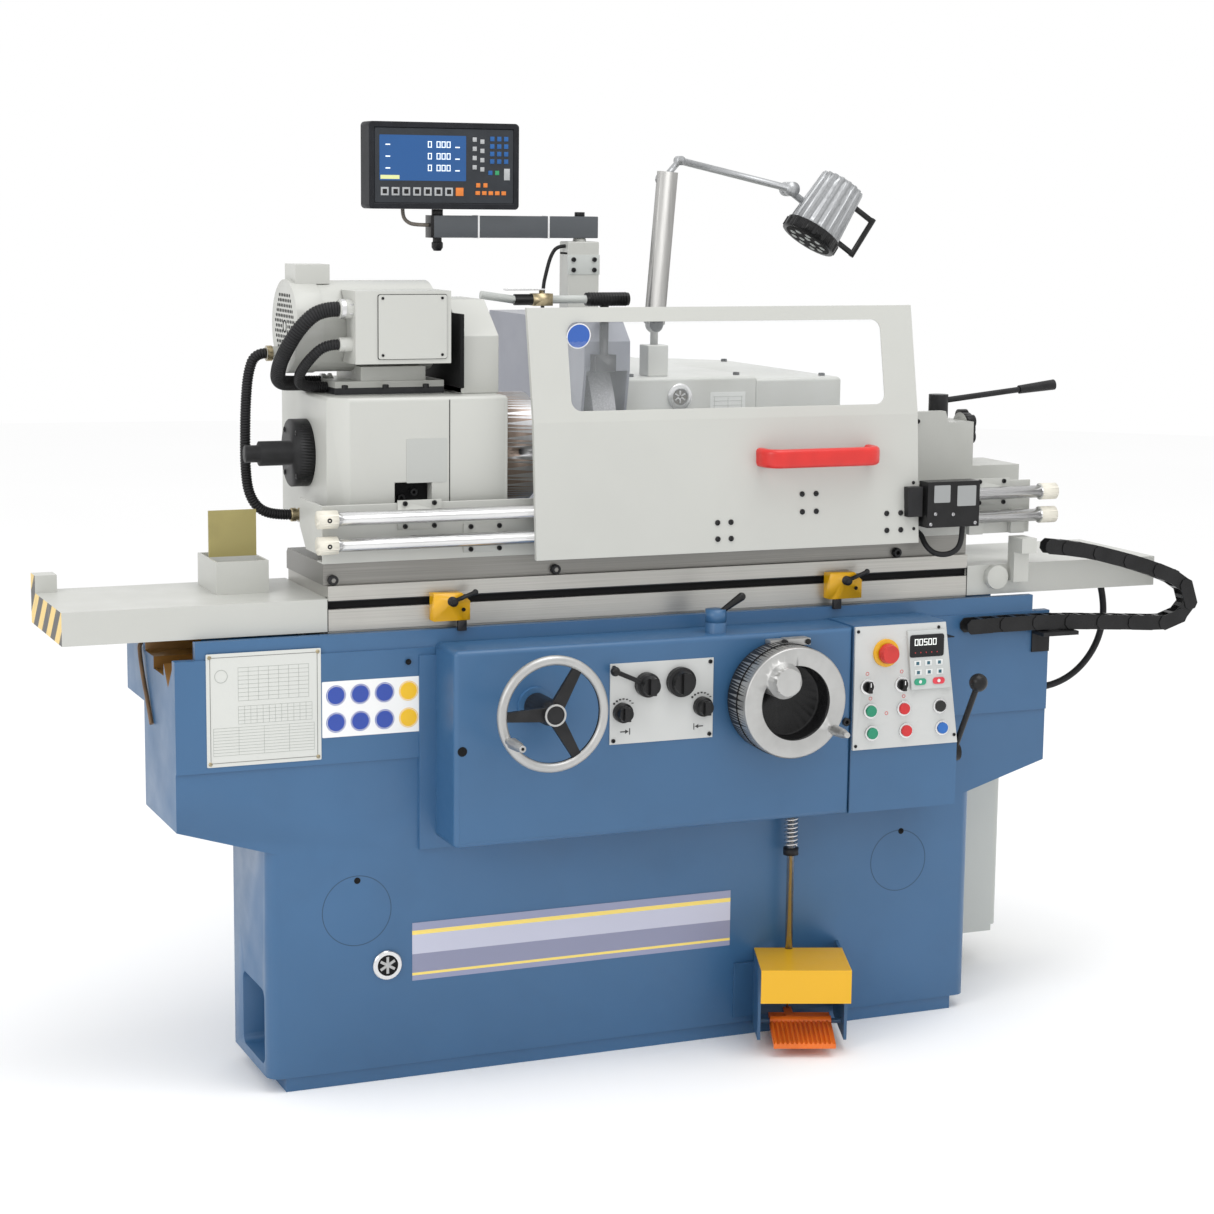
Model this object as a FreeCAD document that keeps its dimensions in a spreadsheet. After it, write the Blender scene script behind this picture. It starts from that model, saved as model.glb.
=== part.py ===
import FreeCAD, Part
import math
import os
import re
import Sketcher

# Cylindrical grinding machine, in millimetres.
# X runs along the table to the right, Y to the rear and Z up. The origin is on the floor
# under the middle of the bed.

SIZES = {
    # work axis, wheel axis and clearances
    "axis_height": 1160, "axis_back": 95, "wheel_back": 460, "swivel_across": 54, "swivel_offset": 30,
    "slide_clearance": 0.1, "running_clearance": 0.08, "seat_clearance": 0.2, "cut_overrun": 5,
    # bed casting
    "bed_length": 1800, "bed_depth": 240, "bed_top": 850, "plinth_height": 28, "plinth_recess": 6,
    "pedestal_length": 1470, "pedestal_top": 458, "bed_underside": 508, "pedestal_round": 25,
    "plinth_inset": 34, "band_low": 614, "band_proud": 4, "pad_left": 447, "pad_right": 600,
    "pad_low": 440, "pad_high": 804, "pad_proud": 8, "notch_length": 38, "notch_depth": 32,
    "bed_wall": 16, "way_depth": 48, "vee_half": 32, "vee_depth": 39, "flat_way_width": 66,
    "way_valley": 22, "trough_depth": 138, "trough_low": 705, "trough_high": 802, "trough_wall": 12,
    "stem_left": 60, "stem_right": 560, "stem_back": 1000, "stem_top": 880, "stem_round": 40,
    "rail_left": 210, "rail_right": 480, "rail_height": 24, "stem_step_back": 186,
    "lift_front": 92, "lift_back": 58, "lift_low": 48, "lift_high": 190, "lift_reach": 90,
    "lift_round": 18,
    # apron and control box
    "apron_left": 415, "apron_right": 394, "apron_front": 230, "apron_low": 461, "apron_top": 826,
    "apron_round": 10, "box_right_low": 630, "box_right_high": 596, "box_knee": 584, "box_top": 829,
    "plate_thick": 2.5, "hydraulic_left": 112, "hydraulic_right": 98, "hydraulic_low": 634,
    "hydraulic_high": 786, "panel_thick": 5, "panel_edge": 2, "panel_low": 586, "panel_right_low": 628,
    "panel_right_high": 594, "reverse_boss_height": 20, "boss_radius": 34, "boss_length": 8,
    # cabinet
    "cabinet_back": 430, "cabinet_right": 958, "cabinet_low": 77, "cabinet_high": 700,
    "door_thick": 20, "door_margin": 16, "cabinet_round": 6,
    # pedal group, turned about the upright rod
    "rod_across": 311, "rod_back": 150, "pedal_turn_angle": 20.8, "guard_left": 62, "guard_right": 100,
    "guard_reach": 150, "guard_top": 178, "guard_lip": 112, "sheet_metal": 3, "cheek_low": 22,
    "cheek_reach": 96, "cheek_thick": 6, "left_cheek_back": 4, "right_cheek_back": 68,
    "bracket_left": 205, "bracket_right": 425, "bracket_low": 40, "bracket_high": 150,
    "tread_left": 40, "tread_right": 80, "tread_front": 140, "tread_back": 22, "tread_front_height": 28,
    "tread_thick": 9, "pedal_pivot": 50, "pivot_height": 46, "pin_radius": 5, "rib_pitch": 9,
    "rib_width": 4, "rib_height": 3, "pedal_arm_width": 16, "rod_radius": 7.5, "rod_tip_radius": 2.5,
    "rod_tip_length": 14, "rod_low": 56.4, "collar_radius": 15,
    "collar_low": 368, "collar_height": 14, "rod_insertion": 30, "rod_stroke_room": 24,
    "spring_radius": 14, "spring_wire": 3.6, "spring_turns_count": 9,
    # handwheels
    "table_wheel_across": -260, "table_wheel_height": 719, "wheel_plane": 320, "rim_radius": 98,
    "rim_thick": 9, "hub_radius": 24, "spoke_width": 28, "spoke_end_width": 16, "spoke_thick": 9,
    "spoke_count": 3, "hub_face_radius": 19.2,
    "wheel_shaft": 12, "shaft_insertion": 30, "grip_radius": 10.5, "grip_length": 72,
    "grip_angle": 205, "infeed_across": 228, "infeed_height": 706, "drum_radius": 106,
    "drum_back": 241, "bowl_radius": 71, "bowl_depth": 46, "fine_across": 30, "fine_up": 46,
    "fine_ring_radius": 34, "fine_knob_radius": 26, "fine_ring_thick": 12, "fine_knob_thick": 18,
    "infeed_grip_angle": -36,
    # knobs and levers of the apron
    "start_across": -40, "start_height": 744, "start_radius": 23, "start_depth": 30,
    "start_reach": 75, "start_angle": 156, "start_ball": 9, "speed_across": 29, "speed_height": 745,
    "speed_radius": 28, "speed_depth": 26, "dwell_radius": 18.5, "dwell_depth": 24,
    "left_dwell_across": -88, "left_dwell_height": 694, "right_dwell_across": 75,
    "right_dwell_height": 695, "knob_shaft": 6, "knob_insertion": 18, "ridge_width": 12,
    "reverse_across": 121, "reverse_back": 190, "reverse_radius": 20, "reverse_height": 24,
    "reverse_length": 62, "reverse_tilt_angle": 52, "reverse_turn_angle": -39, "reverse_ball": 8,
    "rapid_back": 205, "rapid_height": 560, "rapid_radius": 18, "rapid_width": 16,
    "rapid_length": 176, "rapid_lean_angle": 29, "rapid_ball": 18,
    # electric controls
    "button_radius": 11, "button_proud": 8, "button_travel": 3, "button_insertion": 3,
    "collar_ring": 4, "collar_proud": 4, "green_across": 432, "green_across_low": 436,
    "red_across": 505, "red_across_low": 511, "blue_across": 591, "black_across": 585,
    "button_row": 662, "button_row_low": 618, "left_selector_across": 424,
    "right_selector_across": 499, "selector_height": 710, "selector_grip": 8,
    "stop_across": 462, "stop_height": 774, "stop_radius": 20, "stop_face_radius": 17.2,
    "stop_depth": 16, "stop_stem": 9, "stop_base_radius": 27,
    "stop_base_depth": 6, "keypad_left": 507, "keypad_right": 591,
    "keypad_left_low": 519, "keypad_right_low": 608, "keypad_low": 698, "keypad_high": 814,
    "keypad_thick": 6,
    # tables
    "table_left": 611, "table_right": 718, "table_front": 100, "table_back": 160, "table_low": 853,
    "table_top": 936, "slot_low": 893, "slot_high": 909, "slot_neck": 8, "slot_depth": 18,
    "slot_lip": 6, "cover_left_reach": 481, "cover_right_reach": 447, "cover_top": 913,
    "cover_back": 180, "cover_wall": 4, "stop_block_width": 40, "stop_block_height": 32,
    "tray_left": 788, "tray_width": 98, "tray_front": 11, "tray_back": 150, "tray_height": 60,
    "tray_plate_height": 146, "clamp_knob_across": 781, "clamp_knob_radius": 24,
    "clamp_knob_height": 16, "chain_post_across": 812, "chain_post_width": 34,
    # trip dogs
    "left_dog_across": -383, "right_dog_across": 431, "dog_width": 70, "dog_low": 865, "dog_high": 916,
    "dog_depth": 26, "tab_width": 16, "tab_drop": 19, "tab_proud": 4, "tab_gap": 1.5,
    "dog_lever_length": 46, "dog_lever_angle": 20, "dog_lever_radius": 4, "dog_ball": 5.6,
    "dog_hub_radius": 9, "dog_hub_depth": 10,
    # swivel table
    "swivel_left": 617, "swivel_right": 720, "swivel_front": 90, "swivel_back": 150,
    "swivel_top": 976, "pivot_radius": 30, "pivot_depth": 20, "swivel_chamfer": 8, "bolt_radius": 9,
    "bolt_depth": 9, "bolt_height": 946, "left_bolt_across": -600, "middle_bolt_across": -167,
    # workhead
    "head_left": 593, "head_right": 254, "head_front": 70, "head_back": 259, "head_low": 1022,
    "head_top": 1272, "head_chamfer": 34, "head_round": 8, "foot_margin": 28, "foot_height": 34,
    "head_slot_left": 474, "head_slot_right": 403, "head_slot_low": 1077, "head_slot_high": 1116,
    "head_slot_depth": 30, "turntable_radius": 120, "spindle_radius": 44, "chuck_radius": 105,
    "chuck_length": 78, "chuck_neck_radius": 80, "chuck_neck_length": 12, "jaw_width": 26,
    "jaw_length": 22, "jaw_inner": 24, "jaw_outer": 92, "jaw_count": 3, "key_radius": 7,
    "flange_radius": 63, "flange_length": 30, "sleeve_radius": 23, "sleeve_length": 60,
    "tip_radius": 16, "tip_length": 27, "belt_left": 328, "belt_front": 20, "belt_back": 190,
    "belt_front_top": 1379, "belt_top": 1443, "belt_slope": 80, "belt_wall": 4,
    # workhead motor
    "motor_height": 1394, "motor_radius": 84, "motor_left": 612, "motor_right": 360,
    "fan_length": 50, "fan_overhang": 20, "fan_radius": 86,
    "motor_shaft_radius": 14, "pulley_radius": 40,
    "pulley_length": 26, "motor_foot_height": 12, "motor_plate_low": 1272, "motor_plate_thick": 12,
    "motor_plate_left": 560, "motor_plate_right": 350, "motor_plate_front": 15,
    "motor_plate_back": 175, "terminal_left": 540, "terminal_right": 357, "terminal_front": -45,
    "terminal_low": 1331, "terminal_high": 1463, "terminal_back": 75, "capacitor_left": 621,
    "capacitor_right": 556, "capacitor_front": 60, "capacitor_back": 130, "capacitor_top": 1508,
    # flexible conduits
    "large_conduit": 14, "small_conduit": 10, "conduit_rib": 1.6, "gland_length": 24,
    "gland_clear": 3, "large_gland_height": 1430, "small_gland_height": 1366, "gland_back": -20,
    "side_gland_height": 1342, "side_gland_back": 140,
    # tailstock
    "tail_left": 640, "tail_right": 795, "tail_front": 20, "tail_back": 165, "tail_top": 1190,
    "tail_foot_left": 560, "tail_foot_right": 716, "tail_foot_top": 1050, "tail_box_right": 906,
    "tail_box_low": 1010, "tail_box_top": 1100, "tail_hood_right": 764, "tail_hood_top": 1215,
    "tail_hood_width": 47, "tail_hood_low": 1072, "hood_thick": 20,
    "quill_radius": 22, "tail_pin_depth": 10,
    "quill_left": 612, "quill_length": 148, "quill_travel": 25, "centre_length": 52,
    "centre_radius": 15, "centre_tip_radius": 0.5, "tail_hub_across": 741,
    "tail_hub_radius": 20, "tail_hub_low": 1190, "tail_hub_high": 1243,
    "tail_lever_height": 1229, "tail_lever_length": 276,
    "tail_lever_radius": 6, "tail_grip_length": 84, "tail_grip_radius": 11, "tail_grip_neck": 8.8,
    "tail_lever_angle": 6, "tail_knob_radius": 40, "tail_knob_height": 1172,
    "tail_knob_thick": 18, "lobe_count": 5,
    "lobe_radius": 14,
    # sliding guard
    "rail_plate_left": 620, "rail_plate_right": 862, "rail_plate_front": 95, "rail_plate_top": 1082,
    "rail_flange": 30, "end_plate_back": 50, "end_plate_low": 990, "end_plate_cut": 40,
    "bar_left": 600, "bar_right": 868, "bar_front": 120, "bar_radius": 12.5, "upper_bar": 1060,
    "lower_bar": 1013, "cap_radius": 16.5, "cap_length": 36, "saddle_width": 84, "saddle_height": 54,
    "upper_saddle_left": -478, "lower_saddle_left": -351, "right_saddle_left": 728,
    "black_bracket_width": 32, "guard_sheet_left": 227, "guard_sheet_right": 577,
    "guard_low": 972, "guard_bend": 1224, "guard_high": 1433, "guard_low_front": 150,
    "guard_bend_front": 132, "guard_high_front": 92, "guard_skin": 2.5, "guard_return": 10,
    "window_left": 150, "window_right": 506, "window_low": 1244, "window_high": 1406,
    "window_round": 20, "pane_margin": 12, "pane_thick": 3, "block_height": 42,
    "block_width": 40, "block_reach": 8, "first_block": 136,
    "second_block": 316, "third_block": 501, "handle_left": 225,
    "handle_right": 477, "handle_height": 1149, "handle_depth": 36, "handle_reach": 52,
    "handle_thick": 20, "handle_round": 9, "handle_corner": 28,
    "actuator_left": 545, "actuator_width": 31,
    "actuator_low": 1025, "actuator_height": 58, "actuator_depth": 16,
    "switch_left": 582, "switch_right": 699, "switch_low": 1003, "switch_high": 1093,
    "switch_front": 172, "switch_back": 136, "switch_arm_height": 16, "switch_arm_width": 60,
    "cable_radius": 5.5,
    # wheelhead
    "slide_left": 150, "slide_right": 540, "slide_front": 338, "slide_back": 900,
    "body_left": 132, "body_right": 628, "body_seam": 430, "body_front": 285, "body_back": 980,
    "body_low": 1098, "body_top": 1272, "body_round": 8, "cover_drop": 5,
    "post_across": 176, "post_back": 640, "post_width": 72, "post_depth": 50, "post_top": 1540,
    "lamp_foot_width": 46, "lamp_foot_top": 1336,
    "disc_radius": 200, "disc_width": 50, "disc_left": 56, "disc_flange_radius": 70,
    "disc_flange_width": 12, "wheel_spindle_radius": 34, "wheel_spindle_reach": 160,
    "hood_left": 30, "hood_right": 130, "hood_skin": 6, "hood_radius": 236, "hood_rear": 800,
    "hood_top": 1388, "hood_lip": 1290, "hood_lip_front": 252, "hood_hole_radius": 49,
    "pipe_across": 65, "pipe_back": 235, "pipe_radius": 9, "line_height": 1434, "pipe_low": 1301,
    "nozzle_width": 44, "nozzle_height": 34, "sleeve_left": 25,
    "sleeve_right": 116, "sleeve_ring_radius": 13, "hose_left": -50, "hose_radius": 8,
    "valve_left": -90, "valve_width": 40, "valve_height": 24, "nut_left": -127, "nut_radius": 11,
    "tube_left": -198, "tube_radius": 8, "tube_rise_angle": 8, "valve_lever_across": -70,
    "valve_lever_length": 78, "valve_lever_width": 12, "valve_lever_thick": 3,
    # lamp
    "lamp_across": 221, "lamp_back": 340, "lamp_pivot_height": 1378, "lamp_knob_radius": 19,
    "lamp_stem_radius": 8, "arm_width": 38, "arm_depth": 20, "arm_length": 310,
    "arm_lean_angle": 4.7, "elbow_radius": 15, "link_length": 52, "link_angle": 47,
    "tube_length": 264, "tube_fall_angle": 12, "lamp_tube_radius": 7.5, "head_angle": 56,
    "head_length": 118, "lamp_radius": 58, "bezel_radius": 61, "bezel_length": 24,
    "lamp_neck": 35, "neck_along": 41, "lamp_back_radius": 49,
    "knuckle_radius": 9.5, "link_radius": 6.5,
    "hub_disc_radius": 15, "fin_count": 18, "fin_height": 4, "fin_width": 7, "bail_radius": 6,
    "bail_reach": 46,
    # readout
    "arm_left": -166, "arm_height": 1570, "arm_rise": 46, "arm_thick": 36, "unit_left": -304,
    "unit_width": 330, "unit_low": 1606, "unit_height": 178, "unit_thick": 58, "unit_round": 9,
    "screen_recess": 3, "screen_margin": 12, "hinge_across": -146, "hinge_radius": 14,
    "hinge_knob_radius": 9.8,
    # drag chain and hoses
    "chain_front": 140, "chain_pitch": 38, "chain_half": 15, "chain_start_height": 955,
    "chain_end_height": 797, "chain_plate": 2.2,
    "shelf_left": 859, "shelf_right": 942, "shelf_top": 779.8, "shelf_thick": 8, "shelf_depth": 46,
    "hose_black_radius": 7, "hose_brown_radius": 4,
}

doc = FreeCAD.newDocument("cylindrical_grinding_machine")
dim = doc.addObject("Spreadsheet::Sheet", "dim")
for row, (alias, number) in enumerate(SIZES.items(), start=1):
    dim.set(f"A{row}", alias)
    dim.set(f"B{row}", str(number))
    dim.setAlias(f"B{row}", alias)
doc.recompute()

ALIAS = re.compile(r"\b([a-z][a-z0-9]*(?:_[a-z0-9]+)+)\b")
ROLES = {"X": "YZ_Plane", "Y": "XZ_Plane", "Z": "XY_Plane"}
AXES = {"X": "X_Axis", "Y": "Y_Axis", "Z": "Z_Axis"}
ALONG = {
    "X": FreeCAD.Rotation(FreeCAD.Vector(0, 1, 0), 90),
    "Y": FreeCAD.Rotation(FreeCAD.Vector(1, 0, 0), -90),
    "Z": FreeCAD.Rotation(),
}
NODES = {}
CUTS = []
NEAR = 0.01
RUN_SHARE = 0.45
RIB_SHARES = [(0.15, 1), (0.35, 0), (0.75, 0), (0.95, 1)]
GRIP_SHARES = [(0, 0.62), (0.12, 0.62), (0.3, 1), (0.75, 0.85), (1, 0.5)]
KNOB_SHARES = [(0.45, 1), (0.55, 0.82), (1, 0.74)]
RIDGE_SHARES = {"front": 1.25, "back": 0.5, "half": 0.7}
HOOD_SHARES = [(0.75, -0.72), (0.3, -1), (-0.3, -1), (-0.62, -0.8)]


def size(alias):
    """The value of one named size."""
    return float(dim.get(alias))


def bind(thing, prop, expression):
    """Tie a property to named sizes."""
    thing.setExpression(prop, ALIAS.sub(r"dim.\1", expression))


def seat(thing, place):
    """Put a piece at a place given in named sizes."""
    for axis, expression in zip("xyz", place):
        bind(thing, "Placement.Base." + axis, expression)
    return thing


def block(name, x, y, z):
    """A box between a low and a high value on each axis."""
    part = doc.addObject("Part::Box", name)
    for prop, (low, high) in zip(("Length", "Width", "Height"), (x, y, z)):
        bind(part, prop, f"({high}) - ({low})")
    return seat(part, (x[0], y[0], z[0]))


def rod(name, axis, place, radius, length):
    """A round bar that starts at a place and runs along an axis."""
    part = doc.addObject("Part::Cylinder", name)
    part.Placement.Rotation = ALONG[axis]
    bind(part, "Radius", radius)
    bind(part, "Height", length)
    return seat(part, place)


def taper(name, axis, place, first, last, length):
    """A cone that starts at a place and runs along an axis."""
    part = doc.addObject("Part::Cone", name)
    part.Placement.Rotation = ALONG[axis]
    bind(part, "Radius1", first)
    bind(part, "Radius2", last)
    bind(part, "Height", length)
    return seat(part, place)


def ball(name, place, radius):
    """A ball about a place."""
    part = doc.addObject("Part::Sphere", name)
    bind(part, "Radius", radius)
    return seat(part, place)


def tilt(thing, axis, angle):
    """Turn a piece about its own origin by a named angle."""
    thing.Placement.Rotation = FreeCAD.Rotation(FreeCAD.Vector(*axis), 1)
    bind(thing, "Placement.Rotation.Angle", angle)
    return thing


def join(name, *parts):
    """Parts made in one piece."""
    whole = doc.addObject("Part::MultiFuse", name)
    whole.Shapes = list(parts)
    whole.Refine = True
    return whole


def carve(name, base, *tools):
    """A piece with other shapes cut out of it."""
    result = doc.addObject("Part::Cut", name)
    result.Base = base
    result.Tool = tools[0] if len(tools) == 1 else join(name + "_tools", *tools)
    return result


def group(name, *parts):
    """Separate solids that share a node."""
    whole = doc.addObject("Part::Compound", name)
    whole.Links = list(parts)
    return whole


def made(name, shape):
    """A piece whose shape is worked out from the sizes."""
    part = doc.addObject("Part::Feature", name)
    part.Shape = shape
    return part


def keep(node, thing):
    """Name a finished sub-part."""
    thing.Label = node
    NODES[node] = thing
    return thing


def origin_part(body, role):
    """A plane or an axis of a body's own origin."""
    return next(part for part in body.Origin.OriginFeatures if part.Role == role)


def outline(body, axis, points, offset):
    """A closed sketch of straight edges whose corners sit at named sizes."""
    sketch = body.newObject("Sketcher::SketchObject", body.Name + "_outline")
    sketch.AttachmentSupport = (origin_part(body, ROLES[axis]), [""])
    sketch.MapMode = "FlatFace"
    bind(sketch, "AttachmentOffset.Base.z", offset)
    count = len(points)
    turns = [2 * math.pi * step / count for step in range(count)]
    seeds = [FreeCAD.Vector(math.cos(turn), math.sin(turn), 0) for turn in turns]
    for step in range(count):
        sketch.addGeometry(Part.LineSegment(seeds[step], seeds[(step + 1) % count]), False)
    for step in range(count):
        sketch.addConstraint(Sketcher.Constraint("Coincident", step, 2, (step + 1) % count, 1))
    for step, point in enumerate(points):
        for kind, expression in zip(("DistanceX", "DistanceY"), point):
            index = sketch.addConstraint(Sketcher.Constraint(kind, -1, 1, step, 1, 1.0))
            bind(sketch, f"Constraints[{index}]", expression)
    return sketch


def slab(name, axis, points, low, high):
    """An outline made solid between two values on its axis."""
    body = doc.addObject("PartDesign::Body", name)
    add_slab(body, axis, points, low, high)
    return body


def add_slab(body, axis, points, low, high):
    """Another outline made solid on a body."""
    offset = f"-({high})" if axis == "Y" else low
    pad = body.newObject("PartDesign::Pad", body.Name + "_pad")
    pad.Profile = outline(body, axis, points, offset)
    bind(pad, "Length", f"({high}) - ({low})")
    return pad


def pocket(body, axis, points, low, high):
    """An outline cut away between two values on its axis."""
    offset = f"-({low})" if axis == "Y" else high
    feature = body.newObject("PartDesign::Pocket", body.Name + "_pocket")
    feature.Profile = outline(body, axis, points, offset)
    bind(feature, "Length", f"({high}) - ({low})")
    CUTS.append(feature)
    return feature


def spun(name, axis, points, turning):
    """An outline turned once round an axis of its body."""
    body = doc.addObject("PartDesign::Body", name)
    feature = body.newObject("PartDesign::Revolution", name + "_turned")
    feature.Profile = outline(body, axis, points, "0")
    feature.ReferenceAxis = (origin_part(body, AXES[turning]), [""])
    feature.Angle = 360
    return body


def rounded(body, radius, chosen):
    """Round the edges of a body that a test picks."""
    doc.recompute()
    tip = body.Tip
    names = [f"Edge{step}" for step, edge in enumerate(tip.Shape.Edges, start=1) if chosen(edge)]
    fillet = body.newObject("PartDesign::Fillet", body.Name + "_round")
    fillet.Base = (tip, names)
    bind(fillet, "Radius", radius)
    return fillet


def runs(edge, axis):
    """Whether an edge is straight and parallel to an axis."""
    if not isinstance(edge.Curve, (Part.Line, Part.LineSegment)):
        return False
    start, end = (vertex.Point for vertex in edge.Vertexes)
    step = (end - start).normalize()
    return abs(getattr(step, axis.lower())) > 1 - NEAR / 10


def at(edge, axis, value):
    """Whether the middle of an edge lies at a value on an axis."""
    middle = edge.CenterOfMass
    return abs(getattr(middle, axis.lower()) - value) < NEAR


def rectangle(low, high):
    """The four corners between two corners given in named sizes."""
    return [(low[0], low[1]), (high[0], low[1]), (high[0], high[1]), (low[0], high[1])]


def shell_box(name, x, y, z, wall, open_low):
    """A box of sheet, open underneath or above."""
    outer = block(name + "_outer", x, y, z)
    inside_z = ((f"{z[0]} - cut_overrun", f"{z[1]} - {wall}") if open_low
                else (f"{z[0]} + {wall}", f"{z[1]} + cut_overrun"))
    inner = block(name + "_inner", (f"{x[0]} + {wall}", f"{x[1]} - {wall}"),
                  (f"{y[0]} + {wall}", f"{y[1]} - {wall}"), inside_z)
    return carve(name, outer, inner)


def tube_path(points):
    """A wire of straight runs joined by tangent arcs, with the radius of each arc."""
    vectors = [FreeCAD.Vector(*point) for point in points]
    edges, radii = [], []
    start = vectors[0]
    for before, corner, after in zip(vectors, vectors[1:], vectors[2:]):
        into, away = corner - before, after - corner
        turn = into.getAngle(away)
        cut = RUN_SHARE * min(into.Length, away.Length)
        radii.append(cut / math.tan(turn / 2))
        first = corner - into.normalize() * cut
        last = corner + away.normalize() * cut
        bisector = (first + last) * 0.5 - corner
        reach = math.hypot(radii[-1], cut) - radii[-1]
        middle = corner + bisector.normalize() * reach
        edges.append(Part.makeLine(start, first))
        edges.append(Part.Arc(first, middle, last).toShape())
        start = last
    edges.append(Part.makeLine(start, vectors[-1]))
    return Part.Wire(edges), radii


def cord(name, points, radius):
    """A plain tube along a route, with its volume held against section times length."""
    path, radii = tube_path(points)
    heading = FreeCAD.Vector(*points[1]) - FreeCAD.Vector(*points[0])
    ring = Part.Wire(Part.makeCircle(radius, FreeCAD.Vector(*points[0]), heading))
    solid = path.makePipeShell([ring], True, False)
    share = solid.Volume / (math.pi * radius ** 2 * path.Length)
    text = " ".join(f"{value:.0f}" for value in radii)
    print(f"{name}: length {path.Length:.0f}, volume share {share:.4f}, radii {text}")
    return made(name, solid)


def ribbed_hose(name, points, radius, rib, pitch, steady):
    """A ribbed conduit with its bore: a ruled loft through four circles for each rib."""
    path, radii = tube_path(points)
    length = path.Length
    plain_end = 2 * radius
    count = int((length - 2 * plain_end) / pitch)
    steps = [(0.0, radius - rib), (plain_end, radius - rib)]
    for step in range(count):
        start = plain_end + step * pitch
        steps += [(start + pitch * share, radius - rib * low)
                  for share, low in RIB_SHARES]
    steps += [(length - plain_end + rib, radius - rib), (length, radius - rib)]
    spots = path.discretize(Number=int(length))
    scale = (len(spots) - 1) / length

    def ring(distance, size_here):
        low = max(0, min(int(distance * scale), len(spots) - 2))
        part = distance * scale - low
        centre = spots[low] + (spots[low + 1] - spots[low]) * part
        heading = (spots[low + 1] - spots[low]).normalize()
        frame = FreeCAD.Rotation(steady.cross(heading), steady, heading, "ZYX")
        circle = Part.makeCircle(size_here, FreeCAD.Vector(), FreeCAD.Vector(0, 0, 1))
        circle.Placement = FreeCAD.Placement(centre, frame)
        return Part.Wire(circle)

    inside = radius - 3 * rib
    outer = Part.makeLoft([ring(distance, value) for distance, value in steps], False, True)
    places = [0.0] + [distance for distance, value in steps[1:-1:4]] + [length]
    bore = Part.makeLoft([ring(distance, inside) for distance in places], False, True)
    ends = [Part.Face([ring(distance, radius - rib), ring(distance, inside)])
            for distance in (0.0, length)]
    shell = Part.Shell(outer.Faces + [face.reversed() for face in bore.Faces] + ends)
    shell.sewShape()
    solid = Part.makeSolid(shell)
    solid.fix(rib, rib / 1000, rib)
    print(f"{name}: length {length:.0f}, ribs {count}, radii", *[round(value) for value in radii])
    return made(name, solid)


# Bed, apron and floor parts

BED_FRONT = "-bed_depth / 2"
BED_BACK = "bed_depth / 2"


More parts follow.
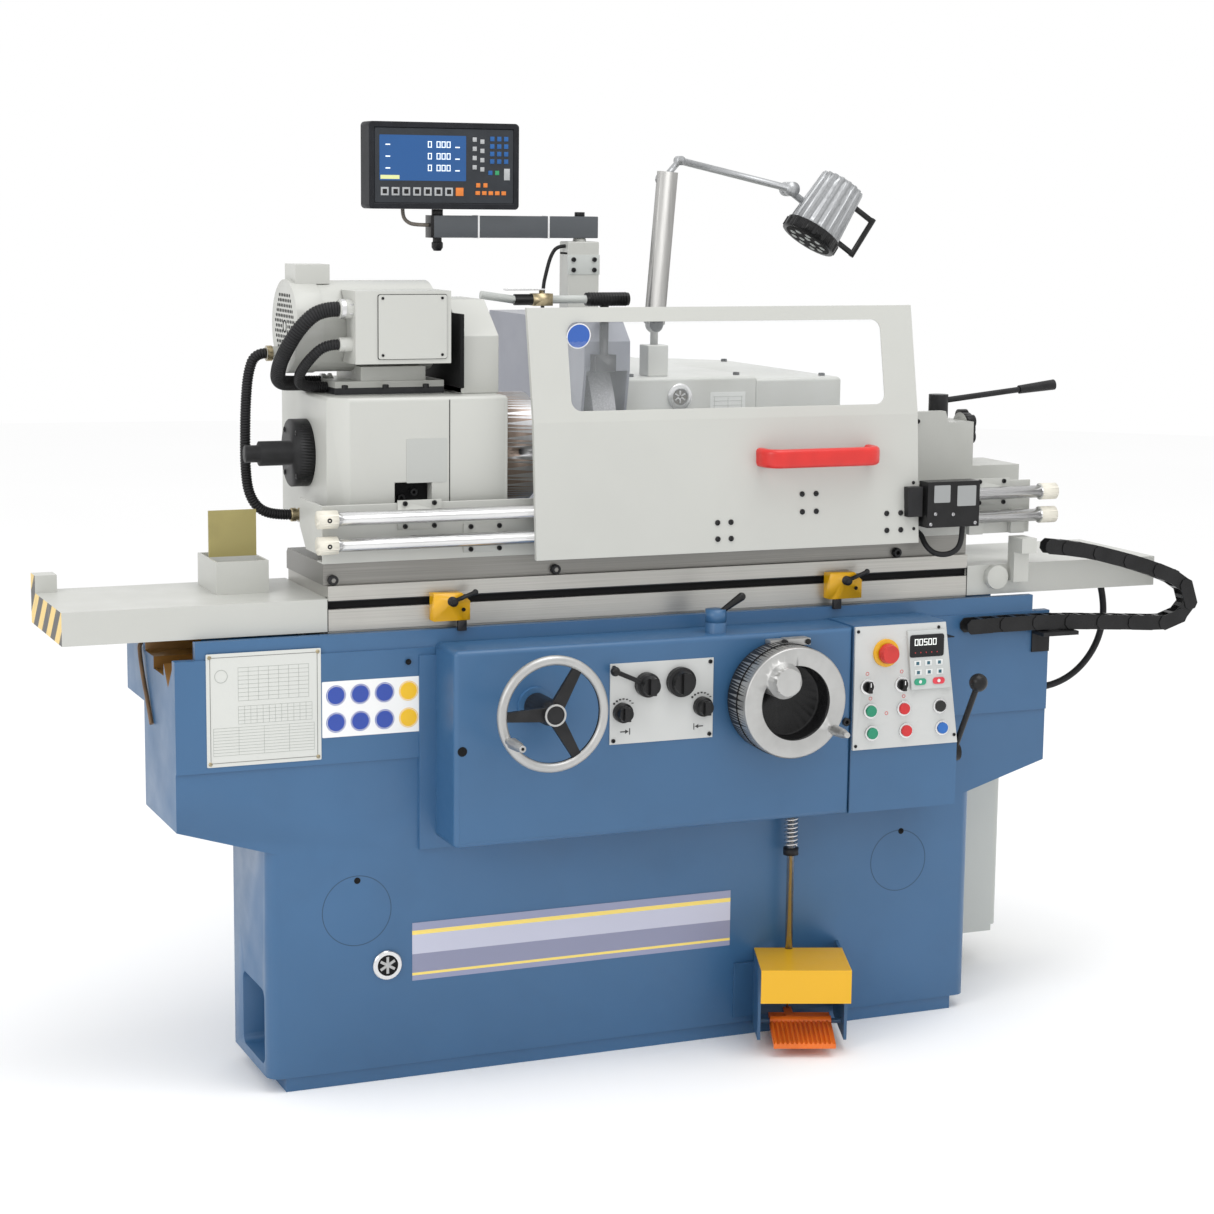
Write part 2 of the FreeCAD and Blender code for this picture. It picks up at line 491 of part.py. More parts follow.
def bed_casting():
    """The bed with its plinth, ways, coolant trough, lifting pockets and wheelhead stem."""
    half = "bed_length / 2"
    knee = "pedestal_length / 2"
    body = slab("bed", "Y", [
        (f"-{knee}", "plinth_height"), (knee, "plinth_height"), (knee, "pedestal_top"),
        (half, "bed_underside"), (half, "bed_top"), (f"-{half}", "bed_top"),
        (f"-{half}", "bed_underside"), (f"-{knee}", "pedestal_top")], BED_FRONT, BED_BACK)
    rounded(body, "pedestal_round", lambda edge: runs(edge, "z") and edge.CenterOfMass.z
            < size("pedestal_top") and edge.CenterOfMass.y < 0)
    add_slab(body, "Y", rectangle((f"-{half}", "band_low"), (half, "bed_top - notch_depth")),
             f"{BED_FRONT} - band_proud", BED_FRONT)
    add_slab(body, "Y", rectangle(("-pad_left", "pad_low"), ("pad_right", "pad_high")),
             f"{BED_FRONT} - pad_proud", BED_FRONT)
    for side in ("-1", "1"):
        inner = f"{side} * ({half} - notch_length)"
        outer = f"{side} * ({half} + cut_overrun)"
        low, high = (outer, inner) if side == "-1" else (inner, outer)
        pocket(body, "Y", rectangle((low, "bed_top - notch_depth"), (high, "bed_top + cut_overrun")),
               f"{BED_FRONT} - cut_overrun", f"{BED_BACK} + cut_overrun")
    front = f"{BED_FRONT} + bed_wall"
    way = "bed_top - way_depth"
    above = "bed_top + cut_overrun"
    back = f"{BED_BACK} - bed_wall"
    valley = f"{way} - way_valley"
    pocket(body, "X", [
        (front, above), (front, way), (f"{front} + vee_half", f"{way} - vee_depth"),
        (f"{front} + 2 * vee_half", way), (f"{front} + 2 * vee_half", valley),
        (f"{back} - flat_way_width", valley), (f"{back} - flat_way_width", way), (back, way),
        (back, above)], f"-({half} + cut_overrun)", f"{half} + cut_overrun")
    pocket(body, "X", rectangle(("-lift_front", "lift_low"), ("lift_back", "lift_high")),
           f"-{knee} - cut_overrun", f"-{knee} + lift_reach")
    pocket(body, "X", rectangle(("-lift_front", "lift_low"), ("lift_back", "lift_high")),
           f"{knee} - lift_reach", f"{knee} + cut_overrun")
    rounded(body, "lift_round", lambda edge: runs(edge, "x")
            and edge.Length < size("lift_reach") + size("cut_overrun")
            and edge.CenterOfMass.z < size("lift_high") + size("cut_overrun"))
    plinth = block("plinth", (f"-{knee} + plinth_inset", f"{knee} - plinth_inset"),
                   (f"{BED_FRONT} + plinth_recess", f"{BED_BACK} - plinth_recess"),
                   ("0", "plinth_height"))
    stem = slab("stem", "Z", rectangle(("-stem_left", BED_BACK), ("stem_right", "stem_back")),
                "0", "stem_top")
    rounded(stem, "stem_round", lambda edge: runs(edge, "z") and at(edge, "y", size("stem_back")))
    pocket(stem, "X", rectangle((f"{BED_BACK} - cut_overrun", "bed_top"),
                                ("stem_step_back", "stem_top + cut_overrun")),
           "-stem_left - cut_overrun", "stem_right + cut_overrun")
    ways = block("stem_ways", ("rail_left", "rail_right"), ("slide_front", "stem_back - stem_round"),
                 ("stem_top", "stem_top + rail_height"))
    troughs = []
    for side, low, high in (("left", f"-{half}", "-stem_left"), ("right", "stem_right", half)):
        outer = block(f"{side}_trough_outer", (low, high), (BED_BACK, f"{BED_BACK} + trough_depth"),
                      ("trough_low", "trough_high"))
        inner = block(f"{side}_trough_inner", (f"{low} + trough_wall", f"{high} - trough_wall"),
                      (f"{BED_BACK} + trough_wall", f"{BED_BACK} + trough_depth - trough_wall"),
                      ("trough_low + trough_wall", "trough_high + cut_overrun"))
        troughs.append(carve(f"{side}_trough", outer, inner))
    return keep("bed_casting", join("bed_casting", body, plinth, stem, ways, *troughs))


def shaft_hole(name, across, height, radius, face, depth):
    """A blind hole for a shaft in the front of the apron."""
    return rod(name, "Y", (across, f"{face} - cut_overrun", height),
               f"{radius} + running_clearance", f"{depth} + cut_overrun + slide_clearance")


def buttons():
    """Where the push buttons sit on the panel: node, across and height."""
    return [
        ("green_button_upper", "green_across", "button_row"),
        ("green_button_lower", "green_across_low", "button_row_low"),
        ("red_button_upper", "red_across", "button_row"),
        ("red_button_lower", "red_across_low", "button_row_low"),
        ("black_button", "black_across", "button_row"),
        ("blue_button", "blue_across", "button_row_low"),
    ]


def apron_housing():
    """The apron casting and the control box beside it."""
    back = f"{BED_FRONT} - pad_proud"
    body = slab("apron", "Y", rectangle(("-apron_left", "apron_low"), ("apron_right", "apron_top")),
                "-apron_front", back)
    rounded(body, "apron_round", lambda edge: at(edge, "y", -size("apron_front"))
            or (runs(edge, "y") and edge.CenterOfMass.x < 0))
    bosses = [
        rod("table_boss", "Y", ("table_wheel_across", "-apron_front - boss_length",
                                "table_wheel_height"), "boss_radius", "boss_length + bed_wall"),
        rod("infeed_boss", "Y", ("infeed_across", "-apron_front - boss_length", "infeed_height"),
            "boss_radius", "boss_length + bed_wall"),
        rod("reverse_boss", "Z", ("reverse_across", "-reverse_back", "apron_top - apron_round"),
            "reverse_radius", "reverse_boss_height + apron_round"),
    ]
    holes = [
        shaft_hole("table_hole", "table_wheel_across", "table_wheel_height", "wheel_shaft",
                   "-apron_front - boss_length", "shaft_insertion + boss_length"),
        shaft_hole("infeed_hole", "infeed_across", "infeed_height", "wheel_shaft",
                   "-apron_front - boss_length", "shaft_insertion + boss_length"),
        rod("pedal_rod_hole", "Z", ("rod_across", "-rod_back", "apron_low - cut_overrun"),
            "rod_radius + running_clearance", "rod_insertion + rod_stroke_room + cut_overrun"),
    ]
    for node, across, height in front_knobs():
        holes.append(shaft_hole(f"{node}_hole", across, height, "knob_shaft", "-apron_front",
                                "knob_insertion"))
    apron = carve("apron_cut", join("apron_whole", body, *bosses), *holes)
    box = slab("control_box", "Y", [
        ("apron_right", "apron_low"), ("box_right_low", "apron_low"), ("box_right_low", "box_knee"),
        ("box_right_high", "box_top"), ("apron_right", "box_top")], "-apron_front", back)
    wells = [
        rod(f"{node}_well", "Y", (across, "-apron_front - cut_overrun", height),
            "button_radius + running_clearance",
            "cut_overrun + button_insertion + button_travel + seat_clearance")
        for node, across, height in buttons()]
    wells += [
        shaft_hole(f"{side}_selector_well", f"{side}_selector_across", "selector_height", "knob_shaft",
                   "-apron_front", "knob_insertion") for side in ("left", "right")]
    wells.append(shaft_hole("stop_well", "stop_across", "stop_height", "stop_stem", "-apron_front",
                            "knob_insertion + button_travel"))
    wells.append(rod("rapid_well", "X", ("box_right_low - knob_insertion - slide_clearance",
                                         "-rapid_back", "rapid_height"),
                     "knob_shaft + running_clearance",
                     "knob_insertion + slide_clearance + cut_overrun"))
    cover = carve("control_box_cut", box, *wells)
    return keep("apron_housing", group("apron_housing", apron, cover))


def front_knobs():
    """The knobs of the hydraulic plate: node, across and height."""
    return [("start_lever", "start_across", "start_height"),
            ("speed_knob", "speed_across", "speed_height"),
            ("left_dwell_knob", "left_dwell_across", "left_dwell_height"),
            ("right_dwell_knob", "right_dwell_across", "right_dwell_height")]


def control_panel():
    """The two control plates with collars, emergency stop base and keypad."""
    face = "-apron_front - panel_thick"
    plate = block("hydraulic_plate", ("-hydraulic_left", "hydraulic_right"),
                  ("-apron_front - plate_thick", "-apron_front"),
                  ("hydraulic_low", "hydraulic_high"))
    holes = [rod(f"{node}_plate_hole", "Y", (across, "-apron_front - plate_thick - cut_overrun", height),
                 "knob_shaft + running_clearance", "plate_thick + 2 * cut_overrun")
             for node, across, height in front_knobs()]
    left = carve("hydraulic_plate_cut", plate, *holes)
    panel = slab("electric_plate", "Y", [
        ("apron_right + panel_edge", "panel_low"), ("panel_right_low", "panel_low"),
        ("panel_right_high", "box_top - panel_edge"), ("apron_right + panel_edge", "box_top - panel_edge")],
        face, "-apron_front")
    collars, bores = [], []
    for node, across, height in buttons():
        place = (across, f"{face} - collar_proud", height)
        collars.append(rod(f"{node}_collar", "Y", place, "button_radius + collar_ring",
                           "collar_proud"))
        bores.append(rod(f"{node}_bore", "Y", (across, f"{face} - collar_proud - cut_overrun", height),
                         "button_radius + running_clearance",
                         "collar_proud + panel_thick + 2 * cut_overrun"))
    for side in ("left", "right"):
        across = f"{side}_selector_across"
        collars.append(rod(f"{side}_collar", "Y", (across, f"{face} - collar_proud", "selector_height"),
                           "button_radius + collar_ring", "collar_proud"))
        bores.append(rod(f"{side}_bore", "Y", (across, f"{face} - collar_proud - cut_overrun",
                                               "selector_height"),
                         "knob_shaft + running_clearance",
                         "collar_proud + panel_thick + 2 * cut_overrun"))
    collars.append(rod("stop_base", "Y", ("stop_across", f"{face} - stop_base_depth", "stop_height"),
                       "stop_base_radius", "stop_base_depth"))
    bores.append(rod("stop_bore", "Y", ("stop_across", f"{face} - stop_base_depth - cut_overrun",
                                        "stop_height"), "stop_stem + running_clearance",
                     "stop_base_depth + panel_thick + 2 * cut_overrun"))
    right = carve("electric_plate_cut", join("electric_plate_whole", panel, *collars), *bores)
    keypad = slab("keypad", "Y", [
        ("keypad_left_low", "keypad_low"), ("keypad_right_low", "keypad_low"),
        ("keypad_right", "keypad_high"), ("keypad_left", "keypad_high")],
        f"{face} - keypad_thick", face)
    return keep("control_panel", group("control_panel", left, right, keypad))


def electrical_cabinet():
    """The cabinet behind the bed, with its door on the right."""
    right = "cabinet_right - door_thick"
    body = slab("cabinet", "Y", rectangle(("stem_right", "cabinet_low"), (right, "cabinet_high")),
                BED_BACK, "cabinet_back")
    rounded(body, "cabinet_round", lambda edge: at(edge, "y", size("cabinet_back")))
    door = slab("cabinet_door", "X", rectangle(
        (f"{BED_BACK} + door_margin", "cabinet_low + door_margin / 2"),
        ("cabinet_back + door_margin / 2", "cabinet_high - door_margin / 2")), right, "cabinet_right")
    rounded(door, "cabinet_round", lambda edge: at(edge, "x", size("cabinet_right")))
    return keep("electrical_cabinet", group("electrical_cabinet", body, door))


# Pedal group, drawn about its upright rod and then turned to face the operator

def turned(thing):
    """Set a pedal part on the rod's place and turn it."""
    thing.Placement.Rotation = FreeCAD.Rotation(FreeCAD.Vector(0, 0, -1), 1)
    bind(thing, "Placement.Rotation.Angle", "pedal_turn_angle")
    return seat(thing, ("rod_across", "-rod_back", "0"))


def pedal_bracket():
    """The bracket on the pedestal with two cheeks and the pedal's pin."""
    plate = block("pedal_back_plate", ("bracket_left", "bracket_right"),
                  (f"{BED_FRONT} - cheek_thick", BED_FRONT), ("bracket_low", "bracket_high"))
    left = block("left_cheek", ("-guard_left - cheek_thick", "-guard_left"),
                 ("-cheek_reach", "left_cheek_back"), ("cheek_low", "guard_top - sheet_metal"))
    right = block("right_cheek", ("guard_right", "guard_right + cheek_thick"),
                  ("-cheek_reach", "right_cheek_back"), ("cheek_low", "guard_top - sheet_metal"))
    pin = rod("pedal_pin", "X", ("-guard_left - cheek_thick", "-pedal_pivot", "pivot_height"),
              "pin_radius", "guard_left + guard_right + 2 * cheek_thick")
    cheeks = turned(join("pedal_cheeks", left, right, pin))
    return keep("pedal_bracket", join("pedal_bracket", plate, cheeks))


def pedal_guard():
    """The bent sheet over the pedal, open to the front below its lip."""
    left, right = "-guard_left - cheek_thick", "guard_right + cheek_thick"
    sheet = slab("guard_bend_sheet", "X", [
        ("left_cheek_back", "guard_top - sheet_metal"), ("left_cheek_back", "guard_top"),
        ("-guard_reach", "guard_top"), ("-guard_reach", "guard_lip"),
        ("-guard_reach + sheet_metal", "guard_lip"),
        ("-guard_reach + sheet_metal", "guard_top - sheet_metal")], left, right)
    hole = rod("guard_rod_hole", "Z", ("0", "0", "guard_top - sheet_metal - cut_overrun"),
               "rod_radius + running_clearance", "sheet_metal + 2 * cut_overrun")
    return keep("pedal_guard", turned(carve("pedal_guard", sheet, hole)))


def foot_pedal():
    """The ribbed tread with its sleeve and the arm that lifts the rod."""
    sole = slab("tread", "X", [
        ("-tread_front", "tread_front_height - tread_thick"), ("-tread_front", "tread_front_height"),
        ("-tread_back", "pivot_height + pin_radius + rib_height"),
        ("-tread_back", "pivot_height - pin_radius")], "-tread_left", "tread_right")
    arm = block("pedal_arm", ("-pedal_arm_width / 2", "pedal_arm_width / 2"),
                ("-pedal_pivot", "rod_radius"),
                ("pivot_height + pin_radius", "rod_low - seat_clearance"))
    sleeve = rod("pedal_sleeve", "X", ("-tread_left", "-pedal_pivot", "pivot_height"),
                 "2 * pin_radius", "tread_left + tread_right")
    bore = rod("pedal_bore", "X", ("-tread_left - cut_overrun", "-pedal_pivot", "pivot_height"),
               "pin_radius + running_clearance", "tread_left + tread_right + 2 * cut_overrun")
    ribs = []
    count = int((size("tread_left") + size("tread_right")) / size("rib_pitch"))
    for step in range(count):
        low = f"-tread_left + {step} * rib_pitch + rib_width / 2"
        ribs.append(slab(f"tread_rib_{step}", "X", [
            ("-tread_front", "tread_front_height - tread_thick / 2"),
            ("-tread_front", "tread_front_height + rib_height"),
            ("-pedal_pivot - 2 * pin_radius", "pivot_height + rib_height"),
            ("-pedal_pivot - 2 * pin_radius", "pivot_height - pin_radius")],
            low, f"{low} + rib_width"))
    whole = join("pedal_whole", sole, arm, sleeve, *ribs)
    return keep("foot_pedal", turned(carve("foot_pedal", whole, bore)))


def pedal_rod():
    """The push rod with its collar and its narrow foot on the pedal's arm."""
    foot = rod("rod_foot", "Z", ("rod_across", "-rod_back", "rod_low"), "rod_tip_radius",
               "rod_tip_length")
    shaft = rod("rod_shaft", "Z", ("rod_across", "-rod_back", "rod_low + rod_tip_length"),
                "rod_radius", "apron_low + rod_insertion - rod_low - rod_tip_length")
    collar = rod("rod_collar", "Z", ("rod_across", "-rod_back", "collar_low"), "collar_radius",
                 "collar_height")
    return keep("pedal_rod", join("pedal_rod", foot, shaft, collar))


def pedal_spring():
    """The return spring between the rod's collar and the guide under the apron."""
    low = size("collar_low") + size("collar_height") + size("seat_clearance")
    high = size("apron_low") - size("seat_clearance")
    wire, turns = size("spring_wire") / 2, int(size("spring_turns_count"))
    radius = size("spring_radius") - wire
    quarters = 4 * turns
    rise = (high - low - 2 * wire) / quarters
    centre = FreeCAD.Vector(size("rod_across"), -size("rod_back"), low + wire)

    def spot(quarter):
        turn = quarter * math.pi / 2
        return centre + FreeCAD.Vector(radius * math.cos(turn), radius * math.sin(turn),
                                       rise * quarter)

    arcs = [Part.Arc(spot(step), spot(step + 0.5), spot(step + 1)).toShape()
            for step in range(quarters)]
    path = Part.Wire(arcs)
    heading = arcs[0].tangentAt(arcs[0].FirstParameter)
    ring = Part.Wire(Part.makeCircle(wire, spot(0), heading))
    coil = path.makePipeShell([ring], True, False)
    print(f"spring: least gap between turns {4 * rise - 2 * wire:.2f}")
    return keep("pedal_spring", made("pedal_spring", coil))


# Handwheels, knobs and levers on the apron

def grip(name, place):
    """A turned handle that points to the operator."""
    curve = [(f"-grip_length * {along}", f"grip_radius * {wide}") for along, wide in GRIP_SHARES]
    body = spun(name, "X", [("0", "0")] + curve + [("-grip_length", "0")], "Y")
    return seat(body, place)


def table_handwheel():
    """The spoked handwheel of the table traverse with its shaft and grip."""
    rim = doc.addObject("Part::Torus", "table_rim")
    rim.Placement.Rotation = ALONG["Y"]
    bind(rim, "Radius1", "rim_radius")
    bind(rim, "Radius2", "rim_thick")
    hub = taper("table_hub", "Y", ("0", "-hub_radius / 2", "0"),
                "hub_face_radius", "hub_radius", "hub_radius")
    neck = rod("table_neck", "Y", ("0", "hub_radius / 2", "0"),
               "hub_radius", "wheel_plane - hub_radius / 2 - apron_front - boss_length - seat_clearance")
    shaft = rod("table_shaft", "Y", ("0", "hub_radius / 2", "0"),
                "wheel_shaft", "wheel_plane - hub_radius / 2 - apron_front + shaft_insertion")
    spokes = []
    for step in range(int(size("spoke_count"))):
        spoke = slab(f"table_spoke_{step}", "Y", [
            ("0", "-spoke_width / 2"), ("rim_radius", "-spoke_end_width / 2"),
            ("rim_radius", "spoke_end_width / 2"), ("0", "spoke_width / 2")],
            "-spoke_thick / 2", "spoke_thick / 2")
        turn = f"{step} * 360 / spoke_count + 180 / spoke_count"
        spokes.append(tilt(spoke, (0, 1, 0), turn))
    handle = grip("table_grip", ("rim_radius * cos(grip_angle)", "-rim_thick + seat_clearance",
                                 "rim_radius * sin(grip_angle)"))
    wheel = join("table_handwheel", rim, hub, neck, shaft, handle, *spokes)
    return keep("table_handwheel", seat(wheel, ("table_wheel_across", "-wheel_plane",
                                                "table_wheel_height")))


def infeed_handwheel():
    """The dished infeed handwheel with its fine feed knob, shaft and grip."""
    front, back = "-wheel_plane", "-drum_back"
    edge = "collar_ring"
    drum = spun("infeed_drum", "X", [
        (back, "0"), (back, f"drum_radius - {edge}"), (f"{back} - {edge}", "drum_radius"),
        (f"{front} + {edge}", "drum_radius"), (front, f"drum_radius - {edge}"),
        (front, "bowl_radius"), (f"{front} + bowl_depth", f"bowl_radius - {edge}"),
        (f"{front} + bowl_depth", "0")], "Y")
    neck = rod("infeed_neck", "Y", ("0", back, "0"), "hub_radius",
               "drum_back - apron_front - boss_length - seat_clearance")
    shaft = rod("infeed_shaft", "Y", ("0", back, "0"), "wheel_shaft",
                "drum_back - apron_front + shaft_insertion")
    ring = rod("fine_ring", "Y", ("-fine_across", f"{front} - fine_ring_thick", "fine_up"),
               "fine_ring_radius", "fine_ring_thick + bowl_depth")
    knob = rod("fine_knob", "Y", ("-fine_across", f"{front} - fine_ring_thick - fine_knob_thick",
                                  "fine_up"), "fine_knob_radius", "fine_knob_thick")
    reach = "(drum_radius + bowl_radius) / 2"
    handle = grip("infeed_grip", (f"{reach} * cos(infeed_grip_angle)", front,
                                  f"{reach} * sin(infeed_grip_angle)"))
    wheel = join("infeed_handwheel", drum, neck, shaft, ring, knob, handle)
    return keep("infeed_handwheel", seat(wheel, ("infeed_across", "0",
                                                 "infeed_height")))


def knob_body(name, radius, depth):
    """A turned knob on its shaft, with a ridge across its face."""
    face = f"-{depth}"
    plate = "plate_thick + seat_clearance"
    curve = [(f"{face} * {along}", f"{radius} * {wide}") for along, wide in KNOB_SHARES]
    body = spun(name, "X", [
        (f"knob_insertion + {plate}", "0"), (f"knob_insertion + {plate}", "knob_shaft"),
        ("0", "knob_shaft"), ("0", radius), *curve, (face, "0")], "Y")
    half = f"{radius} * {RIDGE_SHARES['half']}"
    ridge = block(name + "_ridge", ("-ridge_width / 2", "ridge_width / 2"),
                  (f"{face} * {RIDGE_SHARES['front']}", f"{face} * {RIDGE_SHARES['back']}"),
                  (f"-{half}", half))
    return body, ridge


def plate_knob(node, across, height, radius, depth):
    """A knob in front of the hydraulic plate."""
    knob = join(node, *knob_body(node + "_turned", radius, depth))
    return keep(node, seat(knob, (across, "-apron_front - plate_thick - seat_clearance", height)))


def start_lever():
    """The start knob with its short ball lever."""
    body, ridge = knob_body("start_knob", "start_radius", "start_depth")
    arm = rod("start_arm", "X", ("0", "-start_depth / 2", "0"),
              "start_ball / 2", "start_reach")
    end = ball("start_end", ("start_reach", "-start_depth / 2", "0"), "start_ball")
    lever = join("start_arm_whole", arm, end)
    lever.Placement.Rotation = FreeCAD.Rotation(FreeCAD.Vector(0, -1, 0), 1)
    bind(lever, "Placement.Rotation.Angle", "start_angle")
    whole = join("start_lever", body, ridge, lever)
    return keep("start_lever", seat(whole, ("start_across",
                                            "-apron_front - plate_thick - seat_clearance",
                                            "start_height")))


def reversing_lever():
    """The table reversing lever on top of the apron."""
    hub = rod("reverse_hub", "Z", ("0", "0", "0"),
              "reverse_radius", "reverse_height")
    arm = taper("reverse_arm", "Z", ("0", "0", "0"),
                "reverse_ball / 2", "reverse_ball", "reverse_length")
    end = ball("reverse_end", ("0", "0", "reverse_length"),
               "reverse_ball")
    stick = tilt(join("reverse_stick", arm, end), (0, 1, 0), "reverse_tilt_angle")
    seat(stick, ("0", "0", "reverse_height / 2"))
    whole = tilt(join("reversing_lever", hub, stick), (0, 0, 1), "reverse_turn_angle")
    return keep("reversing_lever", seat(whole, ("reverse_across", "-reverse_back",
                                                "apron_top + reverse_boss_height + seat_clearance")))


def rapid_lever():
    """The ball lever on the right of the control box."""
    shaft = rod("rapid_shaft", "X", ("-knob_insertion", "0", "0"),
                "knob_shaft", "knob_insertion")
    hub = rod("rapid_hub", "X", ("seat_clearance", "0", "0"),
              "rapid_radius", "rapid_width")
    stub = rod("rapid_stub", "X", ("0", "0", "0"),
               "knob_shaft", "rapid_width")
    arm = rod("rapid_arm", "Z", ("rapid_width / 2", "0", "0"),
              "knob_shaft", "rapid_length")
    end = ball("rapid_end", ("rapid_width / 2", "0", "rapid_length"), "rapid_ball")
    whole = tilt(join("rapid_lever", shaft, hub, stub, arm, end), (1, 0, 0), "rapid_lean_angle")
    return keep("rapid_lever", seat(whole, ("box_right_low", "-rapid_back", "rapid_height")))


def push_button(node, across, height):
    """A button cap on its stem behind the panel."""
    body = rod(node, "Y", (across, "-apron_front - panel_thick - button_proud", height),
               "button_radius", "button_proud + panel_thick + button_insertion")
    return keep(node, body)


def selector(node, across):
    """A rotary selector with a bar grip."""
    face = "-apron_front - panel_thick - collar_proud - seat_clearance"
    shaft = rod(node + "_shaft", "Y", (across, face, "selector_height"), "knob_shaft",
                "panel_thick + collar_proud + knob_insertion")
    disc = rod(node + "_disc", "Y", (across, f"{face} - collar_proud", "selector_height"),
               "button_radius", "collar_proud")
    bar = block(node + "_bar", (f"{across} - selector_grip / 2", f"{across} + selector_grip / 2"),
                (f"{face} - collar_proud - selector_grip", f"{face} - collar_proud"),
                ("selector_height - button_radius", "selector_height + button_radius"))
    return keep(node, join(node, shaft, disc, bar))


def emergency_stop():
    """The mushroom head of the emergency stop on its stem."""
    base = "-apron_front - panel_thick - stop_base_depth"
    face = f"{base} - button_travel - seat_clearance"
    cap = taper("stop_cap", "Y", ("stop_across", f"{face} - stop_depth", "stop_height"),
                "stop_face_radius", "stop_radius", "stop_depth")
    stem = rod("stop_shaft", "Y", ("stop_across", face, "stop_height"), "stop_stem",
               "button_travel + stop_base_depth + panel_thick + knob_insertion")
    return keep("emergency_stop", join("emergency_stop", cap, stem))


# Lower table, covers and trip dogs

def lower_table():
    """The sliding table with its V runner, flat runner and front T-slot."""
    way = "bed_top - way_depth"
    vee = f"{BED_FRONT} + bed_wall + vee_half"
    gap = "slide_clearance"
    shoulder = f"{way} - vee_depth + {gap} + (vee_half - slot_lip) * vee_depth / vee_half"
    flat_back = f"{BED_BACK} - bed_wall - slot_lip"
    flat_front = f"{BED_BACK} - bed_wall - flat_way_width + slot_lip"
    body = slab("lower_table", "X", [
        ("-table_front", "slot_low"), ("-table_front + slot_neck", "slot_low"),
        ("-table_front + slot_neck", "slot_low - slot_lip"),
        ("-table_front + slot_depth", "slot_low - slot_lip"),
        ("-table_front + slot_depth", "slot_high + slot_lip"),
        ("-table_front + slot_neck", "slot_high + slot_lip"),
        ("-table_front + slot_neck", "slot_high"), ("-table_front", "slot_high"),
        ("-table_front", "table_top"), ("table_back", "table_top"), ("table_back", "table_low"),
        (flat_back, "table_low"), (flat_back, f"{way} + {gap}"), (flat_front, f"{way} + {gap}"),
        (flat_front, "table_low"), (f"{vee} + vee_half - slot_lip", "table_low"),
        (f"{vee} + vee_half - slot_lip", shoulder), (vee, f"{way} - vee_depth + {gap}"),
        (f"{vee} - vee_half + slot_lip", shoulder),
        (f"{vee} - vee_half + slot_lip", "table_low"), ("-table_front", "table_low")],
        "-table_left", "table_right")
    socket = rod("table_socket", "Z", ("swivel_across", "swivel_offset",
                                       "table_top - pivot_depth - slide_clearance"),
                 "pivot_radius + running_clearance", "pivot_depth + cut_overrun")
    return keep("lower_table", carve("lower_table_cut", body, socket))


def table_covers():
    """The sheet covers at both ends of the table, with splash tray, stops and chain post."""
    y = ("-table_front", "cover_back")
    z = ("table_low", "cover_top")
    left = shell_box("left_cover", ("-table_left - cover_left_reach", "-table_left"), y, z,
                     "cover_wall", True)
    right = shell_box("right_cover", ("table_right", "table_right + cover_right_reach"), y, z,
                      "cover_wall", True)
    stop_left = "-table_left - cover_left_reach"
    stop = block("left_stop", (stop_left, f"{stop_left} + stop_block_width"),
                 ("cover_back - stop_block_width", "cover_back"),
                 ("cover_top", "cover_top + stop_block_height"))
    tray = shell_box("splash_tray", ("-tray_left", "-tray_left + tray_width"),
                     ("tray_front", "tray_back"), ("cover_top", "cover_top + tray_height"),
                     "cover_wall", False)
    plate = block("tray_plate", ("-tray_left + cover_wall", "-tray_left + tray_width - cover_wall"),
                  ("(tray_front + tray_back) / 2", "(tray_front + tray_back) / 2 + cover_wall"),
                  ("cover_top + cover_wall", "cover_top + tray_plate_height"))
    knob = rod("clamp_knob", "Y", ("clamp_knob_across", "-table_front - clamp_knob_height",
                                   "cover_top - clamp_knob_radius"), "clamp_knob_radius",
               "clamp_knob_height")
    post = block("chain_post", ("chain_post_across", "chain_post_across + chain_post_width"),
                 ("-chain_front - chain_half + chain_plate", "-table_front"),
                 ("cover_top - chain_post_width", "chain_start_height + chain_half"))
    slot = block("chain_post_slot", ("chain_post_across - cut_overrun",
                                     "chain_post_across + chain_post_width + cut_overrun"),
                 ("-chain_front - chain_half - cut_overrun", "-chain_front + chain_half"),
                 ("cover_top - chain_post_width - cut_overrun", "chain_start_height - chain_half"))
    arm = carve("chain_post_cut", post, slot)
    return keep("table_covers", group("table_covers", left, right, stop,
                                      join("tray_whole", tray, plate), knob, arm))


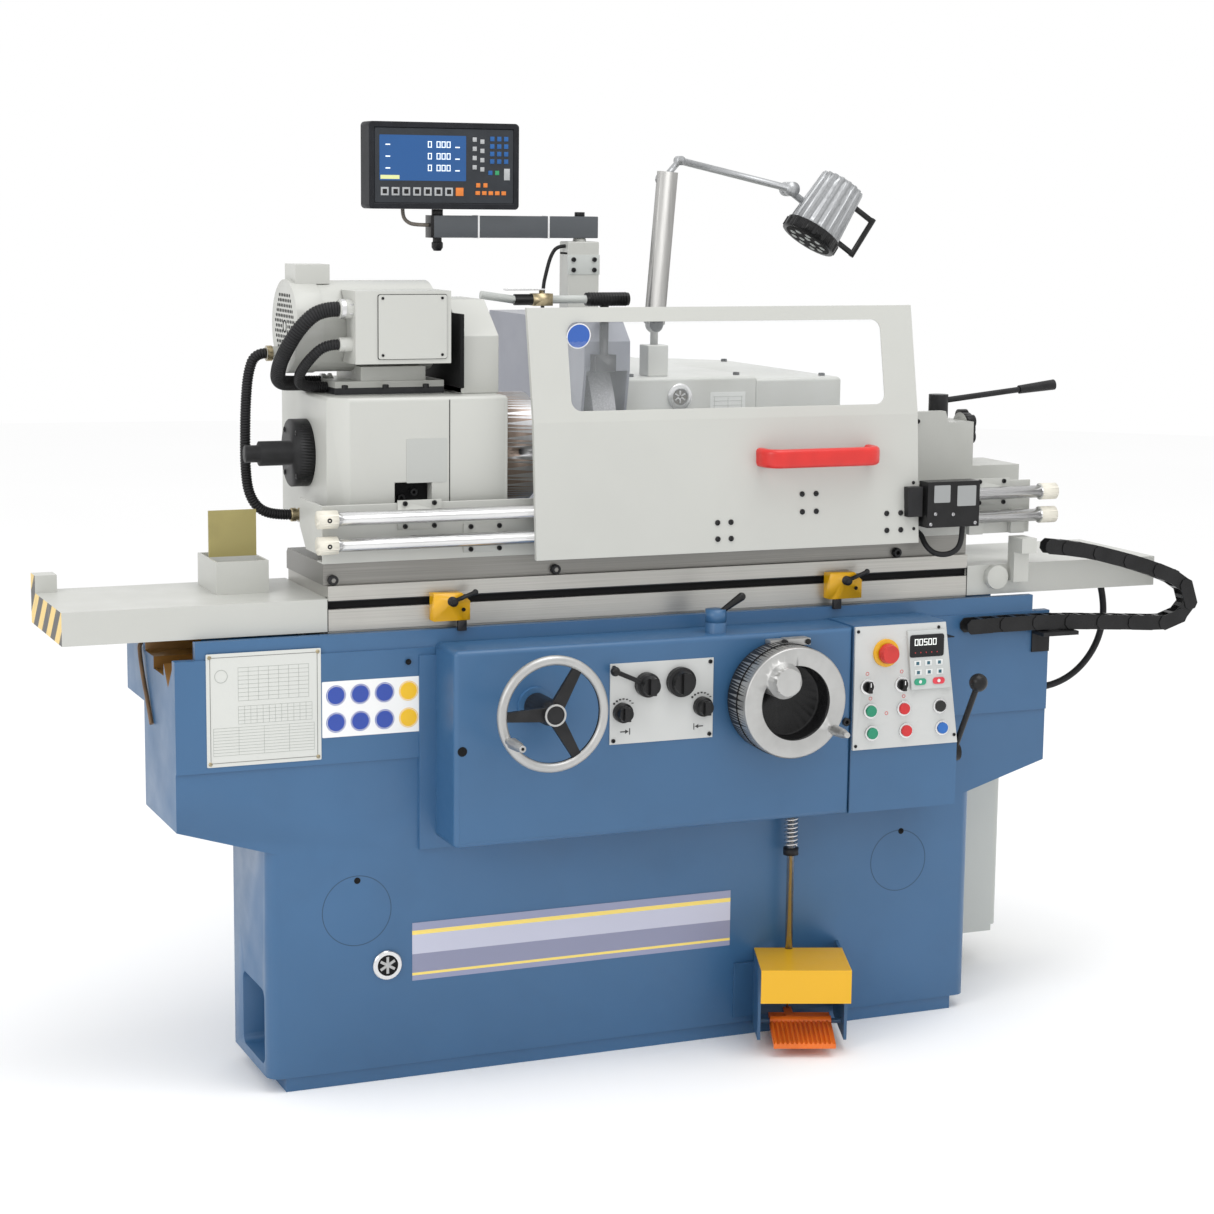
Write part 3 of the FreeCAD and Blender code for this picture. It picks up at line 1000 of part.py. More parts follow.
def trip_dog(side, mirror):
    """A trip dog on the table's T-slot, with clamp lever, hub, tab and slot nut."""
    across = f"{side}_dog_across"
    front = "-table_front - dog_depth"
    low, high = f"{across} - dog_width / 2", f"{across} + dog_width / 2"
    body = slab(f"{side}_dog_body", "Y", [
        (low, "dog_low"), (high, "dog_low"), (high, "dog_high - tab_width"),
        (f"{high} - tab_width", "dog_high"), (low, "dog_high")], front, "-table_front - seat_clearance")
    neck = rod(f"{side}_dog_neck", "Y", (across, "-table_front - dog_depth / 2",
                                         "(slot_low + slot_high) / 2"), "knob_shaft",
               "dog_depth / 2 + slot_depth - seat_clearance")
    nut = block(f"{side}_dog_nut", (f"{across} - tab_width", f"{across} + tab_width"),
                ("-table_front + slot_neck + seat_clearance", "-table_front + slot_depth - seat_clearance"),
                ("slot_low - slot_lip + seat_clearance", "slot_high + slot_lip - seat_clearance"))
    hub = rod(f"{side}_dog_hub", "Y", (across, f"{front} - dog_hub_depth",
                                       "(slot_low + slot_high) / 2"), "dog_hub_radius",
              "dog_hub_depth")
    arm = rod(f"{side}_dog_arm", "X", ("0", "0", "0"), "dog_lever_radius", "dog_lever_length")
    end = ball(f"{side}_dog_end", ("dog_lever_length", "0", "0"), "dog_ball")
    lever = tilt(join(f"{side}_dog_lever", arm, end), (0, -1, 0), "dog_lever_angle")
    seat(lever, (across, f"{front} - dog_hub_depth / 2", "(slot_low + slot_high) / 2"))
    tab_low = f"{across} + {mirror} * (dog_width / 2 - tab_width) - tab_width / 2"
    tab = block(f"{side}_dog_tab", (tab_low, f"{tab_low} + tab_width"),
                (f"{front} - tab_proud", f"{BED_FRONT} - tab_gap"), ("dog_low - tab_drop", "dog_low"))
    return keep(f"{side}_trip_dog", join(f"{side}_trip_dog", body, neck, nut, hub, lever, tab))


def swivel_table():
    """The swivelling upper table with its pivot and clamp bolts."""
    low = "table_top + slide_clearance"
    body = slab("swivel_body", "X", [
        ("-swivel_front", low), ("-swivel_front", "swivel_top"),
        ("swivel_back - swivel_chamfer", "swivel_top"),
        ("swivel_back", "swivel_top - swivel_chamfer"), ("swivel_back", low)],
        "-swivel_left", "swivel_right")
    pin = rod("swivel_pin", "Z", ("swivel_across", "swivel_offset", "table_top - pivot_depth"),
              "pivot_radius", "pivot_depth + swivel_chamfer")
    whole = join("swivel_whole", body, pin)
    bolts = [rod(f"{side}_bolt", "Y", (f"{side}_bolt_across", "-swivel_front - bolt_depth",
                                       "bolt_height"), "bolt_radius", "bolt_depth")
             for side in ("left", "middle")]
    return keep("swivel_table", group("swivel_table", whole, *bolts))


# Workhead

def workhead_base():
    """The foot of the workhead with its round turntable."""
    foot = block("head_foot", ("-head_left + foot_margin", "-head_right - foot_margin"),
                 ("-head_front + foot_margin", "swivel_back - foot_margin"),
                 ("swivel_top", "swivel_top + foot_height"))
    disc = rod("turntable", "Z", ("-(head_left + head_right) / 2", "axis_back - foot_margin",
                                  "swivel_top + foot_height"), "turntable_radius",
               "head_low - swivel_top - foot_height - slide_clearance")
    return keep("workhead_base", join("workhead_base", foot, disc))


def workhead_housing():
    """The workhead housing with its spindle bore, clamp windows and hollow belt cover."""
    body = slab("head_body", "Z", [
        ("-head_left + head_chamfer", "-head_front"), ("-head_right", "-head_front"),
        ("-head_right", "head_back"), ("-head_left", "head_back"),
        ("-head_left", "-head_front + head_chamfer")], "head_low", "head_top")
    pocket(body, "Y", rectangle(("-head_slot_left", "head_slot_low"),
                                ("-head_slot_right", "head_slot_high")),
           "-head_front - cut_overrun", "-head_front + head_slot_depth")
    rounded(body, "head_round", lambda edge: at(edge, "z", size("head_top"))
            and (runs(edge, "x") or runs(edge, "y")))
    bore = rod("head_bore", "X", ("-head_left - cut_overrun", "axis_back", "axis_height"),
               "spindle_radius + running_clearance", "head_left - head_right + 2 * cut_overrun")
    housing = carve("head_cut", body, bore)
    cover = slab("belt_cover", "X", [
        ("-belt_front", "head_top"), ("-belt_front", "belt_front_top"),
        ("-belt_front + belt_slope", "belt_top"), ("belt_back", "belt_top"),
        ("belt_back", "head_top")], "-belt_left", "-head_right")
    pocket(cover, "X", [
        ("-belt_front + belt_wall", "head_top + belt_wall"),
        ("-belt_front + belt_wall", "belt_front_top - belt_wall"),
        ("-belt_front + belt_slope", "belt_top - 2 * belt_wall"),
        ("belt_back - belt_wall", "belt_top - 2 * belt_wall"),
        ("belt_back - belt_wall", "head_top + belt_wall")],
        "-belt_left - cut_overrun", "-head_right - belt_wall")
    return keep("workhead_housing", group("workhead_housing", housing, cover))


def work_spindle():
    """The work spindle with its chuck and jaws, rear flange, sleeve and tip."""
    bar = ("axis_back", "axis_height")
    gap = "running_clearance"
    shaft = rod("spindle_shaft", "X", (f"-head_left - {gap}", *bar), "spindle_radius",
                f"head_left - head_right + 2 * {gap}")
    neck = rod("chuck_neck", "X", (f"-head_right + {gap}", *bar), "chuck_neck_radius",
               "chuck_neck_length")
    chuck = rod("chuck", "X", (f"-head_right + {gap} + chuck_neck_length", *bar), "chuck_radius",
                "chuck_length")
    face = f"-head_right + {gap} + chuck_neck_length + chuck_length"
    flange = rod("rear_flange", "X", (f"-head_left - {gap} - flange_length", *bar),
                 "flange_radius", "flange_length")
    sleeve = rod("rear_sleeve", "X", (f"-head_left - {gap} - flange_length - sleeve_length", *bar),
                 "sleeve_radius", "sleeve_length")
    tip = rod("rear_tip", "X",
              (f"-head_left - {gap} - flange_length - sleeve_length - tip_length", *bar),
              "tip_radius", "tip_length")
    jaws = []
    for step in range(int(size("jaw_count"))):
        jaw = block(f"jaw_{step}", ("0", "jaw_length"), ("-jaw_width / 2", "jaw_width / 2"),
                    ("jaw_inner", "jaw_outer"))
        jaw = tilt(group(f"jaw_arm_{step}", jaw), (1, 0, 0), f"{step} * 360 / jaw_count")
        jaws.append(seat(jaw, (face, *bar)))
    solid = join("spindle_whole", shaft, neck, chuck, flange, sleeve, tip, *jaws)
    keyhole = rod("chuck_key_hole", "Y", (f"{face} - chuck_length / 2", "axis_back - chuck_radius "
                                          "- cut_overrun", "axis_height"), "key_radius",
                  "chuck_radius / 2")
    return keep("work_spindle", carve("work_spindle", solid, keyhole))


def workhead_motor():
    """The workhead motor with feet, slide plate, terminal box, capacitor box and pulley."""
    place = ("axis_back", "motor_height")
    barrel = rod("motor_barrel", "X", ("-motor_left", *place), "motor_radius",
                 "motor_left - motor_right")
    fan = rod("motor_fan", "X", ("-motor_left - fan_overhang", *place), "fan_radius",
              "fan_length")
    shaft = rod("motor_shaft", "X", ("-motor_right", *place), "motor_shaft_radius",
                "motor_right - belt_left + pulley_length + belt_wall")
    pulley = rod("motor_pulley", "X", ("-belt_left + belt_wall", *place), "pulley_radius",
                 "pulley_length")
    foot = block("motor_foot", ("-motor_plate_left + fan_length", "-motor_right - fan_length / 2"),
                 ("motor_plate_front + belt_wall", "motor_plate_back - belt_wall"),
                 ("motor_plate_low + 2 * motor_plate_thick",
                  "motor_height - motor_radius + motor_foot_height"))
    motor = join("motor_whole", barrel, fan, shaft, pulley, foot)
    plate = block("motor_plate", ("-motor_plate_left", "-motor_plate_right"),
                  ("motor_plate_front", "motor_plate_back"),
                  ("motor_plate_low", "motor_plate_low + 2 * motor_plate_thick"))
    terminal = block("terminal_box", ("-terminal_left", "-terminal_right"),
                     ("terminal_front", "terminal_back"), ("terminal_low", "terminal_high"))
    clear = rod("terminal_saddle", "X", ("-terminal_left - cut_overrun", *place), "fan_radius",
                "terminal_left - terminal_right + 2 * cut_overrun")
    box = carve("terminal_cut", terminal, clear)
    capacitor = block("capacitor_box", ("-capacitor_left", "-capacitor_right"),
                      ("capacitor_front", "capacitor_back"), ("motor_height", "capacitor_top"))
    hollow = rod("capacitor_saddle", "X", ("-motor_left - fan_length", *place), "fan_radius",
                 "motor_left")
    top = carve("capacitor_cut", capacitor, hollow)
    glands = [rod(f"{name}_gland", "X", ("-terminal_left - gland_length", "gland_back",
                                         f"{name}_gland_height"), f"{name}_conduit + gland_clear",
                  "gland_length") for name in ("large", "small")]
    side = rod("side_gland", "X", ("-motor_left - fan_overhang - gland_length",
                                   "side_gland_back", "side_gland_height"),
               "small_conduit + gland_clear", "gland_length")
    parts = [carve("box_clear", join("box_whole", box, *glands), block(
        "capacitor_gap", ("-capacitor_left - cut_overrun", "-capacitor_right"),
        ("capacitor_front", "capacitor_back"), ("motor_height", "capacitor_top")))]
    return keep("workhead_motor", group("workhead_motor", motor, plate, top, side, *parts))


LARGE_CONDUIT = [(-564.3, -20, 1430), (-598, -20, 1430), (-631, -14, 1402), (-653, 4, 1362),
                 (-661, 38, 1324), (-650, 84, 1291), (-606, 118, 1287), (-560.3, 118, 1287)]
SMALL_CONDUIT = [(-564.3, -20, 1366), (-590, -20, 1366), (-616, -10, 1340), (-628, 18, 1311),
                 (-618, 52, 1290), (-592, 70, 1283), (-560.3, 70, 1283)]
SIDE_CONDUIT = [(-656.3, 140, 1342), (-677, 140, 1342), (-690, 142, 1306), (-695, 142, 1250),
                (-697, 141, 1190), (-698, 138, 1130), (-694, 133, 1082), (-674, 128, 1050),
                (-636, 128, 1040), (-593.3, 128, 1040)]


def workhead_conduits():
    """The three ribbed conduits of the workhead motor."""
    level, upright = FreeCAD.Vector(0, 1, 0), FreeCAD.Vector(0, 1, 2).normalize()
    rib, pitch = size("conduit_rib"), size("rib_pitch")
    hoses = [
        ribbed_hose("large_conduit_hose", LARGE_CONDUIT, size("large_conduit"), rib, pitch, upright),
        ribbed_hose("small_conduit_hose", SMALL_CONDUIT, size("small_conduit"), rib, pitch, upright),
        ribbed_hose("side_conduit_hose", SIDE_CONDUIT, size("small_conduit"), rib, pitch, level)]
    return keep("workhead_conduits", group("workhead_conduits", *hoses))


# Tailstock

def tailstock_body():
    """The tailstock with its hood, quill bore, side box and lobed knob."""
    body = slab("tail_casting", "Y", [
        ("tail_foot_left", "swivel_top"), ("tail_foot_right", "swivel_top"),
        ("tail_foot_right", "tail_box_low"), ("tail_box_right", "tail_box_low"),
        ("tail_box_right", "tail_box_top"), ("tail_right", "tail_box_top"),
        ("tail_right", "tail_top"), ("tail_left", "tail_top"), ("tail_left", "tail_foot_top"),
        ("tail_foot_left", "tail_foot_top")], "tail_front", "tail_back")
    bore = rod("quill_bore", "X", ("tail_left - cut_overrun", "axis_back", "axis_height"),
               "quill_radius + running_clearance",
               "quill_left + quill_length + quill_travel - tail_left + 2 * cut_overrun")
    hub = rod("tail_socket", "Z", ("tail_hub_across", "(tail_front + tail_back) / 2 - hood_thick",
                                   "tail_top - tail_pin_depth"),
              "knob_shaft + running_clearance", "tail_pin_depth + cut_overrun")
    casting = carve("tail_cut", body, bore, hub)
    hood = slab("tail_hood", "Y", [
        ("tail_left", "tail_foot_top"), ("tail_hood_right", "tail_foot_top"),
        ("tail_hood_right", "tail_hood_low"), ("tail_hood_right - tail_hood_width", "tail_hood_top"),
        ("tail_left", "tail_hood_top")], "tail_front - hood_thick", "tail_front")
    lobes = [rod("tail_knob", "X", ("tail_right", "axis_back - hood_thick", "tail_knob_height"),
                 "tail_knob_radius - lobe_radius / 2", "tail_knob_thick")]
    count = int(size("lobe_count"))
    for step in range(count):
        turn = f"{step} * 360 / lobe_count"
        reach = "(tail_knob_radius - lobe_radius)"
        lobes.append(rod(f"lobe_{step}", "X", (
            "tail_right + seat_clearance", f"axis_back - hood_thick + {reach} * cos({turn})",
            f"tail_knob_height + {reach} * sin({turn})"), "lobe_radius", "tail_knob_thick"))
    return keep("tailstock_body", group("tailstock_body", casting, hood, join("tail_lobed", *lobes)))


def tailstock_quill():
    """The quill with its centre."""
    quill = rod("quill", "X", ("quill_left", "axis_back", "axis_height"), "quill_radius",
                "quill_length")
    centre = taper("centre", "X", ("quill_left - centre_length", "axis_back", "axis_height"),
                   "centre_tip_radius", "centre_radius", "centre_length")
    return keep("tailstock_quill", join("tailstock_quill", quill, centre))


def tailstock_lever():
    """The quill lever with its upright hub and grip."""
    hub = rod("tail_hub", "Z", ("0", "0", "0"), "tail_hub_radius", "tail_hub_high - tail_hub_low")
    shaft = rod("tail_hub_shaft", "Z", ("0", "0", "-tail_pin_depth"), "knob_shaft",
                "tail_pin_depth")
    arm = rod("tail_arm", "X", ("0", "0", "0"), "tail_lever_radius", "tail_lever_length")
    handle = taper("tail_grip", "X", ("tail_lever_length - tail_grip_length", "0", "0"),
                   "tail_grip_neck", "tail_grip_radius", "tail_grip_length")
    lever = tilt(join("tail_stick", arm, handle), (0, -1, 0), "tail_lever_angle")
    seat(lever, ("0", "0", "tail_lever_height - tail_hub_low"))
    whole = join("tailstock_lever", hub, shaft, lever)
    return keep("tailstock_lever", seat(whole, (
        "tail_hub_across", "(tail_front + tail_back) / 2 - hood_thick",
        "tail_top + seat_clearance")))


# Sliding splash guard

def guard_rail():
    """The rail plate on the swivel table, its left end plate and two dark brackets."""
    front, back = "-rail_plate_front", "-rail_plate_front + sheet_metal"
    plate = slab("rail_plate", "X", [
        (front, "swivel_top"), (front, "rail_plate_top"), (back, "rail_plate_top"),
        (back, "swivel_top + sheet_metal"), (f"{back} + rail_flange", "swivel_top + sheet_metal"),
        (f"{back} + rail_flange", "swivel_top")], "-rail_plate_left", "rail_plate_right")
    end = slab("rail_end", "X", [
        (back, "end_plate_low"), (back, "rail_plate_top"), ("end_plate_back", "rail_plate_top"),
        ("end_plate_back", "end_plate_low + end_plate_cut"),
        ("end_plate_back - end_plate_cut", "end_plate_low")],
        "-rail_plate_left", "-rail_plate_left + sheet_metal")
    brackets = []
    for step, across in enumerate(("tail_foot_right", "chain_post_across")):
        brackets.append(block(f"dark_bracket_{step}", (across, f"{across} + black_bracket_width"),
                              ("-bar_front + bar_radius + seat_clearance", front),
                              ("swivel_top", "lower_bar + bar_radius")))
    return keep("guard_rail", group("guard_rail", join("rail_whole", plate, end), *brackets))


def saddle(name, left, height):
    """A bracket plate with the web that carries a guide rod."""
    plate = block(name + "_plate", (left, f"{left} + saddle_width"),
                  ("-rail_plate_front - sheet_metal", "-rail_plate_front"),
                  (f"{height} - saddle_height / 2", f"{height} + saddle_height / 2"))
    web = block(name + "_web", (left, f"{left} + saddle_width"),
                ("-bar_front + bar_radius / 2", "-rail_plate_front - sheet_metal"),
                (f"{height} - bar_radius / 2", f"{height} + bar_radius / 2"))
    bar = rod(name + "_seat", "X", (f"{left} - cut_overrun", "-bar_front", height),
              "bar_radius + running_clearance", "saddle_width + 2 * cut_overrun")
    return carve(name, join(name + "_whole", plate, web), bar)


def guard_rods():
    """The two guide rods with end caps and the saddles that carry them."""
    parts = []
    for side, height in (("upper", "upper_bar"), ("lower", "lower_bar")):
        parts.append(rod(f"{side}_rod", "X", ("-bar_left", "-bar_front", height), "bar_radius",
                         "bar_left + bar_right"))
        parts.append(rod(f"{side}_left_cap", "X", ("-bar_left - cap_length", "-bar_front", height),
                         "cap_radius", "cap_length"))
        parts.append(rod(f"{side}_right_cap", "X", ("bar_right", "-bar_front", height),
                         "cap_radius", "cap_length"))
    parts.append(saddle("upper_left_saddle", "upper_saddle_left", "upper_bar"))
    parts.append(saddle("lower_left_saddle", "lower_saddle_left", "lower_bar"))
    parts.append(saddle("upper_right_saddle", "right_saddle_left", "upper_bar"))
    return keep("guard_rods", group("guard_rods", *parts))


def guard_profile(shift, thick, low, high):
    """The bent line of the guard sheet, moved back and made thick, between two heights."""
    lean = "(guard_low_front - guard_bend_front) / (guard_bend - guard_low)"
    top_lean = "(guard_bend_front - guard_high_front) / (guard_high - guard_bend)"

    def front(height):
        if height == "guard_bend":
            return "-guard_bend_front"
        if height in ("guard_low", "actuator_low"):
            return f"-guard_low_front + ({height} - guard_low) * {lean}"
        return f"-guard_bend_front + ({height} - guard_bend) * {top_lean}"

    heights = [low, high] if low != "guard_low" else [low, "guard_bend", high]
    fronts = [(f"{front(height)} + {shift}", height) for height in heights]
    backs = [(f"{front(height)} + {shift} + {thick}", height) for height in reversed(heights)]
    return fronts + backs


def guard_sheet():
    """The sliding guard sheet with its window opening, side returns and bearing blocks."""
    body = slab("guard_body", "X", guard_profile("0", "guard_skin", "guard_low", "guard_high"),
                "-guard_sheet_left", "guard_sheet_right")
    window = slab("window_cut", "Y", rectangle(
        ("-window_left", "window_low"), ("window_right", "window_high")),
        "-guard_low_front - cut_overrun", "cut_overrun")
    rounded(window, "window_round", lambda edge: runs(edge, "y"))
    sides = [slab(f"{side}_return", "X",
                  guard_profile("0", "guard_return", "guard_low", "guard_high"), low, high)
             for side, low, high in (
                 ("left", "-guard_sheet_left", "-guard_sheet_left + guard_skin"),
                 ("right", "guard_sheet_right - guard_skin", "guard_sheet_right"))]
    blocks = []
    for name, height in (("first", "lower_bar"), ("second", "upper_bar"), ("third", "lower_bar")):
        left = f"{name}_block"
        body_block = block(f"{name}_bearing", (left, f"{left} + block_width"),
                           ("-guard_bend_front - block_reach", "-bar_front + bar_radius - sheet_metal"),
                           (f"{height} - block_height / 2", f"{height} + block_height / 2"))
        bar = rod(f"{name}_bearing_bore", "X", (f"{left} - cut_overrun", "-bar_front", height),
                  "bar_radius + running_clearance", "block_width + 2 * cut_overrun")
        blocks.append(carve(f"{name}_bearing_cut", body_block, bar))
    whole = join("guard_whole", body, *sides, *blocks)
    return keep("guard_sheet", carve("guard_sheet", whole, window))


def guard_window():
    """The clear pane behind the window opening."""
    pane = slab("guard_window", "X",
                guard_profile("guard_skin + slide_clearance", "pane_thick", "window_low - pane_margin",
                              "window_high + pane_margin"),
                "-window_left - pane_margin", "window_right + pane_margin")
    return keep("guard_window", pane)


def guard_handle():
    """The bow handle on the guard and the dark actuator of its interlock."""
    face = "-guard_low_front + (handle_height - guard_low) * (guard_low_front - guard_bend_front)" \
           " / (guard_bend - guard_low) - seat_clearance - sheet_metal / 2"
    outer = f"{face} - handle_reach"
    body = slab("handle_bow", "Z", [
        ("handle_left", face), ("handle_left", f"{outer} + handle_thick"),
        ("handle_left + handle_thick", outer), ("handle_right - handle_thick", outer),
        ("handle_right", f"{outer} + handle_thick"), ("handle_right", face),
        ("handle_right - handle_thick", face),
        ("handle_right - handle_thick", f"{outer} + handle_corner"),
        ("handle_right - handle_corner", f"{outer} + handle_thick"),
        ("handle_left + handle_corner", f"{outer} + handle_thick"),
        ("handle_left + handle_thick", f"{outer} + handle_corner"),
        ("handle_left + handle_thick", face)],
        "handle_height - handle_depth / 2", "handle_height + handle_depth / 2")
    rounded(body, "handle_round", lambda edge: not runs(edge, "z")
            and edge.Length > size("handle_depth") + size("cut_overrun"))
    lean = "(guard_low_front - guard_bend_front) / (guard_bend - guard_low)"
    low, high = "actuator_low", "(actuator_low + actuator_height)"
    face_low = f"-guard_low_front + ({low} - guard_low) * {lean} - seat_clearance"
    face_high = f"-guard_low_front + ({high} - guard_low) * {lean} - seat_clearance"
    actuator = slab("actuator", "X", [
        (f"{face_low} - actuator_depth", low), (face_low, low), (face_high, high),
        (f"{face_low} - actuator_depth", high)], "actuator_left", "actuator_left + actuator_width")
    return keep("guard_handle", group("guard_handle", body, actuator))


def interlock_switch():
    """The guard's safety switch with the arm that holds it between the rods."""
    body = block("switch_body", ("switch_left", "switch_right"), ("-switch_front", "-switch_back"),
                 ("switch_low", "switch_high"))
    middle = "(upper_bar + lower_bar) / 2"
    arm = block("switch_arm", ("switch_right - switch_arm_width", "switch_right"),
                ("-switch_back", "-rail_plate_front"),
                (f"{middle} - switch_arm_height / 2", f"{middle} + switch_arm_height / 2"))
    return keep("interlock_switch", join("interlock_switch", body, arm))


INTERLOCK_CABLE = [(672, -154, 1002.8), (672, -154, 978), (664, -154, 956), (643, -150, 945),
                   (618, -142, 947), (604, -128, 963), (602, -113, 986), (602, -95.3, 986)]


def interlock_cable():
    """The cable that loops from the switch back to the rail plate."""
    return keep("interlock_cable", cord("interlock_cable", INTERLOCK_CABLE, size("cable_radius")))


# Wheelhead

def wheelhead_body():
    """The cross slide, the wheelhead, its side cover and the readout post."""
    rail = "stem_top + rail_height"
    gap = "slide_clearance"
    slide = slab("cross_slide", "Y", [
        ("slide_left", f"stem_top + {gap}"), (f"rail_left - {gap}", f"stem_top + {gap}"),
        (f"rail_left - {gap}", f"{rail} + {gap}"), (f"rail_right + {gap}", f"{rail} + {gap}"),
        (f"rail_right + {gap}", f"stem_top + {gap}"), ("slide_right", f"stem_top + {gap}"),
        ("slide_right", "body_low"), ("slide_left", "body_low")], "slide_front", "slide_back")
    body = slab("head_casting", "Z", rectangle(("body_left", "body_front"), ("body_seam", "body_back")),
                "body_low", "body_top")
    rounded(body, "body_round", lambda edge: at(edge, "z", size("body_top")))
    bore = rod("wheel_bore", "X", ("body_left - cut_overrun", "wheel_back", "axis_height"),
               "wheel_spindle_radius + running_clearance",
               "wheel_spindle_reach + slide_clearance + cut_overrun")
    casting = carve("head_casting_cut", body, bore)
    cover = slab("side_cover", "Z", [
        ("body_seam", "body_front"), ("body_right", "body_front"),
        ("body_right", "body_back - trough_depth"), ("body_right - trough_depth", "body_back"),
        ("body_seam", "body_back")], "body_low", "body_top - cover_drop")
    rounded(cover, "body_round", lambda edge: at(edge, "z", size("body_top") - size("cover_drop"))
            and not at(edge, "x", size("body_seam")))
    y = ("post_back - post_depth / 2", "post_back + post_depth / 2")
    post = block("readout_post", ("post_across - post_width / 2", "post_across + post_width / 2"), y,
                 ("body_top", "post_top"))
    neck = rod("readout_neck", "Z", ("post_across", "post_back", "post_top"), "hinge_radius",
               "arm_height - arm_rise / 2 - post_top - slide_clearance")
    foot = "lamp_foot_width / 2"
    lamp = block("lamp_foot", (f"lamp_across - {foot}", f"lamp_across + {foot}"),
                 (f"lamp_back - {foot}", f"lamp_back + {foot}"), ("body_top", "lamp_foot_top"))
    return keep("wheelhead_body", group("wheelhead_body", slide, casting, cover,
                                        join("post_whole", post, neck), lamp))


def hood_outline(inset):
    """The side outline of the wheel guard, drawn in by a wall."""
    radius = f"(hood_radius - {inset})"
    belly = [(f"wheel_back + {along} * {radius}", f"axis_height + {up} * {radius}")
             for along, up in HOOD_SHARES]
    return [
        (f"hood_lip_front + {inset}", "hood_lip"),
        (f"hood_lip_front + {inset}", f"hood_top - hood_radius / 6 - {inset} / 2"),
        (f"hood_lip_front + hood_radius / 6 + {inset} / 2", f"hood_top - {inset}"),
        (f"hood_rear - {inset}", f"hood_top - {inset}"),
        (f"hood_rear - {inset}", f"axis_height - hood_radius / 3 + {inset}"), *belly]


def wheel_guard():
    """The guard round the grinding wheel, open towards the work."""
    body = slab("hood", "X", hood_outline("0"), "hood_left", "hood_right")
    inner = hood_outline("hood_skin")
    chin = f"axis_height + {HOOD_SHARES[-1][1]} * hood_radius"
    mouth = [("wheel_back - hood_radius - cut_overrun", chin),
             ("wheel_back - hood_radius - cut_overrun", "hood_lip")]
    pocket(body, "X", inner + mouth, "hood_left + hood_skin", "hood_right - hood_skin")
    shaft = rod("hood_hole", "X", ("hood_left - cut_overrun", "wheel_back", "axis_height"),
                "hood_hole_radius", "hood_right - hood_left + 2 * cut_overrun")
    whole = carve("wheel_guard_cut", body, shaft)
    lug = block("hood_lug", ("hood_right", "body_left"), ("wheel_back + hood_radius / 2", "hood_rear"),
                ("axis_height - hood_radius / 4", "body_top - body_round"))
    return keep("wheel_guard", join("wheel_guard", whole, lug))


def grinding_wheel():
    """The grinding wheel between its flanges on the wheel spindle."""
    place = ("wheel_back", "axis_height")
    disc = rod("disc", "X", ("disc_left", *place), "disc_radius", "disc_width")
    hole = rod("disc_hole", "X", ("disc_left - cut_overrun", *place), "wheel_spindle_radius",
               "disc_width + 2 * cut_overrun")
    stone = carve("stone", disc, hole)
    left = rod("left_flange", "X", ("disc_left - disc_flange_width", *place), "disc_flange_radius",
               "disc_flange_width")
    right = rod("right_flange", "X", ("disc_left + disc_width", *place), "disc_flange_radius",
                "disc_flange_width")
    spindle = rod("wheel_spindle", "X", ("disc_left - disc_flange_width", *place),
                  "wheel_spindle_radius", "body_left + wheel_spindle_reach - disc_left "
                  "+ disc_flange_width")
    carrier = join("wheel_carrier", left, right, spindle)
    return keep("grinding_wheel", group("grinding_wheel", stone, carrier))


def coolant_pipe():
    """The coolant line with its valve, sleeve, down pipe and nozzle on the wheel guard."""
    line = "line_height"
    place = ("pipe_back", line)
    tube = tilt(rod("inlet_tube_raw", "Z", ("0", "0", "0"), "tube_radius", "nut_left - tube_left"),
                (0, 1, 0), "tube_rise_angle - 90")
    seat(tube, ("nut_left", "pipe_back", line))
    nut = rod("inlet_nut", "X", ("nut_left", *place), "nut_radius", "valve_left - nut_left")
    valve = block("valve_body", ("valve_left", "valve_left + valve_width"),
                  ("pipe_back - valve_height / 2", "pipe_back + valve_height / 2"),
                  (f"{line} - valve_height / 2", f"{line} + valve_height / 2"))
    stem = rod("valve_stem", "Z", ("valve_lever_across", "pipe_back", f"{line} + valve_height / 2"),
               "pipe_radius / 2", "valve_height / 4")
    hose = rod("line_hose", "X", ("hose_left", *place), "hose_radius", "sleeve_left - hose_left")
    ring = rod("line_sleeve", "X", ("sleeve_left", *place), "sleeve_ring_radius",
               "sleeve_right - sleeve_left")
    pipe = rod("down_pipe", "Z", ("pipe_across", "pipe_back", "pipe_low"), "pipe_radius",
               f"{line} - pipe_low")
    head = block("nozzle", ("pipe_across - nozzle_width / 2", "pipe_across + nozzle_width / 2"),
                 ("pipe_back - valve_height / 2", "hood_lip_front - slide_clearance"),
                 ("hood_lip + slide_clearance", "hood_lip + nozzle_height"))
    return keep("coolant_pipe", join("coolant_pipe", tube, nut, valve, stem, hose, ring, pipe, head))


def coolant_lever():
    """The flat lever of the coolant valve."""
    bar = block("coolant_lever", ("-valve_lever_length", "valve_lever_width / 2"),
                ("-valve_lever_width / 2", "valve_lever_width / 2"), ("0", "valve_lever_thick"))
    return keep("coolant_lever", seat(group("coolant_lever_whole", bar), (
        "valve_lever_across", "pipe_back", "line_height + 3 * valve_height / 4 + seat_clearance")))


# Lamp and readout

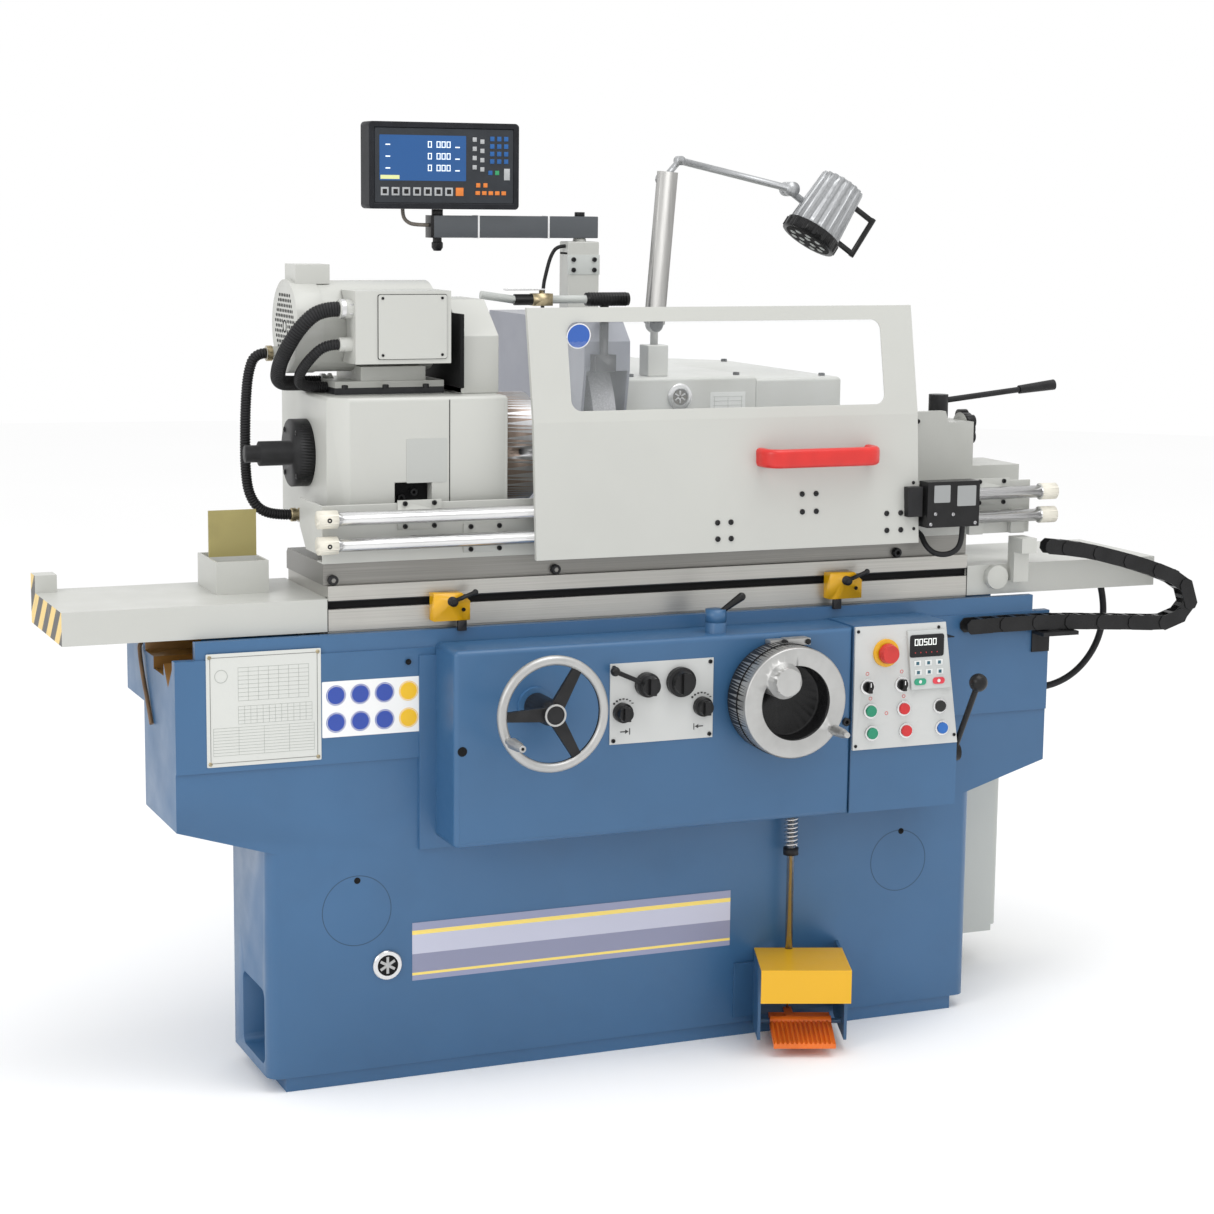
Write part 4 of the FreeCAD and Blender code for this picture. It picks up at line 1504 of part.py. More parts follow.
def lamp_post():
    """The lower lamp arm with its swivel stem and knob."""
    stem = rod("lamp_stem", "Z", ("lamp_across", "lamp_back", "lamp_foot_top + seat_clearance"),
               "lamp_stem_radius", "lamp_pivot_height - lamp_foot_top - seat_clearance")
    knob = ball("lamp_base_knob", ("lamp_across", "lamp_back", "lamp_pivot_height"),
                "lamp_knob_radius")
    arm = block("lamp_arm_bar", ("-arm_width / 2", "arm_width / 2"), ("-arm_depth / 2", "arm_depth / 2"),
                ("0", "arm_length"))
    lean = tilt(group("lamp_arm_lean", arm), (0, 1, 0), "arm_lean_angle")
    seat(lean, ("lamp_across", "lamp_back", "lamp_pivot_height"))
    return keep("lamp_post", join("lamp_post", stem, knob, lean))


def elbow_place():
    """The lamp's elbow pivot, behind the top of the lower arm."""
    reach = "(arm_length - elbow_radius)"
    return (f"lamp_across + {reach} * sin(arm_lean_angle)",
            "lamp_back + arm_depth / 2 + seat_clearance",
            f"lamp_pivot_height + {reach} * cos(arm_lean_angle)")


def link_end():
    """Where the short link of the lamp meets its long tube."""
    across, back, height = elbow_place()
    return (f"{across} + link_length * cos(link_angle)", f"{back} + elbow_radius / 2",
            f"{height} + link_length * sin(link_angle)")


def lamp_hub_place():
    """The pivot of the lamp head at the end of the tube."""
    across, back, height = link_end()
    return (f"{across} + tube_length * cos(tube_fall_angle)", back,
            f"{height} - tube_length * sin(tube_fall_angle)")


def lamp_arm():
    """The upper lamp arm: pivot disc, short link, knuckle, long tube and hub."""
    across, back, height = elbow_place()
    disc = rod("elbow_disc", "Y", (across, back, height), "elbow_radius", "elbow_radius")
    middle = (across, f"{back} + elbow_radius / 2", height)
    link = tilt(rod("lamp_link", "Z", ("0", "0", "0"), "link_radius", "link_length"),
                (0, 1, 0), "90 - link_angle")
    seat(link, middle)
    x, y, z = link_end()
    knuckle = rod("lamp_knuckle", "Y", (x, f"{y} - knuckle_radius", z), "knuckle_radius",
                  "2 * knuckle_radius")
    tube = tilt(rod("lamp_tube", "Z", ("0", "0", "0"), "lamp_tube_radius", "tube_length"),
                (0, 1, 0), "90 + tube_fall_angle")
    seat(tube, link_end())
    x, y, z = lamp_hub_place()
    hub = rod("lamp_hub", "Y", (x, f"{y} - knuckle_radius", z), "hub_disc_radius",
              "2 * knuckle_radius")
    return keep("lamp_arm", join("lamp_arm", disc, link, knuckle, tube, hub))


def lamp_head():
    """The lamp head: tapered drum with fins, bezel, side bail and the neck to its hub."""
    front, back = "(lamp_radius - fin_height)", "(lamp_back_radius - fin_height)"
    drum = taper("lamp_drum", "Z", ("0", "0", "0"), front, back, "head_length")
    bezel = rod("lamp_bezel", "Z", ("0", "0", "-bezel_length"), "bezel_radius", "bezel_length")
    fins = []
    count = int(size("fin_count"))
    for step in range(count // 2):
        fin = slab(f"fin_pair_{step}", "Y", [
            ("-lamp_radius", "0"), ("lamp_radius", "0"), ("lamp_back_radius", "head_length"),
            ("-lamp_back_radius", "head_length")], "-fin_width / 2", "fin_width / 2")
        fins.append(tilt(fin, (0, 0, 1), f"{step} * 360 / fin_count"))
    inside, reach = back, f"lamp_radius + bail_reach - {back}"
    low, high = "bezel_length / 2", "head_length - bezel_length"
    bail = [rod(f"bail_{side}", "X", (inside, "0", level), "bail_radius", reach)
            for side, level in (("low", low), ("high", high))]
    bail.append(rod("bail_bar", "Z", ("lamp_radius + bail_reach", "0", f"{low} - bail_radius"),
                    "bail_radius", f"{high} - ({low}) + 2 * bail_radius"))
    hub_x = "(lamp_radius + lamp_neck)"
    offset = "(2 * knuckle_radius + seat_clearance)"
    neck = rod("lamp_neck_bar", "X", (f"-{hub_x}", offset, "neck_along"), "lamp_tube_radius",
               "lamp_neck + lamp_radius / 2")
    eye = rod("lamp_neck_eye", "Y", (f"-{hub_x}", f"{offset} - knuckle_radius", "neck_along"),
              "hub_disc_radius", "2 * knuckle_radius")
    head = tilt(join("lamp_head", drum, bezel, neck, eye, *fins, *bail), (0, 1, 0),
                "90 - head_angle")
    x, y, z = lamp_hub_place()
    return keep("lamp_head", seat(head, (
        f"{x} + {hub_x} * sin(head_angle) - neck_along * cos(head_angle)", y,
        f"{z} - {hub_x} * cos(head_angle) - neck_along * sin(head_angle)")))


def display_arm():
    """The readout arm, its hinge knob and the short cable from the unit."""
    bar = block("readout_bar", ("arm_left", "post_across + post_width / 2"),
                ("post_back - arm_thick / 2", "post_back + arm_thick / 2"),
                ("arm_height - arm_rise / 2", "arm_height + arm_rise / 2"))
    knob = rod("readout_knob", "Z", ("hinge_across", "post_back", "arm_height - arm_rise / 2 "
                                     "- 2 * hinge_radius"), "hinge_knob_radius",
               "2 * hinge_radius")
    pin = rod("readout_pin", "Z", ("hinge_across", "post_back", "arm_height + arm_rise / 2"),
              "hinge_radius", "unit_low - arm_height - arm_rise / 2 - seat_clearance")
    cable = cord("readout_lead", READOUT_LEAD, size("hose_brown_radius"))
    return keep("display_arm", group("display_arm", join("arm_whole", bar, knob, pin), cable))


READOUT_LEAD = [(-222, 640, 1605.7), (-222, 640, 1592), (-214, 640, 1580), (-198, 640, 1573),
                (-166.2, 640, 1573)]


def display_unit():
    """The readout unit with its recessed screen face."""
    front = "post_back - unit_thick / 2"
    body = slab("unit_case", "Y", rectangle(
        ("unit_left", "unit_low"), ("unit_left + unit_width", "unit_low + unit_height")),
        front, f"{front} + unit_thick")
    rounded(body, "unit_round", lambda edge: runs(edge, "y"))
    margin = "screen_margin"
    pocket(body, "Y", rectangle(
        (f"unit_left + {margin}", f"unit_low + {margin}"),
        (f"unit_left + unit_width - {margin}", f"unit_low + unit_height - {margin}")),
        f"{front} - cut_overrun", f"{front} + screen_recess")
    return keep("display_unit", body)


DISPLAY_CABLE = [(139.8, 632, 1530), (121, 632, 1530), (107, 634, 1508), (99, 637, 1475),
                 (92, 640, 1440), (92, 640, 1388.3)]


def display_cable():
    """The readout cable from the post down to the wheel guard."""
    return keep("display_cable", cord("display_cable", DISPLAY_CABLE, size("hose_brown_radius")))


# Drag chain, shelf and hoses

CHAIN_ROUTE = [(846, -140, 955), (960, -140, 942), (1090, -140, 908), (1178, -140, 878),
               (1222, -140, 848), (1222, -140, 806), (1170, -140, 780), (1060, -140, 788),
               (896, -140, 798), (780, -140, 799), (668, -140, 797)]


def chain_link(name, start, end, outer):
    """One link: two eight-sided plates joined by a bar above and one below."""
    step = end - start
    heading = math.degrees(math.atan2(step.z, step.x))
    half, plate = size("chain_half"), size("chain_plate")
    corner = half * math.tan(math.pi / 8)
    length = step.Length
    points = [(-half, -corner), (-corner, -half), (length + corner, -half), (length + half, -corner),
              (length + half, corner), (length + corner, half), (-corner, half), (-half, corner)]
    face = Part.Face(Part.makePolygon([FreeCAD.Vector(x, 0, z) for x, z in points + points[:1]]))
    depth = half if outer else half - plate - size("seat_clearance")
    sides = []
    for low in (-depth, depth - plate):
        side = face.extrude(FreeCAD.Vector(0, plate, 0))
        side.translate(FreeCAD.Vector(0, low, 0))
        sides.append(side)
    width = length / 4
    for low in (-half, half - plate):
        sides.append(Part.makeBox(width, 2 * depth, plate,
                                  FreeCAD.Vector((length - width) / 2, -depth, low)))
    link = sides[0].fuse(sides[1:])
    link.Placement = FreeCAD.Placement(start, FreeCAD.Rotation(FreeCAD.Vector(0, -1, 0), heading))
    return made(name, link)


def drag_chain():
    """The cable drag chain: links from the table's post round to the control box."""
    path, radii = tube_path(CHAIN_ROUTE)
    count = round(path.Length / size("chain_pitch"))
    spots = path.discretize(Number=count + 1)
    links = [chain_link(f"chain_link_{step}", spots[step], spots[step + 1], step % 2 == 0)
             for step in range(1, count - 1)]
    print(f"drag chain: {len(links)} links over {path.Length:.0f}")
    return keep("drag_chain", group("drag_chain", *links))


def chain_shelf():
    """The angle on the bed that carries the chain's lower run."""
    top = "shelf_top"
    shelf = block("shelf", ("shelf_left", "shelf_right"),
                  ("-bed_depth / 2 - band_proud - shelf_depth", "-bed_depth / 2 - band_proud"),
                  (f"{top} - shelf_thick", top))
    back = block("shelf_back", ("shelf_left", "bed_length / 2"),
                 ("-bed_depth / 2 - band_proud - shelf_thick / 2", "-bed_depth / 2 - band_proud"),
                 (f"{top} - shelf_depth", f"{top} - shelf_thick"))
    anchor = block("chain_anchor", ("box_right_low + tab_width / 4", "box_right_low + 2 * tab_width"),
                   ("-chain_front - chain_half", "-bed_depth / 2 - band_proud"),
                   ("chain_end_height - chain_half - chain_plate", "chain_end_height - chain_half"))
    return keep("chain_shelf", group("chain_shelf", join("shelf_whole", shelf, back), anchor))


BLACK_HOSE = [(1092, 0, 908.8), (1092, 0, 870), (1108, 0, 826), (1114, 0, 776), (1102, 0, 722),
              (1070, 0, 676), (1024, 0, 644), (966, 0, 630), (900.3, 0, 630)]
BROWN_TUBE = [(-892, 140, 816), (-904, 134, 812), (-907, 118, 794), (-906, 98, 752),
              (-904.3, 70, 712), (-904.3, 44, 676)]


def service_hoses():
    """The hose under the right cover and the thin tube on the left end of the bed."""
    black = cord("black_hose", BLACK_HOSE, size("hose_black_radius"))
    brown = cord("brown_tube", BROWN_TUBE, size("hose_brown_radius"))
    return keep("service_hoses", group("service_hoses", black, brown))


def build():
    """Make every sub-part."""
    bed_casting()
    apron_housing()
    control_panel()
    electrical_cabinet()
    pedal_bracket()
    pedal_guard()
    foot_pedal()
    pedal_rod()
    pedal_spring()
    table_handwheel()
    infeed_handwheel()
    start_lever()
    plate_knob("speed_knob", "speed_across", "speed_height", "speed_radius", "speed_depth")
    for side in ("left", "right"):
        plate_knob(f"{side}_dwell_knob", f"{side}_dwell_across", f"{side}_dwell_height",
                   "dwell_radius", "dwell_depth")
        selector(f"{side}_selector", f"{side}_selector_across")
    reversing_lever()
    rapid_lever()
    for node, across, height in buttons():
        push_button(node, across, height)
    emergency_stop()
    lower_table()
    table_covers()
    trip_dog("left", "1")
    trip_dog("right", "-1")
    swivel_table()
    workhead_base()
    workhead_housing()
    work_spindle()
    workhead_motor()
    workhead_conduits()
    tailstock_body()
    tailstock_quill()
    tailstock_lever()
    guard_rail()
    guard_rods()
    guard_sheet()
    guard_window()
    guard_handle()
    interlock_switch()
    interlock_cable()
    wheelhead_body()
    wheel_guard()
    grinding_wheel()
    coolant_pipe()
    coolant_lever()
    lamp_post()
    lamp_arm()
    lamp_head()
    display_arm()
    display_unit()
    display_cable()
    drag_chain()
    chain_shelf()
    service_hoses()


def checked():
    """Stop if any object failed, any cut took nothing away or any sub-part isn't a solid."""
    for thing in doc.Objects:
        if "Invalid" in thing.State or "Error" in thing.State:
            raise RuntimeError(f"{thing.Name} failed: {thing.State}")
    for feature in CUTS:
        if feature.Shape.Volume >= feature.BaseFeature.Shape.Volume - 1:
            raise RuntimeError(f"{feature.Name} cuts nothing")
    for node, thing in NODES.items():
        if thing.Shape.isNull() or not thing.Shape.isValid() or not thing.Shape.Solids:
            raise RuntimeError(f"{node} has no valid solid")


build()
doc.recompute()
checked()
os.makedirs("parts", exist_ok=True)
for node, thing in NODES.items():
    thing.Shape.exportStep(f"parts/{node}.step")
print(len(NODES), "sub-parts")
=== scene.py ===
"""Dress the cylindrical grinding machine: finishes, plates, controls, cords and small detail."""
import math
from itertools import product
from operator import mul

import bmesh
import bpy
from mathutils import Matrix, Vector


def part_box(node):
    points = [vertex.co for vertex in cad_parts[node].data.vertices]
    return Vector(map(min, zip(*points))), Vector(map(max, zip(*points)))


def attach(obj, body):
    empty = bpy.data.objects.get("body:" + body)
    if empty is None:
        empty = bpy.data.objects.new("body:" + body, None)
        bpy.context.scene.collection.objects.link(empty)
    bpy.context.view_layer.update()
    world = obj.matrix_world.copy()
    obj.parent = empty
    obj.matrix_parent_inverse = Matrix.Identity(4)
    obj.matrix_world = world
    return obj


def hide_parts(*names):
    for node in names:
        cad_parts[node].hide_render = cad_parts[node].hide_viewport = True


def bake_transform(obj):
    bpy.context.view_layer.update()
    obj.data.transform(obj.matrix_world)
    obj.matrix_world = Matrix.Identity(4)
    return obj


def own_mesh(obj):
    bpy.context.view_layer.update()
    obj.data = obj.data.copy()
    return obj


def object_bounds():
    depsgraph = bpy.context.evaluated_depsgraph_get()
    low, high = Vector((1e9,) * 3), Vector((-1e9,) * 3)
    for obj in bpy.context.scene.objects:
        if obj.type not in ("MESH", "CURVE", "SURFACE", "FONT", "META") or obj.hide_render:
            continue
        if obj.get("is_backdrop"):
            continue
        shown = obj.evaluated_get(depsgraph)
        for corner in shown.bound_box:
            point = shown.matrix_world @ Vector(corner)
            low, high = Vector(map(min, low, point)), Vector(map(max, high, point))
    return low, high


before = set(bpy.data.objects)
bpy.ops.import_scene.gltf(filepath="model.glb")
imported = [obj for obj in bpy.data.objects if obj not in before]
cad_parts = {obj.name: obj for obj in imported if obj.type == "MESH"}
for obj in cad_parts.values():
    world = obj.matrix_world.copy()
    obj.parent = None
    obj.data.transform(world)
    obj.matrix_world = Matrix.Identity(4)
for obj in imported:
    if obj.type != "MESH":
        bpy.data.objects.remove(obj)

bl_info = {
    "name": "Cylindrical grinding machine",
    "version": (1, 0, 0),
    "blender": (4, 5, 0),
    "location": "3D View > Sidebar > Grinder",
    "description": "Dresses the grinding machine with its finishes, controls, cords and plates",
    "category": "Object",
}

MM = 0.001
CAD_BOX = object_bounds()
FRONT, BACK = (0, -1, 0), (0, 1, 0)
LEFT, RIGHT = (-1, 0, 0), (1, 0, 0)
UP, DOWN = (0, 0, 1), (0, 0, -1)

# Camera
CAMERA_PLACE = (-1.95308, -4.55995, 1.640)
CAMERA_YAW, CAMERA_PITCH, CAMERA_ROLL = 22.955, 9.031, 0.610
CAMERA_LENS = 76.97

# Routes of the cords, as in the part's source
LARGE_CONDUIT = [(-564.3, -20, 1430), (-598, -20, 1430), (-631, -14, 1402), (-653, 4, 1362),
                 (-661, 38, 1324), (-650, 84, 1291), (-606, 118, 1287), (-560.3, 118, 1287)]
SMALL_CONDUIT = [(-564.3, -20, 1366), (-590, -20, 1366), (-616, -10, 1340), (-628, 18, 1311),
                 (-618, 52, 1290), (-592, 70, 1283), (-560.3, 70, 1283)]
SIDE_CONDUIT = [(-656.3, 140, 1342), (-677, 140, 1342), (-690, 142, 1306), (-695, 142, 1250),
                (-697, 141, 1190), (-698, 138, 1130), (-694, 133, 1082), (-674, 128, 1050),
                (-636, 128, 1040), (-593.3, 128, 1040)]
SWITCH_CABLE = [(672, -154, 1002.8), (672, -154, 978), (664, -154, 956), (643, -150, 945),
                (618, -142, 947), (604, -128, 963), (602, -113, 986), (602, -95.3, 986)]
READOUT_LEAD = [(-222, 640, 1605.7), (-222, 640, 1592), (-214, 640, 1580), (-198, 640, 1573),
                (-166.2, 640, 1573)]
POST_CABLE = [(139.8, 632, 1530), (121, 632, 1530), (107, 634, 1508), (99, 637, 1475),
              (92, 640, 1440), (92, 640, 1388.3)]
BLACK_HOSE = [(1092, 0, 908.8), (1092, 0, 870), (1108, 0, 826), (1114, 0, 776), (1102, 0, 722),
              (1070, 0, 676), (1024, 0, 644), (966, 0, 630), (900.3, 0, 630)]
BROWN_TUBE = [(-892, 140, 816), (-904, 134, 812), (-907, 118, 794), (-906, 98, 752),
              (-904.3, 70, 712), (-904.3, 44, 676)]

# Places shared by several pieces, in millimetres
BED_FACE, APRON_FACE, PANEL_FACE = -120, -230, -235
TABLE_WHEEL, INFEED_WHEEL = (-260, 719), (228, 706)
WORK_AXIS, WHEEL_AXIS, MOTOR_AXIS = (95, 1160), (460, 1160), (95, 1394)
PEDAL_ROD = (311, -150)
TROUGH_END, TROUGH_HALF, TROUGH_FLOOR = -795, 104.4, 760
MOTOR_FOOT = 1284.2
STOP_PLACE = (462, 774)
SWITCHES = {"left_switch": (424, 710), "right_switch": (499, 710)}
BUTTONS = [(432, 662), (436, 618), (505, 662), (511, 618), (585, 662), (591, 618)]
ROD_BACK, ROD_HEIGHTS = -120, (1060, 1013)
HEAD_FRONT = 285
ARM_BACK, ARM_ENDS = 640, (-146, 176)
READOUT_FACE = 614


def mm(*place):
    """A place given in millimetres."""
    return Vector(place) * MM


class GrinderColours(bpy.types.PropertyGroup):
    """Colours of the paint, plastic and metal."""
    bed: bpy.props.FloatVectorProperty(
        name="Bed", description="Blue paint of the bed and apron", subtype="COLOR", size=3,
        default=(0.038, 0.118, 0.245))
    cover: bpy.props.FloatVectorProperty(
        name="Covers", description="Warm grey-white paint of the covers", subtype="COLOR", size=3,
        default=(0.50, 0.505, 0.475))
    hood: bpy.props.FloatVectorProperty(
        name="Wheel hood", description="Cool grey paint of the wheel hood", subtype="COLOR",
        size=3, default=(0.22, 0.23, 0.27))
    steel: bpy.props.FloatVectorProperty(
        name="Ground steel", description="Ground faces of the tables", subtype="COLOR", size=3,
        default=(0.46, 0.45, 0.42))
    chrome: bpy.props.FloatVectorProperty(
        name="Chrome", description="Rims, rods and knobs", subtype="COLOR", size=3,
        default=(0.72, 0.72, 0.72))
    black: bpy.props.FloatVectorProperty(
        name="Black", description="Knobs, screws and levers", subtype="COLOR", size=3,
        default=(0.0095, 0.0095, 0.010))
    guard: bpy.props.FloatVectorProperty(
        name="Pedal guard", description="Yellow paint of the pedal guard", subtype="COLOR",
        size=3, default=(0.74, 0.40, 0.004))
    tread: bpy.props.FloatVectorProperty(
        name="Pedal tread", description="Orange paint of the tread", subtype="COLOR", size=3,
        default=(0.78, 0.16, 0.012))
    handle: bpy.props.FloatVectorProperty(
        name="Guard handle", description="Red plastic of the guard's handle", subtype="COLOR",
        size=3, default=(0.60, 0.022, 0.018))


class GrinderSizes(bpy.types.PropertyGroup):
    """Sizes of the small detail."""
    casting_edge: bpy.props.FloatProperty(
        name="Casting edge", description="Rounding of a casting's edges", unit="LENGTH",
        default=2.4 * MM, min=0.0002, max=0.006)
    sheet_edge: bpy.props.FloatProperty(
        name="Sheet edge", description="Rounding of a sheet cover's edges", unit="LENGTH",
        default=1.2 * MM, min=0.0002, max=0.003)
    fine_edge: bpy.props.FloatProperty(
        name="Fine edge", description="Rounding of machined and moulded edges", unit="LENGTH",
        default=0.6 * MM, min=0.0001, max=0.002)
    rib_pitch: bpy.props.FloatProperty(
        name="Conduit pitch", description="Distance between the ribs of a conduit",
        unit="LENGTH", default=5 * MM, min=0.003, max=0.012)
    rib_depth: bpy.props.FloatProperty(
        name="Conduit rib", description="Depth of a conduit's ribs", unit="LENGTH",
        default=1.6 * MM, min=0.0005, max=0.003)


class GrinderStudio(bpy.types.PropertyGroup):
    """Light of the studio."""
    key: bpy.props.FloatProperty(
        name="Key light", description="Power of the light at the left", unit="POWER",
        default=75, min=0, max=2000)
    top: bpy.props.FloatProperty(
        name="Top light", description="Power of the light above", unit="POWER",
        default=70, min=0, max=2000)
    room: bpy.props.FloatProperty(
        name="Room light", description="Strength of the even light all round", default=1.0,
        min=0, max=3)


def colours():
    """The chosen colours."""
    return bpy.context.scene.grinder_colours


def sizes():
    """The chosen sizes."""
    return bpy.context.scene.grinder_sizes


# Finishes

MADE = {}
BAND_PITCH = 78 * MM


def once(name, maker, *given, **values):
    """A finish by its name, made the first time that it is asked for."""
    if name not in MADE:
        MADE[name] = maker(name, *given, **values)
    return MADE[name]


def start_finish(name, colour, rough, metallic=0.0):
    """Start a finish and give its material, nodes, shader and object place."""
    material = bpy.data.materials.new(name)
    material.use_nodes = True
    material.diffuse_color = (*colour, 1)
    tree = material.node_tree
    shader = tree.nodes["Principled BSDF"]
    shader.inputs["Base Color"].default_value = (*colour, 1)
    shader.inputs["Roughness"].default_value = rough
    shader.inputs["Metallic"].default_value = metallic
    place = tree.nodes.new("ShaderNodeTexCoord").outputs["Object"]
    return material, tree, shader, place


def grain(tree, place, scale, detail=3.0, stretch=(1, 1, 1)):
    """Noise over the object's own place, stretched where grinding or brushing draws it out."""
    mapping = tree.nodes.new("ShaderNodeMapping")
    mapping.inputs["Scale"].default_value = stretch
    noise = tree.nodes.new("ShaderNodeTexNoise")
    noise.inputs["Scale"].default_value = scale
    noise.inputs["Detail"].default_value = detail
    tree.links.new(place, mapping.inputs["Vector"])
    tree.links.new(mapping.outputs["Vector"], noise.inputs["Vector"])
    return noise.outputs["Fac"]


def spread(tree, value, low, high, start=0.3, end=0.7):
    """Bring a value between two ends."""
    reach = tree.nodes.new("ShaderNodeMapRange")
    reach.inputs["From Min"].default_value = start
    reach.inputs["From Max"].default_value = end
    reach.inputs["To Min"].default_value = low
    reach.inputs["To Max"].default_value = high
    tree.links.new(value, reach.inputs["Value"])
    return reach.outputs["Result"]


def mix_colours(tree, factor, first, second):
    """Mix two colours, each a tone or a socket."""
    mix = tree.nodes.new("ShaderNodeMix")
    mix.data_type = "RGBA"
    tree.links.new(factor, mix.inputs["Factor"])
    for socket, tone in ((mix.inputs[6], first), (mix.inputs[7], second)):
        if isinstance(tone, bpy.types.NodeSocket):
            tree.links.new(tone, socket)
        else:
            socket.default_value = (*tone, 1)
    return mix.outputs[2]


def shade(colour, amount):
    """A colour made lighter or darker by a share."""
    return tuple(min(1.0, part * (1 + amount)) for part in colour)


def add_bump(tree, shader, height, strength, distance=0.4 * MM):
    """Turn a height into bump."""
    bump = tree.nodes.new("ShaderNodeBump")
    bump.inputs["Strength"].default_value = strength
    bump.inputs["Distance"].default_value = distance
    tree.links.new(height, bump.inputs["Height"])
    tree.links.new(bump.outputs["Normal"], shader.inputs["Normal"])


def paint(name, colour, rough=0.42, mottle=0.06, peel=0.12, dirt=0.0):
    """Sprayed paint: slow mottle, orange peel and an uneven gloss."""
    material, tree, shader, place = start_finish(name, colour, rough)
    slow = spread(tree, grain(tree, place, 2.6, 4), 0, 1)
    tone = mix_colours(tree, slow, shade(colour, -mottle), shade(colour, mottle))
    if dirt:
        smear = spread(tree, grain(tree, place, 9, 6), 0, dirt, 0.52, 0.72)
        tone = mix_colours(tree, smear, tone, shade(colour, -0.55))
    tree.links.new(tone, shader.inputs["Base Color"])
    fine = grain(tree, place, 260, 2)
    add_bump(tree, shader, fine, peel)
    tree.links.new(spread(tree, grain(tree, place, 14, 3), rough - 0.06, rough + 0.08),
                   shader.inputs["Roughness"])
    shader.inputs["Coat Weight"].default_value = 0.12
    shader.inputs["Coat Roughness"].default_value = 0.25
    return material


def bed_paint():
    """Blue paint on the castings."""
    return once("bed_blue_paint", paint, colours().bed, rough=0.40, mottle=0.07, peel=0.16,
                dirt=0.10)


def shelf_paint():
    """Lighter blue inside the pedal bracket."""
    return once("bracket_blue_paint", paint, shade(colours().bed, -0.2), rough=0.42, mottle=0.08,
                peel=0.14, dirt=0.2)


def cover_paint():
    """Warm grey-white paint on the sheet covers."""
    return once("cover_white_paint", paint, colours().cover, rough=0.40, mottle=0.025, peel=0.08,
                dirt=0.03)


def casting_white():
    """The same paint on rougher castings."""
    return once("casting_white_paint", paint, shade(colours().cover, -0.07), rough=0.44,
                mottle=0.04, peel=0.22, dirt=0.08)


def hood_paint():
    """Cool grey paint of the wheel hood."""
    return once("hood_grey_paint", paint, colours().hood, rough=0.34, mottle=0.04, peel=0.08,
                dirt=0.05)


def cabinet_paint():
    """Light grey paint of the electrical cabinet."""
    return once("cabinet_grey_paint", paint, (0.50, 0.52, 0.50), rough=0.42, mottle=0.03, peel=0.2,
                dirt=0.02)


def dark_paint():
    """Dark grey paint of the motor plate and foot."""
    return once("dark_grey_paint", paint, (0.018, 0.019, 0.022), rough=0.50, mottle=0.15, peel=0.3,
                dirt=0.1)


def arm_paint():
    """Dark grey paint of the readout arm."""
    return once("arm_grey_paint", paint, (0.075, 0.083, 0.092), rough=0.45, mottle=0.08, peel=0.4,
                dirt=0.05)


def guard_paint():
    """Yellow paint of the pedal guard."""
    return once("guard_yellow_paint", paint, colours().guard, rough=0.33, mottle=0.04, peel=0.08,
                dirt=0.03)


def dog_paint():
    """Yellow paint of the trip dogs."""
    return once("dog_yellow_paint", paint, (0.72, 0.38, 0.004), rough=0.30, mottle=0.05, peel=0.1,
                dirt=0.15)


def tread_paint():
    """Orange paint of the pedal tread, worn on its ribs."""
    return once("tread_orange_paint", paint, colours().tread, rough=0.42, mottle=0.10, peel=0.3,
                dirt=0.35)


def trough_paint():
    """Oil-stained brown paint inside the end of the bed."""
    return once("trough_brown_paint", paint, (0.30, 0.145, 0.028), rough=0.38, mottle=0.25,
                peel=0.3, dirt=0.6)


def plate_paint(name="plate_grey", colour=(0.56, 0.57, 0.56)):
    """Printed face of a control plate."""
    return once(name, paint, colour, rough=0.36, mottle=0.02, peel=0.05)


def flat_print(name, colour):
    """A printed colour on a plate."""
    return once(name, paint, colour, rough=0.40, mottle=0.03, peel=0.04)


def ground(name, colour, rough, stretch, contrast=0.16, metallic=0.72, bump=0.06):
    """Ground steel with fine lines along the way that the wheel passed, and slow darker patches:
    random tone on steel, painted reflection on bright chrome.
    """
    material, tree, shader, place = start_finish(name, colour, rough, metallic=metallic)
    lines = grain(tree, place, 60, 4, stretch)
    cloudy_tone_and_reflection = grain(tree, place, 5, 3)
    tone = mix_colours(tree, spread(tree, lines, 0, 1), shade(colour, -contrast),
                       shade(colour, contrast / 2))
    # Slow darker patches: random tone, and on bright chrome a painted reflection of the room.
    tone = mix_colours(tree, spread(tree, cloudy_tone_and_reflection, 0, 0.35), tone, shade(colour, -0.35))
    tree.links.new(tone, shader.inputs["Base Color"])
    tree.links.new(spread(tree, lines, rough - 0.06, rough + 0.10), shader.inputs["Roughness"])
    add_bump(tree, shader, lines, bump, distance=0.06 * MM)
    return material


def table_steel():
    """Ground faces of the lower table, with lines along the table."""
    return once("table_ground_steel", ground, shade(colours().steel, 0.10), 0.34, (0.05, 5, 9))


def swivel_steel():
    """Slightly darker ground faces of the swivel table."""
    return once("swivel_ground_steel", ground, shade(colours().steel, -0.4), 0.36,
                (0.05, 5, 9), contrast=0.2)


def round_steel():
    """Turned steel of the chuck, quill and flanges."""
    return once("turned_steel", ground, (0.52, 0.52, 0.53), 0.36, (6, 0.3, 0.3), contrast=0.07,
                metallic=0.8, bump=0.01)


def warm_steel():
    """Chuck steel with a reddish brown tint of old coolant."""
    return once("tinted_steel", ground, (0.42, 0.33, 0.28), 0.40, (6, 0.3, 0.3), contrast=0.10,
                metallic=0.75, bump=0.01)


def chrome():
    """Bright chrome plate, whose slow light and dark patches in the base colour are painted
    reflections.
    """
    return once("bright_chrome", ground, colours().chrome, 0.20, (0.12, 0.12, 0.12), contrast=0.03,
                metallic=0.9, bump=0.0)


def satin_chrome():
    """Satin turned metal of the handwheel rims and grips."""
    return once("satin_chrome", ground, (0.50, 0.50, 0.49), 0.40, (0.6, 5, 0.6), contrast=0.08,
                metallic=0.8)


